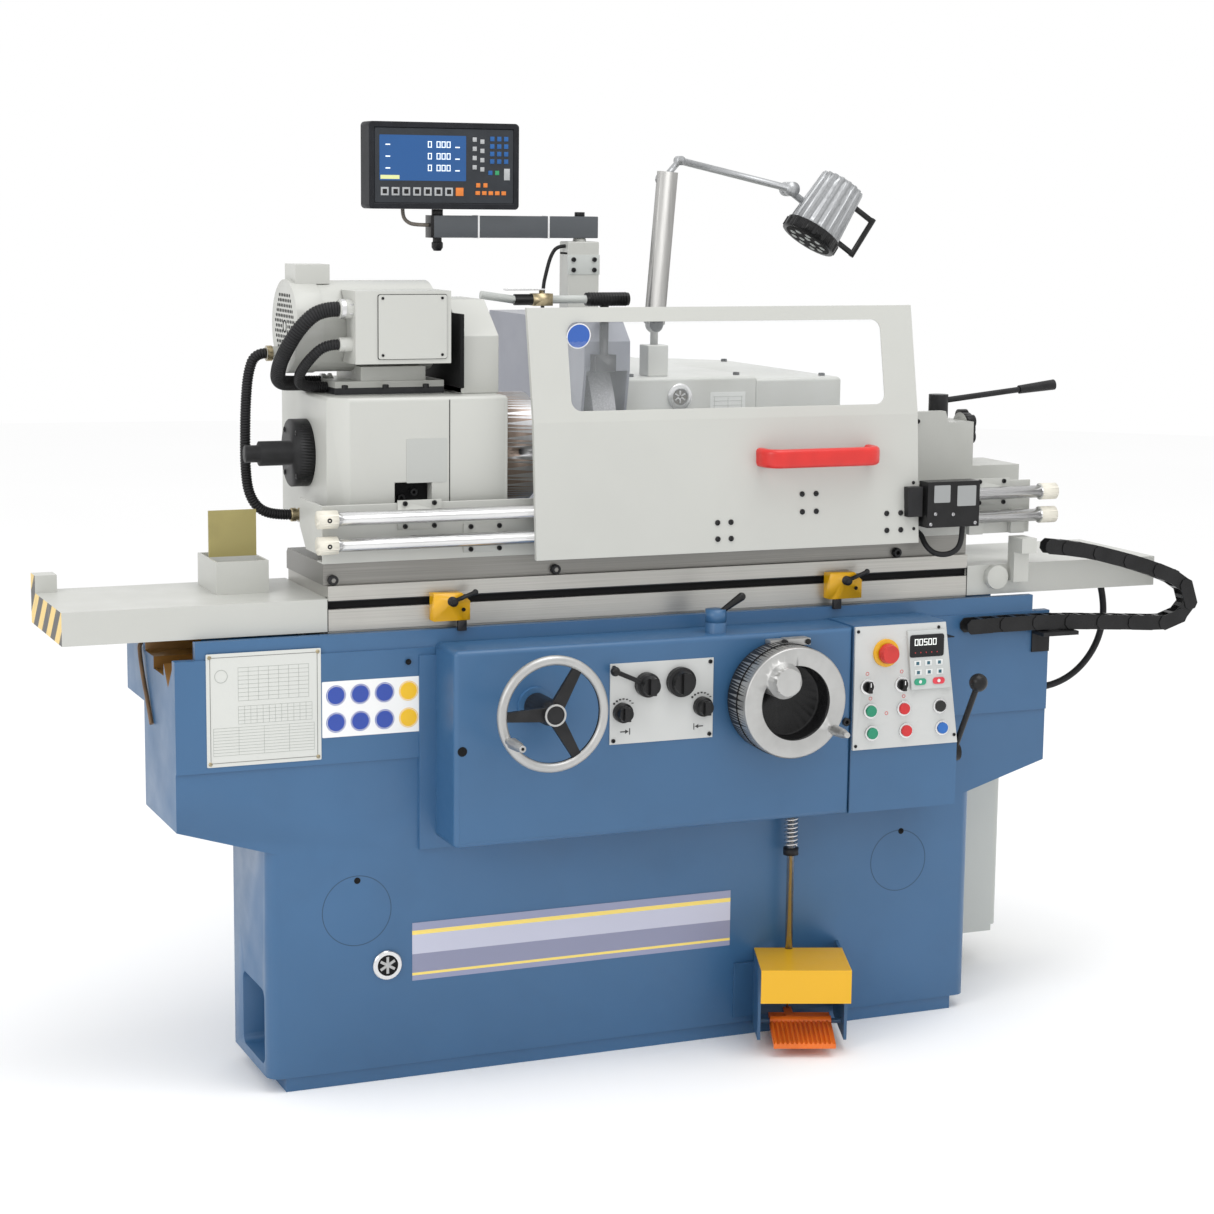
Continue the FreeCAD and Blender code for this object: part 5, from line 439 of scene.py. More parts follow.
def brass():
    """Brass of the coolant valve."""
    return once("valve_brass", ground, (0.48, 0.40, 0.25), 0.32, (2, 2, 2), contrast=0.25,
                metallic=0.9)


def anodised():
    """Anodised aluminium of the lamp arm."""
    return once("anodised_aluminium", ground, (0.47, 0.465, 0.45), 0.38, (5, 5, 0.08),
                contrast=0.10, metallic=0.6)


def silver():
    """Silver lacquer of the lamp and its tube."""
    return once("lamp_silver", ground, (0.46, 0.47, 0.48), 0.38, (3, 3, 3), contrast=0.08,
                metallic=0.7, bump=0.01)


def plastic(name, colour, rough=0.38, speck=0.3, bump=0.12):
    """Moulded plastic with a fine grain; the dark ones mirror less."""
    material, tree, shader, place = start_finish(name, colour, rough)
    if max(colour) < 0.05:
        shader.inputs["Specular IOR Level"].default_value = 0.28
    fine = grain(tree, place, 900, 2)
    tone = mix_colours(tree, spread(tree, grain(tree, place, 30, 3), 0, 1),
                       shade(colour, -speck / 2), shade(colour, speck))
    tree.links.new(tone, shader.inputs["Base Color"])
    tree.links.new(spread(tree, fine, rough - 0.05, rough + 0.08), shader.inputs["Roughness"])
    add_bump(tree, shader, fine, bump, distance=0.15 * MM)
    return material


def black_plastic():
    """Black moulded knobs and cases."""
    return once("black_moulding", plastic, colours().black, rough=0.30, speck=0.4, bump=0.06)


def black_steel():
    """Blackened steel of screws and levers."""
    return once("blackened_steel", plastic, (0.012, 0.012, 0.013), rough=0.42, speck=0.5, bump=0.2)


def dull_black():
    """Dull black of holes and slots."""
    return once("dull_black", plastic, (0.004, 0.004, 0.0045), rough=0.8, speck=0.2, bump=0.2)


def case_black():
    """Textured near-black case of the readout."""
    return once("case_black", plastic, (0.009, 0.010, 0.013), rough=0.55, speck=0.5, bump=0.4)


def soft_black(name="black_rubber", colour=(0.012, 0.012, 0.013)):
    """Rubber and ribbed conduit."""
    return once(name, plastic, colour, rough=0.50, speck=0.4, bump=0.3)


def key_colour(name, colour):
    """A small coloured key or lens."""
    return once(name, plastic, colour, rough=0.32, speck=0.12, bump=0.05)


def cream_plastic():
    """Cream caps at the ends of the guard rods."""
    return once("cream_caps", plastic, (0.72, 0.69, 0.60), rough=0.42, speck=0.08, bump=0.1)


def handle_plastic():
    """Red plastic of the guard's handle."""
    return once("handle_red", plastic, colours().handle, rough=0.30, speck=0.10, bump=0.05)


def grit(name):
    """Light and dark grains in a bond."""
    material, tree, shader, place = start_finish(name, (0.42, 0.42, 0.44), 0.85)
    grains = tree.nodes.new("ShaderNodeTexVoronoi")
    grains.inputs["Scale"].default_value = 420
    tree.links.new(place, grains.inputs["Vector"])
    height = grains.outputs["Distance"]
    tone = mix_colours(tree, height, (0.26, 0.26, 0.28), (0.56, 0.56, 0.58))
    tree.links.new(tone, shader.inputs["Base Color"])
    add_bump(tree, shader, height, 0.7, distance=0.5 * MM)
    return material


def abrasive():
    """Bonded grit of the grinding wheel."""
    return once("bonded_grit", grit)


def wiped_pane(name):
    """A clear pane with faint wipe marks."""
    material, tree, shader, place = start_finish(name, (0.86, 0.90, 0.92), 0.06)
    wipe = grain(tree, place, 14, 4, (1, 1, 0.4))
    tree.links.new(spread(tree, wipe, 0.04, 0.09), shader.inputs["Alpha"])
    tree.links.new(spread(tree, wipe, 0.04, 0.12), shader.inputs["Roughness"])
    material.surface_render_method = "BLENDED"
    return material


def clear_plastic():
    """Clear pane of the guard's window."""
    return once("clear_pane_plastic", wiped_pane)


def lit(name, colour, strength):
    """A face that gives off light."""
    material, tree, shader, place = start_finish(name, shade(colour, -0.5), 0.18)
    tone = mix_colours(tree, spread(tree, grain(tree, place, 8, 2), 0, 1), shade(colour, -0.08),
                       shade(colour, 0.06))
    tree.links.new(tone, shader.inputs["Emission Color"])
    shader.inputs["Emission Strength"].default_value = strength
    return material


def glow(name, colour, strength):
    """A lit screen or digit."""
    return once(name, lit, colour, strength)


def reckon(tree, operation, first, second=None):
    """One step of arithmetic on a socket, with another socket or a number."""
    step = tree.nodes.new("ShaderNodeMath")
    step.operation = operation
    tree.links.new(first, step.inputs[0])
    if isinstance(second, bpy.types.NodeSocket):
        tree.links.new(second, step.inputs[1])
    elif second is not None:
        step.inputs[1].default_value = second
    return step.outputs["Value"]


def slanting_bands(name):
    """Worn black and yellow bands that slant over a face."""
    material, tree, shader, place = start_finish(name, (0.8, 0.5, 0.02), 0.4)
    split = tree.nodes.new("ShaderNodeSeparateXYZ")
    tree.links.new(place, split.inputs["Vector"])
    slope = reckon(tree, "ADD", split.outputs["Y"], split.outputs["Z"])
    part = reckon(tree, "FRACT", reckon(tree, "MULTIPLY", slope, 1 / BAND_PITCH))
    dark = reckon(tree, "GREATER_THAN", part, 0.5)
    worn = spread(tree, grain(tree, place, 40, 4), 0, 0.35, 0.55, 0.75)
    tone = mix_colours(tree, dark, (0.78, 0.55, 0.16), (0.035, 0.032, 0.030))
    tone = mix_colours(tree, worn, tone, (0.35, 0.28, 0.16))
    tree.links.new(tone, shader.inputs["Base Color"])
    add_bump(tree, shader, grain(tree, place, 300, 2), 0.1)
    return material


def stripes_paint():
    """Black and yellow bands at the end of the left cover."""
    return once("hazard_bands", slanting_bands)


# Mesh tools

SEAM = 0.002 * MM


def turned_to(axis):
    """The turn that brings the Z axis onto an axis."""
    axis = Vector(axis).normalized()
    if axis.z < -0.9999:
        return Matrix.Rotation(math.pi, 3, "X")
    return Vector((0, 0, 1)).rotation_difference(axis).to_matrix()


def join_rings(mesh, first, second, finish=0):
    """Faces between two rings of equally many points."""
    for step in range(len(first)):
        after = (step + 1) % len(first)
        mesh.faces.new([first[step], first[after], second[after],
                        second[step]]).material_index = finish


def add_turned(mesh, start, axis, line, finish=0, steps=32):
    """Turn a line of (distance along the axis, radius), in millimetres, about the axis."""
    turn = turned_to(axis)
    rings = []
    for along, radius in line:
        if radius <= 0:
            ring = [mesh.verts.new((Vector(start) + turn @ Vector((0, 0, along))) * MM)]
        else:
            ring = []
            for step in range(steps):
                angle = 2 * math.pi * step / steps
                spot = Vector((radius * math.cos(angle), radius * math.sin(angle), along))
                ring.append(mesh.verts.new((Vector(start) + turn @ spot) * MM))
        rings.append(ring)
    for low, high in zip(rings, rings[1:]):
        for step in range(steps):
            after = (step + 1) % steps
            corners = [low[step % len(low)], low[after % len(low)],
                       high[after % len(high)], high[step % len(high)]]
            distinct = list(dict.fromkeys(corners))
            if len(distinct) > 2:
                mesh.faces.new(distinct).material_index = finish
    return rings


def add_rod(mesh, start, axis, radius, length, finish=0, edge=0.5, steps=32):
    """A rod with rounded rims."""
    edge = min(edge, radius / 2, length / 2)
    near, far = edge * 0.3, length - edge * 0.3
    line = [(0, 0), (0, radius - edge), (near, radius - near), (edge, radius),
            (length - edge, radius), (far, radius - near), (length, radius - edge), (length, 0)]
    add_turned(mesh, start, axis, line, finish=finish, steps=steps)


def add_disc(mesh, start, axis, radius, low, high, finish=0, steps=40):
    """A flat disc between two heights along the axis."""
    add_turned(mesh, start, axis, [(low, 0), (low, radius), (high, radius), (high, 0)],
               finish=finish, steps=steps)


def add_block(mesh, low, high, finish=0, edge=0, turn=None, about=None):
    """A block between two corners in millimetres, its edges rounded, turned about a point."""
    spots = bmesh.ops.create_cube(mesh, size=1)["verts"]
    size = Vector(high) - Vector(low)
    middle = (Vector(high) + Vector(low)) / 2
    for spot in spots:
        spot.co = (Vector(map(mul, spot.co, size)) + middle) * MM
    for face in {face for spot in spots for face in spot.link_faces}:
        face.material_index = finish
    if edge:
        edges = list({line for spot in spots for line in spot.link_edges})
        result = bmesh.ops.bevel(mesh, geom=edges, offset=min(edge, min(size) * 0.45) * MM,
                                 segments=2, profile=0.6, affect="EDGES", clamp_overlap=True)
        for face in result["faces"]:
            face.material_index = finish
        spots = {spot for face in result["faces"] for spot in face.verts}
    if turn is not None:
        pivot = Vector(about) * MM
        for spot in spots:
            spot.co = pivot + turn @ (spot.co - pivot)


def add_mark(mesh, low, high, face, proud, finish=0):
    """A flat mark on a face that looks to the front."""
    add_block(mesh, (low[0], face - proud, low[1]), (high[0], face, high[1]), finish=finish)


def add_plate(mesh, line, low, high, axis="Y", finish=0):
    """A flat plate: a closed line in the two other axes, between two heights along the axis."""
    order = {"X": lambda a, b, c: (c, a, b), "Y": lambda a, b, c: (a, c, b),
             "Z": lambda a, b, c: (a, b, c)}[axis]
    first = [mesh.verts.new(mm(*order(a, b, low))) for a, b in line]
    second = [mesh.verts.new(mm(*order(a, b, high))) for a, b in line]
    mesh.faces.new(first).material_index = finish
    mesh.faces.new(list(reversed(second))).material_index = finish
    join_rings(mesh, second, first, finish=finish)


def add_card(mesh, low, high, radius, face, proud, finish=0):
    """A flat plate with round corners on a face that looks to the front."""
    add_plate(mesh, rounded_line(low, high, radius), face - proud, face, finish=finish)


def rounded_line(low, high, radius, steps=5):
    """A rectangle's line with round corners."""
    line = []
    corners = [(high[0] - radius, high[1] - radius, 0), (low[0] + radius, high[1] - radius, 90),
               (low[0] + radius, low[1] + radius, 180), (high[0] - radius, low[1] + radius, 270)]
    for across, up, start in corners:
        for step in range(steps + 1):
            angle = math.radians(start + 90 * step / steps)
            line.append((across + radius * math.cos(angle), up + radius * math.sin(angle)))
    return line


def circle_line(across, up, radius, steps=32):
    """A circle's line."""
    return [(across + radius * math.cos(2 * math.pi * step / steps),
             up + radius * math.sin(2 * math.pi * step / steps)) for step in range(steps)]


def add_ring(mesh, centre, axis, inner, outer, height, finish=0, steps=48):
    """A flat raised ring."""
    line = [(0, outer), (height, outer), (height, inner), (0, inner), (0, outer)]
    return add_turned(mesh, centre, axis, line, finish=finish, steps=steps)


def add_cap_screw(mesh, place, axis, radius, height, finish=0, socket=1):
    """A cap screw with a sunk six-sided socket."""
    turn, steps = turned_to(axis), 20
    line = [(-0.5, 0), (-0.5, radius), (height * 0.8, radius), (height, radius * 0.86)]
    rim = add_turned(mesh, place, axis, line + [(height, radius * 0.56)], finish=finish,
                     steps=steps)[-1]
    mouth, floor = [], []
    for step in range(6):
        angle = math.pi * step / 3
        spot = Vector((radius * 0.5 * math.cos(angle), radius * 0.5 * math.sin(angle), height))
        mouth.append(mesh.verts.new((Vector(place) + turn @ spot) * MM))
        spot.z = height * 0.35
        floor.append(mesh.verts.new((Vector(place) + turn @ spot) * MM))
    join_rings(mesh, mouth, floor, finish=socket)
    mesh.faces.new(floor).material_index = socket
    for step in range(steps):
        after = (step + 1) % steps
        near = mouth[round(step * 6 / steps) % 6]
        far = mouth[round(after * 6 / steps) % 6]
        corners = [rim[step], rim[after], far] + ([near] if near is not far else [])
        mesh.faces.new(corners).material_index = finish


def add_slot_screw(mesh, place, axis, radius, height, finish=0, slot=1, angle=30):
    """A round-headed screw with a straight slot."""
    line = [(-0.5, 0), (-0.5, radius), (height * 0.4, radius), (height * 0.8, radius * 0.8),
            (height, radius * 0.4), (height, 0)]
    add_turned(mesh, place, axis, line, finish=finish, steps=16)
    turn = turned_to(axis) @ Matrix.Rotation(math.radians(angle), 3, "Z")
    low = Vector(place) + Vector((-radius * 0.8, -radius * 0.11, height * 0.7))
    high = Vector(place) + Vector((radius * 0.8, radius * 0.11, height + 0.15))
    add_block(mesh, low, high, finish=slot, turn=turn, about=place)


def add_tube(mesh, points, radii, steps=14):
    """A closed tube along points in metres, with a radius for each of them."""
    rings = []
    side = None
    for number, point in enumerate(points):
        before = points[max(number - 1, 0)]
        after = points[min(number + 1, len(points) - 1)]
        along = (after - before).normalized()
        if side is None:
            helper = Vector(UP) if abs(along.z) < 0.9 else Vector(RIGHT)
            side = along.cross(helper).normalized()
        side = (side - along * side.dot(along)).normalized()
        other = along.cross(side)
        ring = []
        for step in range(steps):
            angle = 2 * math.pi * step / steps
            out = side * math.cos(angle) + other * math.sin(angle)
            ring.append(mesh.verts.new(point + out * radii[number]))
        rings.append(ring)
    close_tube(mesh, rings)


def close_tube(mesh, rings):
    """Faces along a row of rings, and over both ends."""
    for first, second in zip(rings, rings[1:]):
        join_rings(mesh, first, second)
    mesh.faces.new(list(reversed(rings[0])))
    mesh.faces.new(rings[-1])


def place_piece(name, mesh, finishes, body, sharp=35):
    """Turn a mesh into a piece that rides on a body."""
    bmesh.ops.recalc_face_normals(mesh, faces=mesh.faces)
    data = bpy.data.meshes.new(name)
    mesh.to_mesh(data)
    mesh.free()
    for finish in finishes:
        data.materials.append(finish)
    for face in data.polygons:
        face.use_smooth = True
    data.set_sharp_from_angle(angle=math.radians(sharp))
    piece = bpy.data.objects.new(name, data)
    bpy.context.scene.collection.objects.link(piece)
    if body:
        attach(piece, body)
    return piece


def place_screws(name, mesh, body):
    """Place black screws with dark sockets on a body."""
    place_piece(name, mesh, [black_steel(), dull_black()], body)


def dress(node, finish, edge=0.0):
    """Give a CAD part its finish, and round its edges by modifiers."""
    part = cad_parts[node]
    for place in part.material_slots:
        place.material = finish
    if edge:
        weld = part.modifiers.new("weld_seams", "WELD")
        weld.merge_threshold = SEAM
        round_edges(part, edge)


def round_edges(piece, width, angle=30):
    """Round a piece's edges by modifiers."""
    flat = piece.modifiers.new("flat_faces", "DECIMATE")
    flat.decimate_type = "DISSOLVE"
    flat.angle_limit = math.radians(0.4)
    flat.delimit = {"MATERIAL"}
    bevel = piece.modifiers.new("round_edges", "BEVEL")
    bevel.limit_method = "ANGLE"
    bevel.angle_limit = math.radians(angle)
    bevel.width = width
    bevel.segments = 2
    bevel.harden_normals = True
    bevel.use_clamp_overlap = True


def even_faces(piece):
    """Shade flat faces flat where small rounded ones meet them."""
    even = piece.modifiers.new("even_faces", "WEIGHTED_NORMAL")
    even.keep_sharp = True
    even.weight = 80


def copy_of(node, name, finishes, choose, body, sharp=35, cuts=(), drop=None):
    """A copy of a CAD part whose faces take different finishes, which stands for the part."""
    mesh = bmesh.new()
    mesh.from_mesh(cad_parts[node].data)
    bmesh.ops.remove_doubles(mesh, verts=mesh.verts, dist=SEAM)
    for place, normal in cuts:
        every = mesh.verts[:] + mesh.edges[:] + mesh.faces[:]
        bmesh.ops.bisect_plane(mesh, geom=every, dist=SEAM / 20, plane_co=mm(*place),
                               plane_no=normal)
    gone = []
    for face in mesh.faces:
        centre = face.calc_center_median() / MM
        if drop and drop(centre):
            gone.append(face)
        face.material_index = choose(centre, face.normal)
    bmesh.ops.delete(mesh, geom=gone, context="FACES")
    piece = place_piece(name, mesh, finishes, body, sharp=sharp)
    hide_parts(node)
    return piece


def off_axis(centre, across, height, axes=(0, 2)):
    """How far a place lies from an axis."""
    return math.hypot(centre[axes[0]] - across, centre[axes[1]] - height)


# Camera and studio

def build_camera():
    """The camera at the photograph's viewing angle."""
    yaw, pitch = math.radians(CAMERA_YAW), math.radians(CAMERA_PITCH)
    roll = math.radians(CAMERA_ROLL)
    ahead = Vector((math.sin(yaw) * math.cos(pitch), math.cos(yaw) * math.cos(pitch),
                    -math.sin(pitch)))
    side = Vector((math.cos(yaw), -math.sin(yaw), 0))
    above = side.cross(ahead)
    right = side * math.cos(roll) + above * math.sin(roll)
    top = above * math.cos(roll) - side * math.sin(roll)
    data = bpy.data.cameras.new("studio_camera")
    data.lens = CAMERA_LENS
    data.sensor_width = 36
    data.sensor_fit = "HORIZONTAL"
    data.clip_end = 60
    camera = bpy.data.objects.new("studio_camera", data)
    turn = Matrix((right, top, -ahead)).transposed()
    camera.matrix_world = Matrix.Translation(CAMERA_PLACE) @ turn.to_4x4()
    bpy.context.scene.collection.objects.link(camera)
    bpy.context.scene.camera = camera


def add_light(name, place, target, size, power):
    """A square soft light aimed at a point."""
    data = bpy.data.lights.new(name, "AREA")
    data.size = size
    data.energy = power
    light = bpy.data.objects.new(name, data)
    aim = (Vector(target) - Vector(place)).to_track_quat("-Z", "Y").to_matrix().to_4x4()
    light.matrix_world = Matrix.Translation(place) @ aim
    bpy.context.scene.collection.objects.link(light)


def build_stage():
    """The pale floor, the room's even light and the soft lights."""
    studio = bpy.context.scene.grinder_studio
    world = bpy.data.worlds.new("studio_room")
    world.use_nodes = True
    back = world.node_tree.nodes["Background"]
    back.inputs["Color"].default_value = (1, 1, 1, 1)
    back.inputs["Strength"].default_value = studio.room
    bpy.context.scene.world = world
    mesh = bmesh.new()
    add_plate(mesh, circle_line(0, 0, 14000, 96), -1.5, 0, axis="Z")
    floor = place_piece("studio_floor", mesh, [floor_finish()], None)
    floor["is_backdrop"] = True
    add_light("key_light", (-5.2, -2.6, 3.4), (-0.3, 0, 0.9), 2.6, studio.key)
    add_light("top_light", (0.6, -1.2, 4.8), (0.1, 0.1, 0.9), 2.8, studio.top)
    bpy.context.scene.view_settings.view_transform = "Standard"


def floor_finish():
    """Pale paper of the studio floor."""
    material, tree, shader, place = start_finish("studio_paper", (0.97, 0.97, 0.97), 0.8)
    tone = mix_colours(tree, spread(tree, grain(tree, place, 0.6, 3), 0, 1), (0.965, 0.965, 0.965),
                       (0.975, 0.975, 0.975))
    tree.links.new(tone, shader.inputs["Base Color"])
    shader.inputs["Specular IOR Level"].default_value = 0.0
    return material


# Cords

def cord_curve(name, route):
    """A smooth NURBS curve along a route, without thickness."""
    data = bpy.data.curves.new(name, "CURVE")
    data.dimensions = "3D"
    data.resolution_u = 24
    line = data.splines.new("NURBS")
    line.points.add(len(route) - 1)
    for point, place in zip(line.points, route):
        point.co = (*mm(*place), 1)
    line.order_u = 3
    line.use_endpoint_u = True
    curve = bpy.data.objects.new(name, data)
    bpy.context.scene.collection.objects.link(curve)
    return curve


def route_points(name, route):
    """Points along a route, read from its smooth curve."""
    curve = cord_curve(name + "_route", route)
    bpy.context.view_layer.update()
    line = bpy.data.meshes.new_from_object(curve)
    points = [spot.co.copy() for spot in line.vertices]
    bpy.data.meshes.remove(line)
    data = curve.data
    bpy.data.objects.remove(curve)
    bpy.data.curves.remove(data)
    return points


def evenly(points, step):
    """The same line in even steps, with the distance of each point."""
    gone = [0.0]
    for before, after in zip(points, points[1:]):
        gone.append(gone[-1] + (after - before).length)
    count = max(2, round(gone[-1] / step))
    result, place = [], 0
    for number in range(count + 1):
        wanted = gone[-1] * number / count
        while place < len(gone) - 2 and gone[place + 1] < wanted:
            place += 1
        stretch = gone[place + 1] - gone[place]
        share = (wanted - gone[place]) / stretch if stretch else 0
        result.append(points[place].lerp(points[place + 1], min(1, share)))
    return result, gone[-1]


def add_cord(name, route, radius, finish, body):
    """A plain round cord as a curve with thickness."""
    curve = cord_curve(name, route)
    curve.data.bevel_depth = radius * MM
    curve.data.bevel_resolution = 5
    curve.data.use_fill_caps = True
    curve.data.materials.append(finish)
    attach(curve, body)
    length = evenly(route_points(name, route), 2 * MM)[1]
    return curve


def add_conduit(name, route, radius, body):
    """A ribbed conduit: a tube whose radius rises and falls along its route."""
    pitch, depth = sizes().rib_pitch, sizes().rib_depth
    steps_a_rib = 5
    points, length = evenly(route_points(name, route), pitch / steps_a_rib)
    profile = (0.0, 0.75, 1.0, 1.0, 0.75)
    radii = [radius * MM - depth + depth * profile[number % steps_a_rib]
             for number in range(len(points))]
    mesh = bmesh.new()
    add_tube(mesh, points, radii, steps=20)
    piece = place_piece(name, mesh, [soft_black("conduit_black")], body, sharp=60)
    return piece


def add_gland(mesh, place, axis, radius, length):
    """A six-sided conduit gland with its lock nut."""
    add_turned(mesh, place, axis, [(0, 0), (0, radius * 1.28), (length * 0.28, radius * 1.28),
                                   (length * 0.34, radius * 1.15)], steps=6)
    add_turned(mesh, place, axis, [(length * 0.3, radius * 1.1), (length * 0.55, radius * 1.1),
                                   (length * 0.58, radius * 1.3), (length * 0.92, radius * 1.3),
                                   (length, radius * 1.12), (length, 0)], steps=24)


def build_conduits():
    """The three ribbed conduits of the workhead motor and their glands."""
    large = add_conduit("large_conduit", LARGE_CONDUIT, 14, "workhead")
    small = add_conduit("small_conduit", SMALL_CONDUIT, 10, "workhead")
    side = add_conduit("side_conduit", SIDE_CONDUIT, 10, "workhead")
    for piece in (large, small, side):
        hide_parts("workhead_conduits")
    mesh = bmesh.new()
    for route, radius in ((LARGE_CONDUIT, 14), (SMALL_CONDUIT, 10)):
        for end in (route[0], route[-1]):
            add_gland(mesh, (end[0] + 24, *end[1:]), LEFT, radius, 23)
    place_piece("conduit_glands", mesh, [chrome()], "workhead", sharp=30)
    mesh = bmesh.new()
    first, last = SIDE_CONDUIT[0], SIDE_CONDUIT[-1]
    add_turned(mesh, (first[0] + 38, *first[1:]), LEFT,
               [(0, 0), (0, 15), (12, 15), (13, 12.5), (26, 12.5), (27, 14.5), (37, 14.5), (38, 10),
                (38, 0)], steps=24)
    add_gland(mesh, (last[0] + 1, *last[1:]), LEFT, 10, 23)
    place_piece("side_conduit_glands", mesh, [brass()], "workhead", sharp=30)


def build_small_cords():
    """The interlock cable, the readout's lead and cable, and the brown tube."""
    cable = add_cord("switch_cable", SWITCH_CABLE, 5.5, soft_black(), "swivel")
    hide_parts("interlock_cable")
    add_cord("readout_lead", READOUT_LEAD, 4, soft_black("lead_grey", (0.16, 0.14, 0.12)),
             "readout_arm")
    cable = add_cord("post_cable", POST_CABLE, 4, soft_black(), "wheelhead")
    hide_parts("display_cable")
    add_cord("brown_tube", BROWN_TUBE, 4, soft_black("tube_brown", (0.15, 0.085, 0.04)), "base")


def build_hose():
    """The black hose between the bed and the table."""
    points, length = evenly(route_points("black_hose", BLACK_HOSE), 5 * MM)
    mesh = bmesh.new()
    add_tube(mesh, points, [7 * MM] * len(points), steps=20)
    hose = place_piece("black_hose", mesh, [soft_black()], None, sharp=60)
    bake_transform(hose)
    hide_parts("service_hoses")


# Bed and apron

def build_bed():
    """The bed casting, with the brown ways that show in its left end."""
    def choose(centre, normal):
        inside = (centre.x < TROUGH_END and abs(centre.y) < TROUGH_HALF
                  and centre.z > TROUGH_FLOOR)
        return 1 if inside and abs(normal.x) < 0.9 else 0
    body = copy_of("bed_casting", "bed_body", [bed_paint(), trough_paint()], choose, "base",
                   sharp=30, cuts=[((TROUGH_END, 0, 0), RIGHT)])
    round_edges(body, sizes().casting_edge)


def add_chart(mesh, face, low, high, rows, columns):
    """The thin lines of a printed chart."""
    for row in range(rows + 1):
        up = low[1] + (high[1] - low[1]) * row / rows
        add_mark(mesh, (low[0], up - 0.35), (high[0], up + 0.35), face, 1.4, finish=2)
    for column in range(columns + 1):
        across = low[0] + (high[0] - low[0]) * column / columns
        add_mark(mesh, (across - 0.3, low[1]), (across + 0.3, high[1]), face, 1.4, finish=2)


def build_chart_plate():
    """The aluminium chart plate: frame, chart lines and corner screws, with no words."""
    face = BED_FACE - 4
    low, high = (-844, 624), (-633, 829)
    left, right, bottom, top = low[0] + 7, high[0] - 7, low[1] + 7, high[1] - 7
    mesh = bmesh.new()
    add_card(mesh, low, high, 2, face, 1.2)
    for across in (left, right):
        add_mark(mesh, (across - 0.5, bottom), (across + 0.5, top), face, 1.5, finish=1)
    for up in (bottom, top):
        add_mark(mesh, (left, up - 0.5), (right, up + 0.5), face, 1.5, finish=1)
    add_chart(mesh, face, (-786, 742), (-656, 802), 8, 7)
    add_chart(mesh, face, (-786, 700), (-650, 732), 5, 12)
    add_chart(mesh, face, (-832, 644), (-646, 694), 9, 4)
    add_ring(mesh, (-817, face - 1.1, 788), FRONT, 11, 12, 0.4, finish=2)
    for across, up in product((low[0] + 6, high[0] - 6), (low[1] + 6, high[1] - 6)):
        add_slot_screw(mesh, (across, face - 1.2, up), FRONT, 3.6, 1.8, finish=3)
    finishes = [plate_paint("chart_aluminium", (0.60, 0.61, 0.58)),
                flat_print("chart_dark", (0.16, 0.16, 0.15)), chart_print(), brass()]
    place_piece("chart_plate", mesh, finishes, "base")


def chart_print():
    """Grey print of the chart lines."""
    return flat_print("chart_lines", (0.36, 0.38, 0.35))


def build_sign_plate():
    """The white plate with six plain blue discs and two plain yellow ones."""
    face = BED_FACE - 4
    mesh = bmesh.new()
    add_card(mesh, (-631, 663), (-437, 766), 2, face, 0.8)
    for column, up in product(range(4), (740, 690)):
        across = -605 + 46 * column
        finish = 2 if column == 3 else 1
        add_plate(mesh, circle_line(across, up, 18.5), face - 1.2, face, finish=finish)
        add_ring(mesh, (across, face - 1.1, up), FRONT, 16.4, 17.2, 0.3, steps=32)
    finishes = [plate_paint("sign_white", (0.83, 0.83, 0.82)),
                flat_print("disc_blue", (0.02, 0.06, 0.35)),
                flat_print("disc_yellow", (0.85, 0.50, 0.01))]
    place_piece("sign_plate", mesh, finishes, "base")


def build_stripe():
    """The decorative stripe, its bands plain."""
    left, right, face = -459, 196, BED_FACE - 0.2
    finishes = [flat_print("band_light", (0.50, 0.51, 0.62)),
                flat_print("band_grey", (0.24, 0.25, 0.36)),
                flat_print("band_yellow", (0.86, 0.66, 0.16)),
                flat_print("band_dull", (0.27, 0.29, 0.42))]
    heights = (188, 198, 203, 239, 276, 284, 299)
    mesh = bmesh.new()
    for low, high, finish in zip(heights, heights[1:], (3, 2, 1, 0, 2, 3)):
        line = [(left, low), (right, low), (right, high), (left, high)]
        add_plate(mesh, line, face - 0.5, face, finish=finish)
    place_piece("front_stripe", mesh, finishes, "base")


def build_sight_glass():
    """The oil sight glass: round rim, dark glass and a star behind it."""
    across, up = -508, 224
    place = (across, BED_FACE, up)
    mesh = bmesh.new()
    add_turned(mesh, place, FRONT, [(-1, 28), (4, 28), (5.5, 26.5), (5.5, 20), (2, 20), (2, 0)],
               steps=40)
    add_disc(mesh, place, FRONT, 19.6, 2.1, 3.2, finish=1)
    for number in range(6):
        turn = Matrix.Rotation(math.radians(60 * number), 3, "Y")
        add_block(mesh, (across - 2.6, BED_FACE - 4.4, up + 2),
                  (across + 2.6, BED_FACE - 3, up + 16), finish=2, edge=0.4, turn=turn, about=place)
    add_turned(mesh, place, FRONT, [(3, 0), (3, 6), (4.8, 5), (4.8, 0)], finish=2, steps=24)
    place_piece("oil_sight_glass", mesh, [chrome(), dull_black(), satin_chrome()], "base")


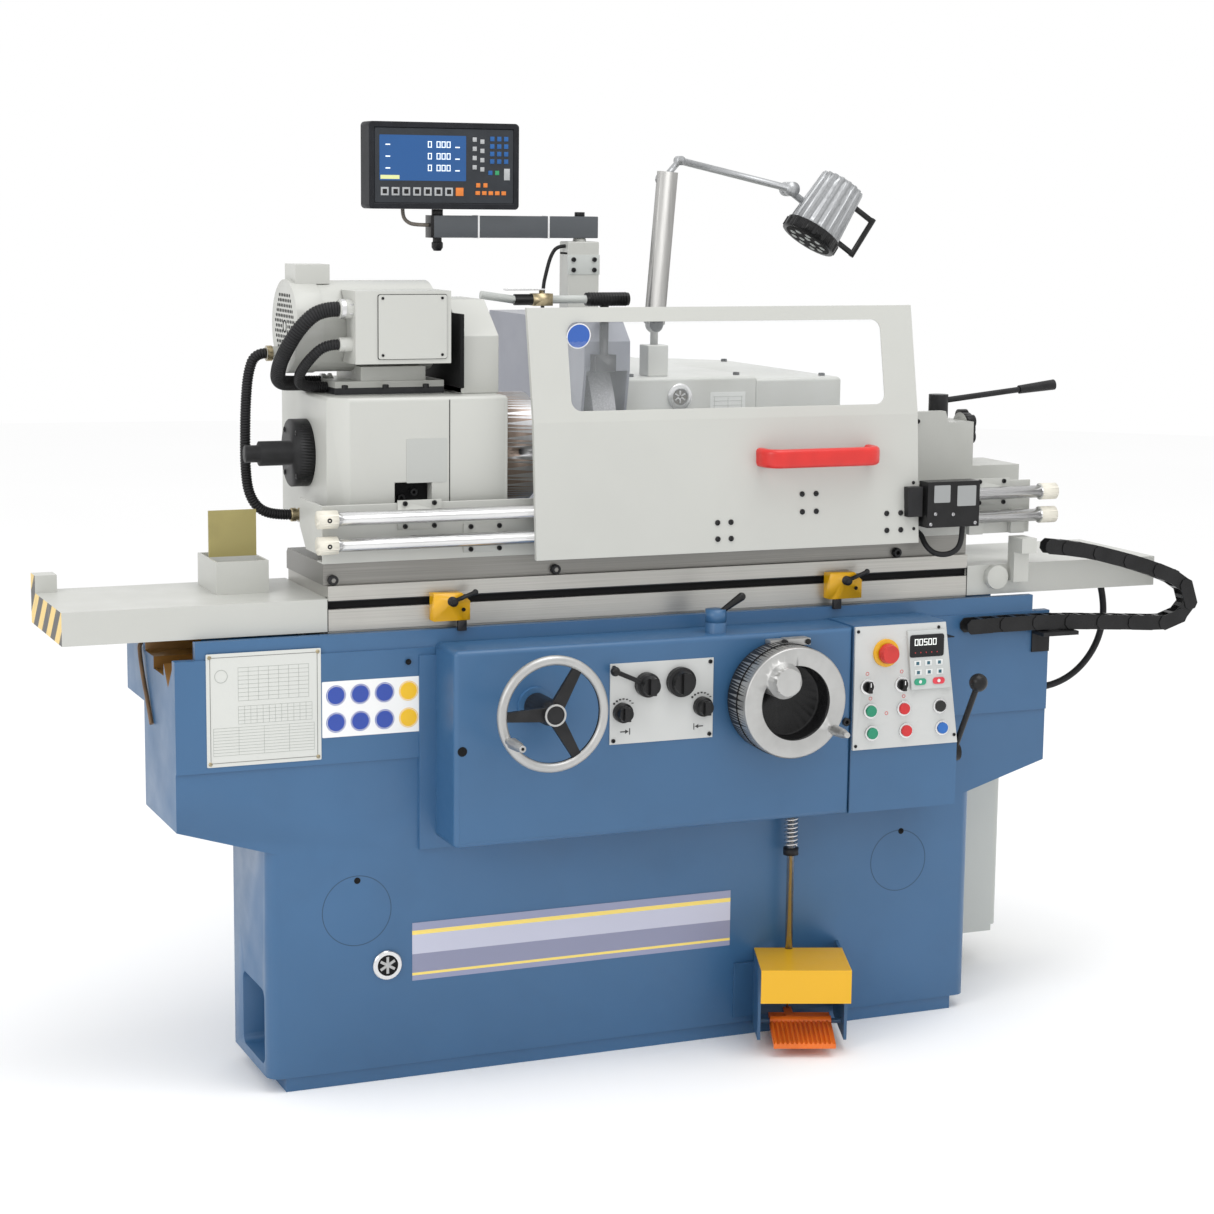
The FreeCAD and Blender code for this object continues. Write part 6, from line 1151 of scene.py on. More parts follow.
def build_bed_marks():
    """The round access covers' lines, their screws and the small tapped holes."""
    mesh = bmesh.new()
    for across, up, radius in ((-566, 333, 66), (568, 325, 62)):
        add_ring(mesh, (across, BED_FACE + 0.6, up), FRONT, radius - 0.8, radius + 0.8, 0.75,
                 steps=64)
    place_piece("cover_lines", mesh, [bed_seam()], "base")
    mesh = bmesh.new()
    for across, up, radius, face in ((-565, 390, 6, BED_FACE), (573, 385, 6, BED_FACE),
                                     (-468, 794, 5.5, BED_FACE - 8), (-400, 642, 9, APRON_FACE)):
        line = [(-1, 0), (-1, radius), (0.6, radius), (0.6, radius * 0.7), (0.15, radius * 0.6),
                (0.15, 0)]
        add_turned(mesh, (across, face, up), FRONT, line, steps=24)
    place_piece("front_screws", mesh, [dull_black()], "base")


def bed_seam():
    """Darker blue of a filled joint line."""
    return once("blue_joint_line", paint, shade(colours().bed, -0.5), rough=0.5, mottle=0.05,
                peel=0.1)


def build_apron():
    """The apron with its index block above the infeed wheel, joint line and bolt."""
    dress("apron_housing", bed_paint(), edge=sizes().casting_edge)
    face = APRON_FACE
    mesh = bmesh.new()
    add_block(mesh, (205, face - 24, 806), (240, face - 1, 815), edge=1)
    add_block(mesh, (236, face - 30, 804), (287, face - 4, 817), edge=1.2)
    add_rod(mesh, (232, face - 26, 811), FRONT, 6, 8, finish=1)
    add_rod(mesh, (281, face - 30, 810.5), FRONT, 5.5, 3, finish=1)
    place_piece("index_block", mesh, [satin_chrome(), black_steel()], "base")
    mesh = bmesh.new()
    add_cap_screw(mesh, (382, face, 643), FRONT, 8, 6)
    place_piece("apron_bolt", mesh, [black_steel(), dull_black()], "base")
    mesh = bmesh.new()
    add_mark(mesh, (393.4, 466), (394.6, 824), face + 1, 1.2)
    place_piece("apron_joint_line", mesh, [bed_seam()], "base")


# Controls

SEGMENTS = {"0": "abcdef", "5": "afgcd"}


def add_digits(mesh, text, left, low, width, face, finish=0, gap=1.5):
    """Seven-segment digits, 13 mm high, on a face that looks to the front."""
    height = 13
    bar, half = width * 0.2, height / 2
    bars = {"a": (0, height - bar, width, height), "b": (width - bar, half, width, height),
            "c": (width - bar, 0, width, half), "d": (0, 0, width, bar), "e": (0, 0, bar, half),
            "f": (0, half, bar, height), "g": (0, half - bar / 2, width, half + bar / 2)}
    for number, digit in enumerate(text):
        start = left + number * (width + gap)
        for letter in SEGMENTS[digit]:
            x0, z0, x1, z1 = bars[letter]
            add_mark(mesh, (start + x0, low + z0), (start + x1, low + z1), face, 0.4, finish=finish)


def add_key(mesh, across, up, width, height, face, finish, proud=1.2):
    """A small rounded key."""
    add_block(mesh, (across - width / 2, face - proud, up - height / 2),
              (across + width / 2, face, up + height / 2), finish=finish,
              edge=min(width, height) * 0.2)


def plate_finish(centre, normal):
    """Which finish a face of the control plates takes: plate, collar, stop's base or keypad."""
    if centre.y >= PANEL_FACE - 0.2:
        return 0
    if off_axis(centre, *STOP_PLACE) < 27.4:
        return 2
    if any(off_axis(centre, *place) < 17 for place in (*BUTTONS, *SWITCHES.values())):
        return 1
    return 3 if centre.x > 500 and centre.z > 697 else 0


def add_ticks(mesh, across, up):
    """A dwell knob's scale: ticks that grow round it."""
    for step in range(7):
        angle = math.radians(40 + 16 * step)
        x, z = across + 25 * math.cos(angle), up + 25 * math.sin(angle)
        half = 0.9 + 0.15 * step
        add_mark(mesh, (x - 2, z - half), (x + 2, z + half), APRON_FACE - 2, 1.2, finish=2)


def add_arrow(mesh, across, way):
    """A printed arrow and the line that it points to."""
    line = [(-8, 656), (2, 656), (2, 653), (9, 657), (2, 661), (2, 658), (-8, 658)]
    face = APRON_FACE - 2.4
    add_plate(mesh, [(across + way * out, up) for out, up in line], face - 0.6, face, finish=2)
    end = across + 11 * way
    add_mark(mesh, (end - 0.8, 651), (end + 0.8, 663), face, 0.6, finish=2)


def build_panel():
    """The two control plates with their collars, corner screws and printed marks."""
    finishes = [plate_paint(), chrome(), dog_paint(),
                plate_paint("keypad_grey", (0.52, 0.54, 0.53))]
    plates = copy_of("control_panel", "control_plates", finishes, plate_finish, "base",
                     sharp=30)
    round_edges(plates, sizes().fine_edge, angle=40)
    mesh = bmesh.new()
    for across, up in product((-105, 91), (641, 779)):
        add_cap_screw(mesh, (across, APRON_FACE - 2.5, up), FRONT, 4, 2.5)
    for across, up in ((402, 594), (620, 602), (578, 818), (402, 818)):
        add_cap_screw(mesh, (across, PANEL_FACE, up), FRONT, 3.2, 2)
    for across, up in ((-86, 694), (73, 696)):
        add_ticks(mesh, across, up)
    for across, way in ((-83, 1), (70, -1)):
        add_arrow(mesh, across, way)
    for across, up in ((432, 686), (505, 686), (424, 735), (499, 735), (468, 655)):
        add_ring(mesh, (across, PANEL_FACE + 0.2, up), FRONT, 2.6, 3.6, 0.5, finish=3, steps=20)
    finishes = [black_steel(), dull_black(), flat_print("print_black", (0.02, 0.02, 0.02)),
                flat_print("print_red", (0.6, 0.03, 0.03))]
    place_piece("plate_screws", mesh, finishes, "base")


def build_keypad():
    """The drive's keypad: black display with digits, lamps and keys."""
    face = PANEL_FACE - 6
    mesh = bmesh.new()
    add_card(mesh, (512, 762), (587, 806), 5, face, 1.2)
    add_digits(mesh, "00500", 522, 785, 8, face - 1.2, finish=1, gap=2)
    for number in range(5):
        add_rod(mesh, (524 + 12 * number, face - 1.2, 771), FRONT, 1.3, 0.5, finish=2, edge=0.2,
                steps=12)
    for row, column in product(range(2), range(3)):
        across, up = 530 + 24 * column + 2 * row, 750 - 18 * row
        add_key(mesh, across, up, 15, 11, face, 3)
        add_key(mesh, across, up, 6.5, 6.5, face - 1, 4, proud=0.7)
    for across, finish in ((537, 5), (578, 6)):
        add_card(mesh, (across - 13, 707), (across + 13, 720), 6, face, 1.6, finish=finish)
        add_plate(mesh, circle_line(across, 713.5, 3.4, 16), face - 2.1, face - 1.5, finish=3)
    finishes = [black_plastic(), glow("digit_white", (0.85, 0.88, 0.85), 0.9),
                key_colour("lamp_red", (0.45, 0.03, 0.03)),
                key_colour("key_white", (0.70, 0.72, 0.71)),
                key_colour("key_teal", (0.02, 0.10, 0.14)),
                key_colour("key_green", (0.02, 0.30, 0.17)),
                key_colour("key_red", (0.62, 0.04, 0.06))]
    place_piece("keypad_face", mesh, finishes, "base")


def build_buttons():
    """The push buttons, selectors and emergency stop."""
    tones = {"green": (0.010, 0.24, 0.13), "red": (0.52, 0.016, 0.020),
             "black": (0.020, 0.021, 0.020), "blue": (0.014, 0.12, 0.42)}
    for node in ("green_button_upper", "green_button_lower", "red_button_upper",
                 "red_button_lower", "black_button", "blue_button"):
        tone = node.split("_")[0]
        dress(node, key_colour("button_" + tone, tones[tone]), edge=sizes().fine_edge)
    for node in ("left_selector", "right_selector"):
        dress(node, black_plastic(), edge=sizes().fine_edge)
    for body, (across, up) in SWITCHES.items():
        mesh = bmesh.new()
        add_mark(mesh, (across - 0.9, up + 1), (across + 0.9, up + 9), -250.6, 0.8)
        place_piece(body + "_mark", mesh, [flat_print("mark_white", (0.8, 0.8, 0.8))], body)
    dress("emergency_stop", key_colour("stop_red", (0.54, 0.028, 0.022)), edge=sizes().fine_edge)


# Handwheels, knobs and levers

def foremost(node, chosen):
    """How far forward the chosen points of a CAD part reach."""
    spots = [spot.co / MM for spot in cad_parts[node].data.vertices]
    return min(spot.y for spot in spots if chosen(spot))


def build_table_wheel():
    """The table handwheel: satin rim and grip, black spokes and hub, with its end ring."""
    across, up = TABLE_WHEEL

    def choose(centre, normal):
        return 0 if off_axis(centre, across, up) > 89.5 else 1
    even_faces(copy_of("table_handwheel", "table_wheel_whole", [satin_chrome(), black_steel()],
                       choose, "table_wheel", sharp=40))
    mesh = bmesh.new()
    hub_front = foremost("table_handwheel", lambda spot: off_axis(spot, across, up) < 25)
    add_ring(mesh, (across, hub_front + 0.4, up), FRONT, 17, 20.4, 2.2)
    angle = math.radians(205)
    grip = (across + 98 * math.cos(angle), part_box("table_handwheel")[0][1] / MM,
            up + 98 * math.sin(angle))
    add_turned(mesh, grip, FRONT, [(0, 3.4), (0.5, 3.4), (0.5, 6), (0, 6.4)], steps=24)
    add_disc(mesh, grip, FRONT, 2.8, 0.1, 0.35, finish=1, steps=16)
    place_piece("table_wheel_trim", mesh, [satin_chrome(), dull_black()], "table_wheel")


def build_infeed_wheel():
    """The infeed handwheel: satin drum face, black bowl, dial marks and fine knob."""
    across, up = INFEED_WHEEL
    fine = (across - 30, up + 46)
    face = foremost("infeed_handwheel", lambda spot: (
        101 < off_axis(spot, across, up) < 106.5 and spot.z > up + 20 and spot.x > across))

    def choose(centre, normal):
        if off_axis(centre, *fine) < 35 and centre.y < face + 40:
            return 0
        reach = off_axis(centre, across, up)
        if reach < 71.5 and centre.y > face + 0.3:
            return 1
        return 2 if reach > 96 and centre.y > face + 46 else 0
    even_faces(copy_of("infeed_handwheel", "infeed_wheel_whole",
                       [satin_chrome(), black_plastic(), black_steel()], choose, "infeed_wheel",
                       sharp=40))
    mesh = bmesh.new()
    for step in range(100):
        turn = Matrix.Rotation(math.radians(3.6 * step), 3, "Y")
        length = 6 if step % 10 == 0 else 3
        add_block(mesh, (across - 0.22, face + 10, up + 105.7),
                  (across + 0.22, face + 10 + length, up + 106.2), turn=turn,
                  about=(across, face, up))
    place_piece("infeed_dial_marks", mesh, [flat_print("engraved_grey", (0.16, 0.16, 0.16))],
                "infeed_wheel")
    mesh = bmesh.new()
    add_turned(mesh, (across, face + 30, up), FRONT,
               [(-6, 106.2), (-6, 107.4), (-3, 107.4), (-3, 106.2)], steps=64)
    place_piece("infeed_dark_band", mesh, [dull_black()], "infeed_wheel")


def build_knobs():
    """The hydraulic knobs and the levers of the apron."""
    for node in ("start_lever", "speed_knob", "left_dwell_knob", "right_dwell_knob", "rapid_lever"):
        dress(node, black_plastic())

    def choose(centre, normal):
        lever = off_axis(centre, 121, -190, (0, 1)) > 20.5 or centre.z > 871
        return 0 if lever else 1
    copy_of("reversing_lever", "reversing_lever_whole", [black_plastic(), bed_paint()], choose,
            "reverser", sharp=40)


# Foot pedal

def build_pedal():
    """The pedal's bracket, guard, tread and rod."""
    dress("pedal_bracket", shelf_paint(), edge=sizes().casting_edge)
    dress("pedal_guard", guard_paint(), edge=sizes().sheet_edge)
    dress("foot_pedal", tread_paint())

    def choose(centre, normal):
        return 1 if 367 < centre.z < 383 else 0
    copy_of("pedal_rod", "pedal_rod_whole", [chrome(), black_steel()], choose, "treadle_rod",
            sharp=40)


def build_spring():
    """The pedal's return spring round its rod."""
    turns, steps, radius, wire = 9, 36, 12.2, 1.8
    low, high = 382.2 + wire, 460.8 - wire
    across, back = PEDAL_ROD
    points = []
    for step in range(turns * steps + 1):
        angle = 2 * math.pi * step / steps
        rise = low + (high - low) * step / (turns * steps)
        points.append(mm(across + radius * math.cos(angle), back + radius * math.sin(angle), rise))
    mesh = bmesh.new()
    add_tube(mesh, points, [wire * MM] * len(points), steps=12)
    spring = place_piece("pedal_spring_coil", mesh, [chrome()], "base",
                         sharp=60)
    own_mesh(spring)
    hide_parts("pedal_spring")


# Tables

def cover_finish(centre, normal):
    """Which finish a face of the table covers takes: white, stripes, olive or black."""
    if centre.x < -1020 and normal.x < -0.9:
        return 1
    if centre.z > 974 and centre.y > 8 and -792 < centre.x < -680:
        return 2
    if centre.x > 755 and centre.z > 914.5 and off_axis(centre, 781, -40, (0, 1)) < 70:
        return 3
    return 0


def build_tables():
    """The lower table, its covers and the swivel table with their bolts."""
    dress("lower_table", table_steel(), edge=sizes().fine_edge)
    dress("swivel_table", swivel_steel(), edge=sizes().fine_edge)
    covers = copy_of("table_covers", "table_cover_sheets",
                     [cover_paint(), stripes_paint(), olive_paint(), black_plastic()],
                     cover_finish, "table", sharp=30)
    round_edges(covers, sizes().sheet_edge)
    mesh = bmesh.new()
    for across in (-600, -167, 560):
        add_cap_screw(mesh, (across, -90, 946), FRONT, 9.4, 10.2)
    place_screws("swivel_bolts", mesh, "swivel")
    mesh = bmesh.new()
    add_block(mesh, (-611, -91, 893.4), (718, -85, 908.6))
    add_block(mesh, (-611, -99.6, 907.4), (718, -91, 908.6), finish=1)
    place_piece("slot_shadow", mesh, [dull_black(), dark_paint()], "table")
    mesh = bmesh.new()
    for across in (-612.4, 717.4):
        add_block(mesh, (across, -100.6, 853), (across + 1.2, -98, 912))
    place_piece("cover_joint_lines", mesh, [dull_black()], "table")


def olive_paint():
    """Olive coolant stain on the splash tray's plate."""
    return once("olive_tray_paint", paint, (0.34, 0.29, 0.10), rough=0.36, mottle=0.12, peel=0.1,
                dirt=0.4)


def build_dogs():
    """The two trip dogs: yellow body, black lever, hub and tab, with their nuts."""
    def choose(centre, normal):
        if centre.z < 864.5 or centre.y < -126.6:
            return 1
        return 2 if centre.y > -100 else 0
    for side, across in (("left", -383), ("right", 431)):
        copy_of(f"{side}_trip_dog", f"{side}_dog_whole",
                [dog_paint(), black_steel(), round_steel()], choose, f"{side}_dog")
        mesh = bmesh.new()
        add_turned(mesh, (across, -136, 901), FRONT, [(-0.4, 6), (2, 6), (2.6, 5), (2.6, 0)],
                   steps=6)
        add_cap_screw(mesh, (across + 22, -126, 885), FRONT, 3.6, 2.4, finish=1)
        place_screws(f"{side}_dog_screws", mesh, f"{side}_dog")


# Workhead

def spindle_finish(centre, normal):
    """Which finish a face of the work spindle takes: steel, black flange or tinted chuck."""
    if centre.x < -254:
        return 1
    return 2 if -243 < centre.x < -205 and off_axis(centre, *WORK_AXIS, (1, 2)) > 90 else 0


def motor_finish(centre, normal):
    """Which finish a face of the motor takes: white, dark foot or steel boss."""
    if centre.z < MOTOR_FOOT:
        return 1
    return 2 if centre.x > -359 and off_axis(centre, *MOTOR_AXIS, (1, 2)) < 45 else 0


def build_workhead():
    """The workhead: base, housing, spindle with its chuck, motor and terminal box."""
    dress("workhead_base", casting_white(), edge=sizes().casting_edge)
    dress("workhead_housing", cover_paint(), edge=sizes().casting_edge)
    copy_of("work_spindle", "chuck_and_spindle", [round_steel(), black_steel(), warm_steel()],
            spindle_finish, "spindle")
    motor = copy_of("workhead_motor", "motor_whole", [cover_paint(), dark_paint(), round_steel()],
                    motor_finish, "workhead", sharp=30,
                    cuts=[((0, 0, MOTOR_FOOT), UP)])
    round_edges(motor, sizes().sheet_edge)


def build_head_detail():
    """Bolts, joint lines and plates of the workhead."""
    mesh = bmesh.new()
    for across, up in product((-489, -375), (1347, 1450)):
        add_cap_screw(mesh, (across, -48, up), FRONT, 2.6, 1.4)
    for across, up in ((-456, 1086), (-432, 1096)):
        add_cap_screw(mesh, (across, -45, up), FRONT, 7.4, 9)
    for across in (-548, -470, -392):
        add_cap_screw(mesh, (across, -4, 1284), UP, 6, 7)
    for up, back in product((1120, 1200), (55, 135)):
        add_cap_screw(mesh, (-623, back, up), LEFT, 5, 1.6)
    place_screws("head_screws", mesh, "workhead")
    mesh = bmesh.new()
    add_card(mesh, (-498, 1339), (-365, 1457), 4, -44.6, 1.2, finish=2)
    add_card(mesh, (-497, 1340), (-366, 1456), 4, -44.6, 3.4)
    add_card(mesh, (-452, 1115), (-374, 1196), 2, -69.8, 0.9, finish=1)
    add_block(mesh, (-368, -70.8, 1026), (-262, -69, 1266), edge=0.8)
    finishes = [cover_paint(), plate_paint("bare_nameplate", (0.44, 0.45, 0.43)), dull_black()]
    place_piece("head_plates", mesh, finishes, "workhead")
    mesh = bmesh.new()
    add_block(mesh, (-369.2, -70.9, 1026), (-367.8, -69.6, 1266))
    add_block(mesh, (-473.6, -45, 1077.4), (-403.4, -40.6, 1115.6))
    add_block(mesh, (-337, -40, 1284), (-329.4, 170, 1420), edge=1)
    place_piece("head_dark_gaps", mesh, [dull_black()], "workhead")


def build_fan_grille():
    """The fan cover's grille of holes at the motor's end."""
    back, height = MOTOR_AXIS
    cover = -632
    mesh = bmesh.new()
    for row, column in product(range(-6, 7), range(-6, 7)):
        out, up = column * 11 + (5.5 if row % 2 else 0), row * 9.5
        if 14 < math.hypot(out, up) < 66:
            add_plate(mesh, circle_line(back + out, height + up, 3.4, 10), cover - 0.35,
                      cover + 0.4, axis="X")
    add_ring(mesh, (cover + 0.3, back, height), LEFT, 9, 12, 0.9)
    place_piece("fan_grille_holes", mesh, [dull_black()], "workhead")


# Tailstock

def build_tailstock():
    """The tailstock: body, quill and lever, with its dark hub, lobed knob and screws."""
    def choose(centre, normal):
        knob = centre.x > 795.2 and centre.z > 1128
        hub = centre.z > 1190.3 and centre.y > 20.5 and centre.x < 765
        return 1 if knob or hub else 0
    body = copy_of("tailstock_body", "tailstock_whole", [casting_white(), black_plastic()], choose,
                   "swivel")
    round_edges(body, sizes().casting_edge, angle=35)
    dress("tailstock_quill", round_steel())
    dress("tailstock_lever", black_steel())
    mesh = bmesh.new()
    for across, up in ((652, 1196), (745, 1070)):
        add_cap_screw(mesh, (across, -0.5, up), FRONT, 4.5, 4)
    place_screws("tail_screws", mesh, "swivel")


# Sliding guard

GUARD_LOW, GUARD_BEND, GUARD_TOP = (-150, 972), (-132, 1224), (-92, 1433)
SHEET_OUT = (0, -0.9975, 0.0713)
HANDLE_SPLIT = 520


def sheet_front(height, low=GUARD_LOW, high=GUARD_BEND):
    """How far forward a straight part of the guard sheet reaches at a height."""
    share = (height - low[1]) / (high[1] - low[1])
    return low[0] + share * (high[0] - low[0])


def build_guard():
    """The sliding guard's sheet, window and interlock actuator."""
    dress("guard_sheet", cover_paint(), edge=sizes().fine_edge)
    dress("guard_window", clear_plastic())

    def choose(centre, normal):
        return 1 if centre.x > HANDLE_SPLIT else 0
    copy_of("guard_handle", "guard_actuator", [handle_plastic(), black_steel()], choose,
            "guard", drop=lambda centre: centre.x < HANDLE_SPLIT)


def build_guard_screws():
    """The slotted screws of the guard sheet."""
    mesh = bmesh.new()
    groups = [((142, 170), (997, 1028)), ((322, 352), (1042, 1076)), ((506, 537), (999, 1032))]
    for group in groups:
        for across, up in product(*group):
            add_slot_screw(mesh, (across, sheet_front(up), up), SHEET_OUT, 5.4, 3.4,
                           angle=across + up)
    for up in (1000, 1040, 1090):
        add_slot_screw(mesh, (566, sheet_front(up), up), SHEET_OUT, 3.4, 2, angle=up)
    place_screws("guard_screws", mesh, "guard")


def build_handle_bow():
    """The red bow handle, as one bar with round corners and rounded edges."""
    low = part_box("guard_handle")[0]
    deep, tall, corner, middle, back = 20, 36, 26, 1149, -136.5
    left, right = low[0] / MM + deep / 2, 477 - deep / 2
    near = low[1] / MM + deep / 2
    turns = [math.radians(15 * step) for step in range(7)]
    line = [(left, back)]
    line += [(left + corner * (1 - math.cos(angle)), near + corner * (1 - math.sin(angle)))
             for angle in turns]
    line += [(right - corner * (1 - math.cos(angle)), near + corner * (1 - math.sin(angle)))
             for angle in reversed(turns)]
    line.append((right, back))
    edge = rounded_line((-deep / 2, -tall / 2), (deep / 2, tall / 2), 8)
    mesh = bmesh.new()
    rings = []
    for number, spot in enumerate(line):
        before, after = line[max(number - 1, 0)], line[min(number + 1, len(line) - 1)]
        way = Vector((after[0] - before[0], after[1] - before[1])).normalized()
        rings.append([mesh.verts.new(mm(spot[0] - way.y * out, spot[1] + way.x * out,
                                        middle + rise)) for out, rise in edge])
    close_tube(mesh, rings)
    bow = place_piece("guard_handle_bow", mesh, [handle_plastic()], "guard",
                      sharp=50)
    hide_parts("guard_handle")


def build_guard_disc():
    """A plain blue disc with a white rim on the window's upper left corner."""
    rise = Vector((0, GUARD_TOP[0] - GUARD_BEND[0], GUARD_TOP[1] - GUARD_BEND[1])).normalized()
    out = -Vector((0, rise.z, rise.y))
    up = 1381
    place = (-128, sheet_front(up, GUARD_BEND, GUARD_TOP) - 0.9, up)
    mesh = bmesh.new()
    add_disc(mesh, place, out, 22, 0, 0.5)
    add_turned(mesh, place, out, [(0.1, 0), (0.1, 24), (0.3, 24), (0.3, 22)], finish=1, steps=40)
    finishes = [flat_print("disc_blue_light", (0.02, 0.10, 0.42)),
                flat_print("disc_white", (0.8, 0.8, 0.8))]
    place_piece("window_disc", mesh, finishes, "guard")


def rod_finish(centre, normal):
    """Which finish a face of the guide rods takes: chrome, cream cap or white saddle."""
    if centre.x < -600.2 or centre.x > 868.2:
        return 1
    near = any(off_axis(centre, ROD_BACK, height, (1, 2)) < 12.9 for height in ROD_HEIGHTS)
    return 0 if near else 2


def build_guard_rods():
    """The chrome guide rods, their cream caps, white saddles and the rail behind them."""
    copy_of("guard_rods", "guard_rods_whole", [chrome(), cream_plastic(), cover_paint()],
            rod_finish, "swivel")
    dress("guard_rail", cover_paint(), edge=sizes().sheet_edge)
    high, low = ROD_HEIGHTS
    front = foremost("guard_rods", lambda spot: abs(spot.z - 1087) < 0.6 and -478 < spot.x < -394)
    mesh = bmesh.new()
    for left, height in ((-478, high), (-351, low), (728, high)):
        for across, up in product((left + 14, left + 70), (height - 21, height + 21)):
            add_cap_screw(mesh, (across, front, up), FRONT, 4.6, 3)
    for height in ROD_HEIGHTS:
        add_cap_screw(mesh, (-618, -136, height), FRONT, 4.4, 1.2)
    place_screws("saddle_screws", mesh, "swivel")


def build_switch():
    """The interlock switch with its bare labels and screws."""
    dress("interlock_switch", black_plastic(), edge=sizes().sheet_edge)
    mesh = bmesh.new()
    for low, high in (((596, 1052), (632, 1086)), ((648, 1044), (690, 1084))):
        add_card(mesh, low, high, 2, -171.8, 0.8)
    for across, up in ((590, 1010), (690, 1010), (640, 1028), (600, 1030)):
        add_slot_screw(mesh, (across, -172, up), FRONT, 3.4, 1.6, finish=1, slot=2, angle=across)
    finishes = [plate_paint("label_silver", (0.30, 0.31, 0.31)), round_steel(), dull_black()]
    place_piece("switch_labels", mesh, finishes, "swivel")


# Wheelhead

def build_wheelhead():
    """The wheelhead's body, hood and grinding wheel."""
    def choose(centre, normal):
        return 1 if centre.z < 1097.5 else 0
    body = copy_of("wheelhead_body", "wheelhead_whole", [cover_paint(), casting_white()], choose,
                   "wheelhead", sharp=30)
    round_edges(body, sizes().casting_edge)
    dress("wheel_guard", hood_paint(), edge=sizes().sheet_edge)

    def choose_wheel(centre, normal):
        reach = off_axis(centre, *WHEEL_AXIS, (1, 2))
        return 0 if reach > 72 and 55 < centre.x < 107 else 1
    copy_of("grinding_wheel", "grinding_wheel_whole", [abrasive(), round_steel()], choose_wheel,
            "wheel")


def build_head_glass():
    """The wheelhead's sight glass with its star."""
    place = (255, HEAD_FRONT, 1232)
    mesh = bmesh.new()
    add_turned(mesh, place, FRONT, [(-1, 27), (4, 27), (6, 24), (6, 17), (2.5, 16), (2.5, 0)],
               steps=40)
    add_disc(mesh, place, FRONT, 15.6, 2.6, 3.4, finish=1, steps=32)
    for number in range(6):
        turn = Matrix.Rotation(math.radians(60 * number), 3, "Y")
        add_block(mesh, (253.2, 280.6, 1235), (256.8, 281.8, 1245), edge=0.3, turn=turn,
                  about=place)
    place_piece("head_sight_glass", mesh, [chrome(), key_colour("glass_dark", (0.06, 0.05, 0.03))],
                "wheelhead")


def build_head_marks():
    """The wheelhead's bare nameplate, cap screws and the hood's knob."""
    face = HEAD_FRONT
    mesh = bmesh.new()
    add_card(mesh, (325, 1195), (405, 1240), 2, face, 0.6)
    for row in range(4):
        add_mark(mesh, (331, 1203 + 9 * row), (399, 1203.8 + 9 * row), face - 0.4, 0.6, finish=1)
    for across in (334, 365, 396):
        add_mark(mesh, (across, 1203), (across + 0.7, 1230.8), face - 0.4, 0.6, finish=1)
    place_piece("head_plate", mesh, [plate_paint("bare_plate", (0.66, 0.67, 0.65)), chart_print()],
                "wheelhead")
    mesh = bmesh.new()
    for place in ((160, 320, 1272), (400, 320, 1272), (600, 320, 1267), (600, 800, 1267),
                  (160, 560, 1272), (400, 900, 1272)):
        add_cap_screw(mesh, place, UP, 7, 6)
    for up in (1300, 1360):
        add_cap_screw(mesh, (176, 615, up), FRONT, 6, 5)
    place_screws("head_cap_screws", mesh, "wheelhead")
    mesh = bmesh.new()
    add_rod(mesh, (80, 270, 1388), UP, 14, 16, edge=3)
    add_rod(mesh, (80, 270, 1380), UP, 8, 10)
    place_piece("hood_knob", mesh, [black_plastic()], "wheelhead")


def coolant_finish(centre, normal):
    """Which finish a face of the coolant line takes: grey tube, black sleeve or brass valve."""
    for end, finish in ((-127.1, 0), (-90.1, 1), (-49.5, 2), (24.8, 0)):
        if centre.x < end:
            return finish
    return 1


def build_coolant():
    """The coolant line: grey tube, brass valve, black sleeve and nozzle, with its lever."""
    copy_of("coolant_pipe", "coolant_line", [cabinet_paint(), black_plastic(), brass()],
            coolant_finish, "wheelhead")
    dress("coolant_lever", chrome(), edge=sizes().fine_edge)
    mesh = bmesh.new()
    for number in range(14):
        add_turned(mesh, (30 + 6 * number, 235, 1434), RIGHT,
                   [(0, 12.4), (0.8, 14), (2.6, 14), (3.4, 12.4)], steps=24)
    place_piece("coolant_sleeve_rings", mesh, [black_plastic()], "wheelhead")


# Lamp

LAMP_CENTRE = Vector((593.03, 357.7, 1569.15))
LAMP_TILT = math.radians(34)
LAMP_OUT = Vector((-math.sin(LAMP_TILT), 0, -math.cos(LAMP_TILT)))
LAMP_SIDE = Vector((math.cos(LAMP_TILT), 0, -math.sin(LAMP_TILT)))


def build_lamp():
    """The machine lamp: post, link arm and finned head."""
    def choose_post(centre, normal):
        return 1 if centre.y < 329 or centre.y > 351 else 0

    def choose_arm(centre, normal):
        return 1 if centre.x < 246 and centre.z < 1672 else 0

    def choose_head(centre, normal):
        spot = centre - LAMP_CENTRE
        return 1 if spot.dot(LAMP_OUT) > 0.2 or spot.dot(LAMP_SIDE) > 63 else 0
    copy_of("lamp_post", "lamp_post_whole", [anodised(), black_plastic()], choose_post,
            "lamp_lower", sharp=40)
    copy_of("lamp_arm", "lamp_arm_whole", [silver(), black_steel()], choose_arm, "lamp_upper",
            sharp=40)
    copy_of("lamp_head", "lamp_head_whole", [silver(), black_plastic()], choose_head, "lamp")


def lamp_ring(radius, count, out):
    """Evenly spaced places on a ring round the lamp's axis."""
    for number in range(count):
        angle = 2 * math.pi * number / count
        across = LAMP_SIDE * (radius * math.cos(angle)) + Vector((0, radius * math.sin(angle), 0))
        yield LAMP_CENTRE + LAMP_OUT * out + across


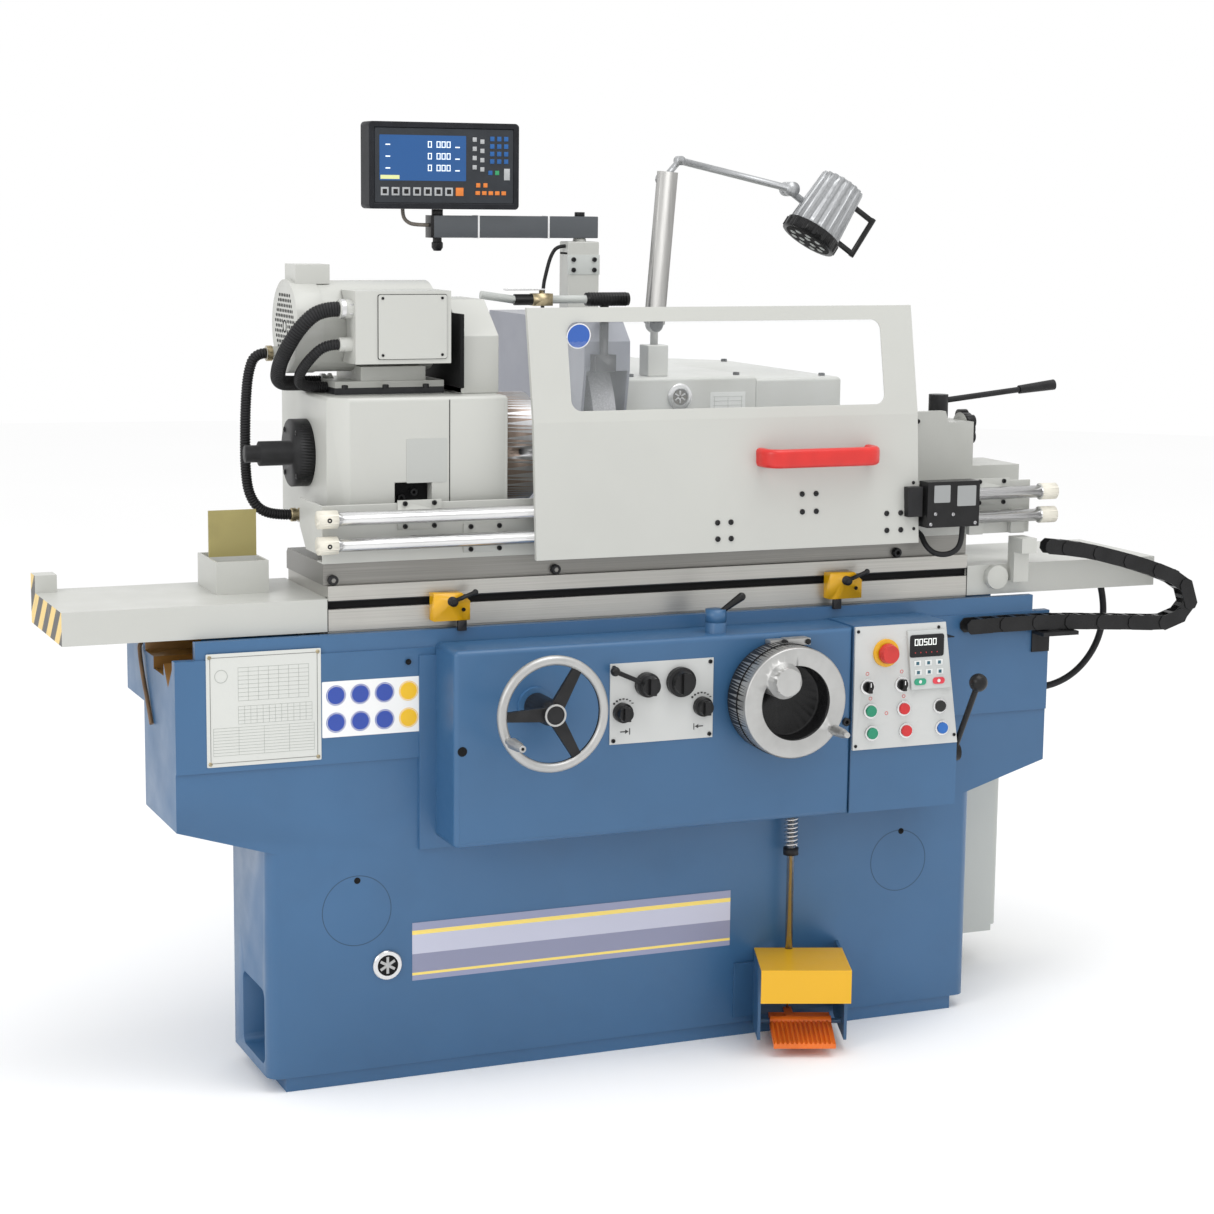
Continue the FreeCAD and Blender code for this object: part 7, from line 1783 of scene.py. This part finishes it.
def build_lenses():
    """The lamp's dark face, its lenses and the grips round its bezel."""
    mesh = bmesh.new()
    add_turned(mesh, LAMP_CENTRE + LAMP_OUT * 24, LAMP_OUT,
               [(-0.4, 0), (-0.4, 52), (0.8, 52), (1.2, 49), (1.2, 0)], steps=48)
    for radius, count in ((36, 9), (15, 3)):
        for place in lamp_ring(radius, count, 25.1):
            add_turned(mesh, place, LAMP_OUT, [(0, 8.4), (0.8, 8.4), (0.8, 7.4), (0.2, 7)],
                       finish=1, steps=20)
            add_turned(mesh, place, LAMP_OUT, [(0.1, 6.8), (1.4, 5.2), (1.9, 2.6), (2, 0)],
                       finish=2, steps=16)
    for place in lamp_ring(59, 16, 3):
        add_turned(mesh, place, LAMP_OUT, [(0, 4.4), (19, 4.4), (20, 3.4), (20, 0)], finish=3,
                   steps=12)
    finishes = [dull_black(), black_steel(), key_colour("lens_clear", (0.35, 0.37, 0.36)),
                black_plastic()]
    place_piece("lamp_lenses", mesh, finishes, "lamp")


# Readout

def build_readout_arm():
    """The readout's arm: square tube, black end cap, ties, hinge and clamp plates."""
    low, high, back = 1547, 1593, ARM_BACK
    mesh = bmesh.new()
    add_block(mesh, (-160, back - 18, low), (212, back + 18, high), edge=2)
    add_block(mesh, (-166, back - 18.4, low - 0.4), (-159, back + 18.4, high + 0.4), finish=1,
              edge=1)
    for across in (-62, 96):
        add_block(mesh, (across, back - 19, low - 1), (across + 4, back + 19, high + 1), finish=2,
                  edge=0.8)
    for across in ARM_ENDS:
        line = [(0, 9.8), (8, 9.8), (10, 12.5), (20, 12.5), (27, 8), (27.6, 0)]
        add_turned(mesh, (across, back, low - 0.4), DOWN, line, finish=1, steps=10)
    add_rod(mesh, (ARM_ENDS[0], back, high), UP, 12, 12.6, finish=1)
    add_rod(mesh, (ARM_ENDS[1], back, high), UP, 11, 9, finish=1)
    finishes = [arm_paint(), black_plastic(), flat_print("tie_white", (0.8, 0.8, 0.8))]
    piece = place_piece("readout_arm_tube", mesh, finishes, "readout_arm")
    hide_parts("display_arm")
    mesh = bmesh.new()
    add_block(mesh, (140, 618, 1512), (212, 662, 1518), edge=1)
    add_block(mesh, (139, 613.6, 1470), (213, 617.4, 1512), edge=1)
    for across, up in product((152, 200), (1480, 1502)):
        add_cap_screw(mesh, (across, 613.6, up), FRONT, 5, 4, finish=1)
    place_piece("post_clamp", mesh, [cabinet_paint(), black_steel()], "wheelhead")


def add_screen(mesh, face):
    """The blue screen: three rows of plain digits, dashes and a pale field."""
    add_card(mesh, (-281, 1664), (-92, 1757), 2, face + 0.1, 0.6, finish=1)
    for up in (1732, 1708, 1684):
        add_digits(mesh, "0", -176, up, 8.6, face - 0.5, finish=2)
        add_digits(mesh, "000", -157, up, 8.6, face - 0.5, finish=2, gap=2.4)
        add_mark(mesh, (-268, up + 4), (-258, up + 6.4), face - 0.4, 0.4, finish=2)
        add_mark(mesh, (-116, up), (-106, up + 2.4), face - 0.4, 0.4, finish=2)
    add_mark(mesh, (-279, 1667), (-238, 1675), face - 0.4, 0.4, finish=3)


def build_readout():
    """The readout unit: case, screen and keys."""
    dress("display_unit", case_black(), edge=sizes().casting_edge)
    face = READOUT_FACE - 1
    mesh = bmesh.new()
    add_card(mesh, (-291, 1619), (13, 1771), 4, face + 1.5, 1.5)
    add_screen(mesh, face)
    for number in range(8):
        across = -270 + 23.4 * number
        add_key(mesh, across, 1642, 17, 17, face, 5 if number == 7 else 4)
        if number < 7:
            add_key(mesh, across, 1642, 9.5, 9.5, face - 1, 6, proud=0.5)
    for column, row in product(range(2), range(4)):
        add_key(mesh, -73 + 17 * column, 1750 - 19 * row - 4 * column, 9, 9, face, 4, proud=1)
    for column, row in product(range(3), range(4)):
        add_key(mesh, -34 + 15.5 * column, 1752 - 15.5 * row, 9.5, 9.5, face, 7)
    for across, up, finish in ((-38, 1682, 7), (-23, 1682, 8), (-65, 1656, 5), (-49, 1656, 5)):
        add_key(mesh, across, up, 9, 9, face, finish)
    add_key(mesh, -1, 1679, 13, 24, face, 4)
    for number in range(5):
        add_key(mesh, -66 + 14.5 * number, 1640, 10, 8, face, 5)
    finishes = [key_colour("face_grey", (0.030, 0.034, 0.040)),
                glow("screen_blue", (0.010, 0.085, 0.27), 0.6),
                glow("digit_pale", (0.80, 0.88, 0.95), 1.0),
                glow("field_pale", (0.62, 0.66, 0.30), 0.8),
                key_colour("key_pale", (0.42, 0.43, 0.44)),
                key_colour("key_orange", (0.75, 0.21, 0.03)), black_plastic(),
                key_colour("key_blue", (0.01, 0.10, 0.32)),
                key_colour("key_leaf", (0.03, 0.30, 0.12))]
    place_piece("readout_face", mesh, finishes, "readout")


# Chain and cabinet

def build_chain():
    """The drag chain between the bed and the table, and its bracket."""
    mesh = bmesh.new()
    mesh.from_mesh(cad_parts["drag_chain"].data)
    bmesh.ops.remove_doubles(mesh, verts=mesh.verts, dist=SEAM)
    chain = place_piece("chain_links", mesh, [black_plastic()], None,
                        sharp=30)
    round_edges(chain, sizes().fine_edge)
    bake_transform(chain)
    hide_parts("drag_chain")
    dress("chain_shelf", black_steel(), edge=sizes().fine_edge)


def build_cabinet():
    """The electrical cabinet behind the bed, with its lock and vents."""
    dress("electrical_cabinet", cabinet_paint(), edge=sizes().sheet_edge)
    side, back = (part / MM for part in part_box("electrical_cabinet")[1][:2])
    mesh = bmesh.new()
    for row in range(8):
        up = 560 + 12 * row
        add_block(mesh, (side - 0.3, 200, up), (side + 0.5, 330, up + 4))
    add_rod(mesh, (600, back, 400), BACK, 13, 7, finish=1)
    place_piece("cabinet_vents", mesh, [dull_black(), black_plastic()], "base")


# Operators

class GRINDER_OT_studio(bpy.types.Operator):
    """Make the camera, floor and lights."""
    bl_idname = "grinder.studio"
    bl_label = "Studio"

    def execute(self, context):
        """Make the camera, floor and lights."""
        build_camera()
        build_stage()
        return {"FINISHED"}


class GRINDER_OT_conduits(bpy.types.Operator):
    """Make the ribbed conduits and their glands."""
    bl_idname = "grinder.conduits"
    bl_label = "Motor conduits"

    def execute(self, context):
        """Make the ribbed conduits and their glands."""
        build_conduits()
        return {"FINISHED"}


class GRINDER_OT_cords(bpy.types.Operator):
    """Make the cables, the hose and the tube."""
    bl_idname = "grinder.cords"
    bl_label = "Cables and hoses"

    def execute(self, context):
        """Make the cables, the hose and the tube."""
        build_small_cords()
        build_hose()
        return {"FINISHED"}


class GRINDER_OT_bed(bpy.types.Operator):
    """Dress the bed with its plates and sight glass."""
    bl_idname = "grinder.bed"
    bl_label = "Bed"

    def execute(self, context):
        """Dress the bed with its plates and sight glass."""
        build_bed()
        build_chart_plate()
        build_sign_plate()
        build_stripe()
        build_sight_glass()
        build_bed_marks()
        return {"FINISHED"}


class GRINDER_OT_apron(bpy.types.Operator):
    """Dress the apron with its index block."""
    bl_idname = "grinder.apron"
    bl_label = "Apron"

    def execute(self, context):
        """Dress the apron with its index block."""
        build_apron()
        return {"FINISHED"}


class GRINDER_OT_panel(bpy.types.Operator):
    """Dress the control plates, keypad, buttons and switches."""
    bl_idname = "grinder.panel"
    bl_label = "Control panel"

    def execute(self, context):
        """Dress the control plates, keypad, buttons and switches."""
        build_panel()
        build_keypad()
        build_buttons()
        return {"FINISHED"}


class GRINDER_OT_handwheels(bpy.types.Operator):
    """Dress the two handwheels."""
    bl_idname = "grinder.handwheels"
    bl_label = "Handwheels"

    def execute(self, context):
        """Dress the two handwheels."""
        build_table_wheel()
        build_infeed_wheel()
        return {"FINISHED"}


class GRINDER_OT_knobs(bpy.types.Operator):
    """Dress the hydraulic knobs and the levers."""
    bl_idname = "grinder.knobs"
    bl_label = "Knobs and levers"

    def execute(self, context):
        """Dress the hydraulic knobs and the levers."""
        build_knobs()
        return {"FINISHED"}


class GRINDER_OT_pedal(bpy.types.Operator):
    """Dress the pedal and make its spring."""
    bl_idname = "grinder.pedal"
    bl_label = "Foot pedal"

    def execute(self, context):
        """Dress the pedal and make its spring."""
        build_pedal()
        build_spring()
        return {"FINISHED"}


class GRINDER_OT_tables(bpy.types.Operator):
    """Dress the tables and covers."""
    bl_idname = "grinder.tables"
    bl_label = "Tables"

    def execute(self, context):
        """Dress the tables and covers."""
        build_tables()
        return {"FINISHED"}


class GRINDER_OT_dogs(bpy.types.Operator):
    """Dress the trip dogs."""
    bl_idname = "grinder.dogs"
    bl_label = "Trip dogs"

    def execute(self, context):
        """Dress the trip dogs."""
        build_dogs()
        return {"FINISHED"}


class GRINDER_OT_workhead(bpy.types.Operator):
    """Dress the workhead, its motor and spindle."""
    bl_idname = "grinder.workhead"
    bl_label = "Workhead"

    def execute(self, context):
        """Dress the workhead, its motor and spindle."""
        build_workhead()
        build_head_detail()
        build_fan_grille()
        return {"FINISHED"}


class GRINDER_OT_tailstock(bpy.types.Operator):
    """Dress the tailstock."""
    bl_idname = "grinder.tailstock"
    bl_label = "Tailstock"

    def execute(self, context):
        """Dress the tailstock."""
        build_tailstock()
        return {"FINISHED"}


class GRINDER_OT_guard(bpy.types.Operator):
    """Dress the guard, its rods and switch."""
    bl_idname = "grinder.guard"
    bl_label = "Sliding guard"

    def execute(self, context):
        """Dress the guard, its rods and switch."""
        build_guard()
        build_handle_bow()
        build_guard_screws()
        build_guard_disc()
        build_guard_rods()
        build_switch()
        return {"FINISHED"}


class GRINDER_OT_wheelhead(bpy.types.Operator):
    """Dress the wheelhead, hood and grinding wheel."""
    bl_idname = "grinder.wheelhead"
    bl_label = "Wheelhead"

    def execute(self, context):
        """Dress the wheelhead, hood and grinding wheel."""
        build_wheelhead()
        build_head_glass()
        build_head_marks()
        return {"FINISHED"}


class GRINDER_OT_coolant(bpy.types.Operator):
    """Dress the coolant line."""
    bl_idname = "grinder.coolant"
    bl_label = "Coolant line"

    def execute(self, context):
        """Dress the coolant line."""
        build_coolant()
        return {"FINISHED"}


class GRINDER_OT_lamp(bpy.types.Operator):
    """Dress the lamp."""
    bl_idname = "grinder.lamp"
    bl_label = "Lamp"

    def execute(self, context):
        """Dress the lamp."""
        build_lamp()
        build_lenses()
        return {"FINISHED"}


class GRINDER_OT_readout(bpy.types.Operator):
    """Make the readout's arm and dress its unit."""
    bl_idname = "grinder.readout"
    bl_label = "Readout"

    def execute(self, context):
        """Make the readout's arm and dress its unit."""
        build_readout_arm()
        build_readout()
        return {"FINISHED"}


class GRINDER_OT_chain(bpy.types.Operator):
    """Make the drag chain and dress its bracket."""
    bl_idname = "grinder.chain"
    bl_label = "Drag chain"

    def execute(self, context):
        """Make the drag chain and dress its bracket."""
        build_chain()
        return {"FINISHED"}


class GRINDER_OT_cabinet(bpy.types.Operator):
    """Dress the electrical cabinet."""
    bl_idname = "grinder.cabinet"
    bl_label = "Electrical cabinet"

    def execute(self, context):
        """Dress the electrical cabinet."""
        build_cabinet()
        return {"FINISHED"}


class GRINDER_PT_pieces(bpy.types.Panel):
    """Lists the machine's pieces, colours and sizes."""
    bl_label = "Grinding machine"
    bl_space_type = "VIEW_3D"
    bl_region_type = "UI"
    bl_category = "Grinder"

    def draw(self, context):
        """Draw the buttons and the values."""
        for kind in OPERATORS:
            self.layout.operator(kind.bl_idname)
        scene = context.scene
        for group in (scene.grinder_colours, scene.grinder_sizes, scene.grinder_studio):
            for name in group.bl_rna.properties.keys():
                if name not in ("rna_type", "name"):
                    self.layout.prop(group, name)


OPERATORS = (GRINDER_OT_studio, GRINDER_OT_conduits, GRINDER_OT_cords, GRINDER_OT_bed,
             GRINDER_OT_apron, GRINDER_OT_panel, GRINDER_OT_handwheels, GRINDER_OT_knobs,
             GRINDER_OT_pedal, GRINDER_OT_tables, GRINDER_OT_dogs, GRINDER_OT_workhead,
             GRINDER_OT_tailstock, GRINDER_OT_guard, GRINDER_OT_wheelhead, GRINDER_OT_coolant,
             GRINDER_OT_lamp, GRINDER_OT_readout, GRINDER_OT_chain, GRINDER_OT_cabinet)
GROUPS = {"grinder_colours": GrinderColours, "grinder_sizes": GrinderSizes,
          "grinder_studio": GrinderStudio}


def register():
    """Register the groups, operators and panel."""
    for name, group in GROUPS.items():
        bpy.utils.register_class(group)
        setattr(bpy.types.Scene, name, bpy.props.PointerProperty(type=group))
    for kind in (*OPERATORS, GRINDER_PT_pieces):
        bpy.utils.register_class(kind)


def unregister():
    """Take the groups, operators and panel away."""
    for kind in reversed((*OPERATORS, GRINDER_PT_pieces)):
        bpy.utils.unregister_class(kind)
    for name, group in GROUPS.items():
        delattr(bpy.types.Scene, name)
        bpy.utils.unregister_class(group)


def corners(box):
    """A box as plain lists of numbers."""
    return [[float(part) for part in corner] for corner in box]


def main():
    """Build everything in order."""
    register()
    for kind in OPERATORS:
        getattr(bpy.ops.grinder, kind.bl_idname.split(".")[1])()
    {"cad": corners(CAD_BOX), "visual": corners(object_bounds())}


if __name__ == "__main__":
    main()
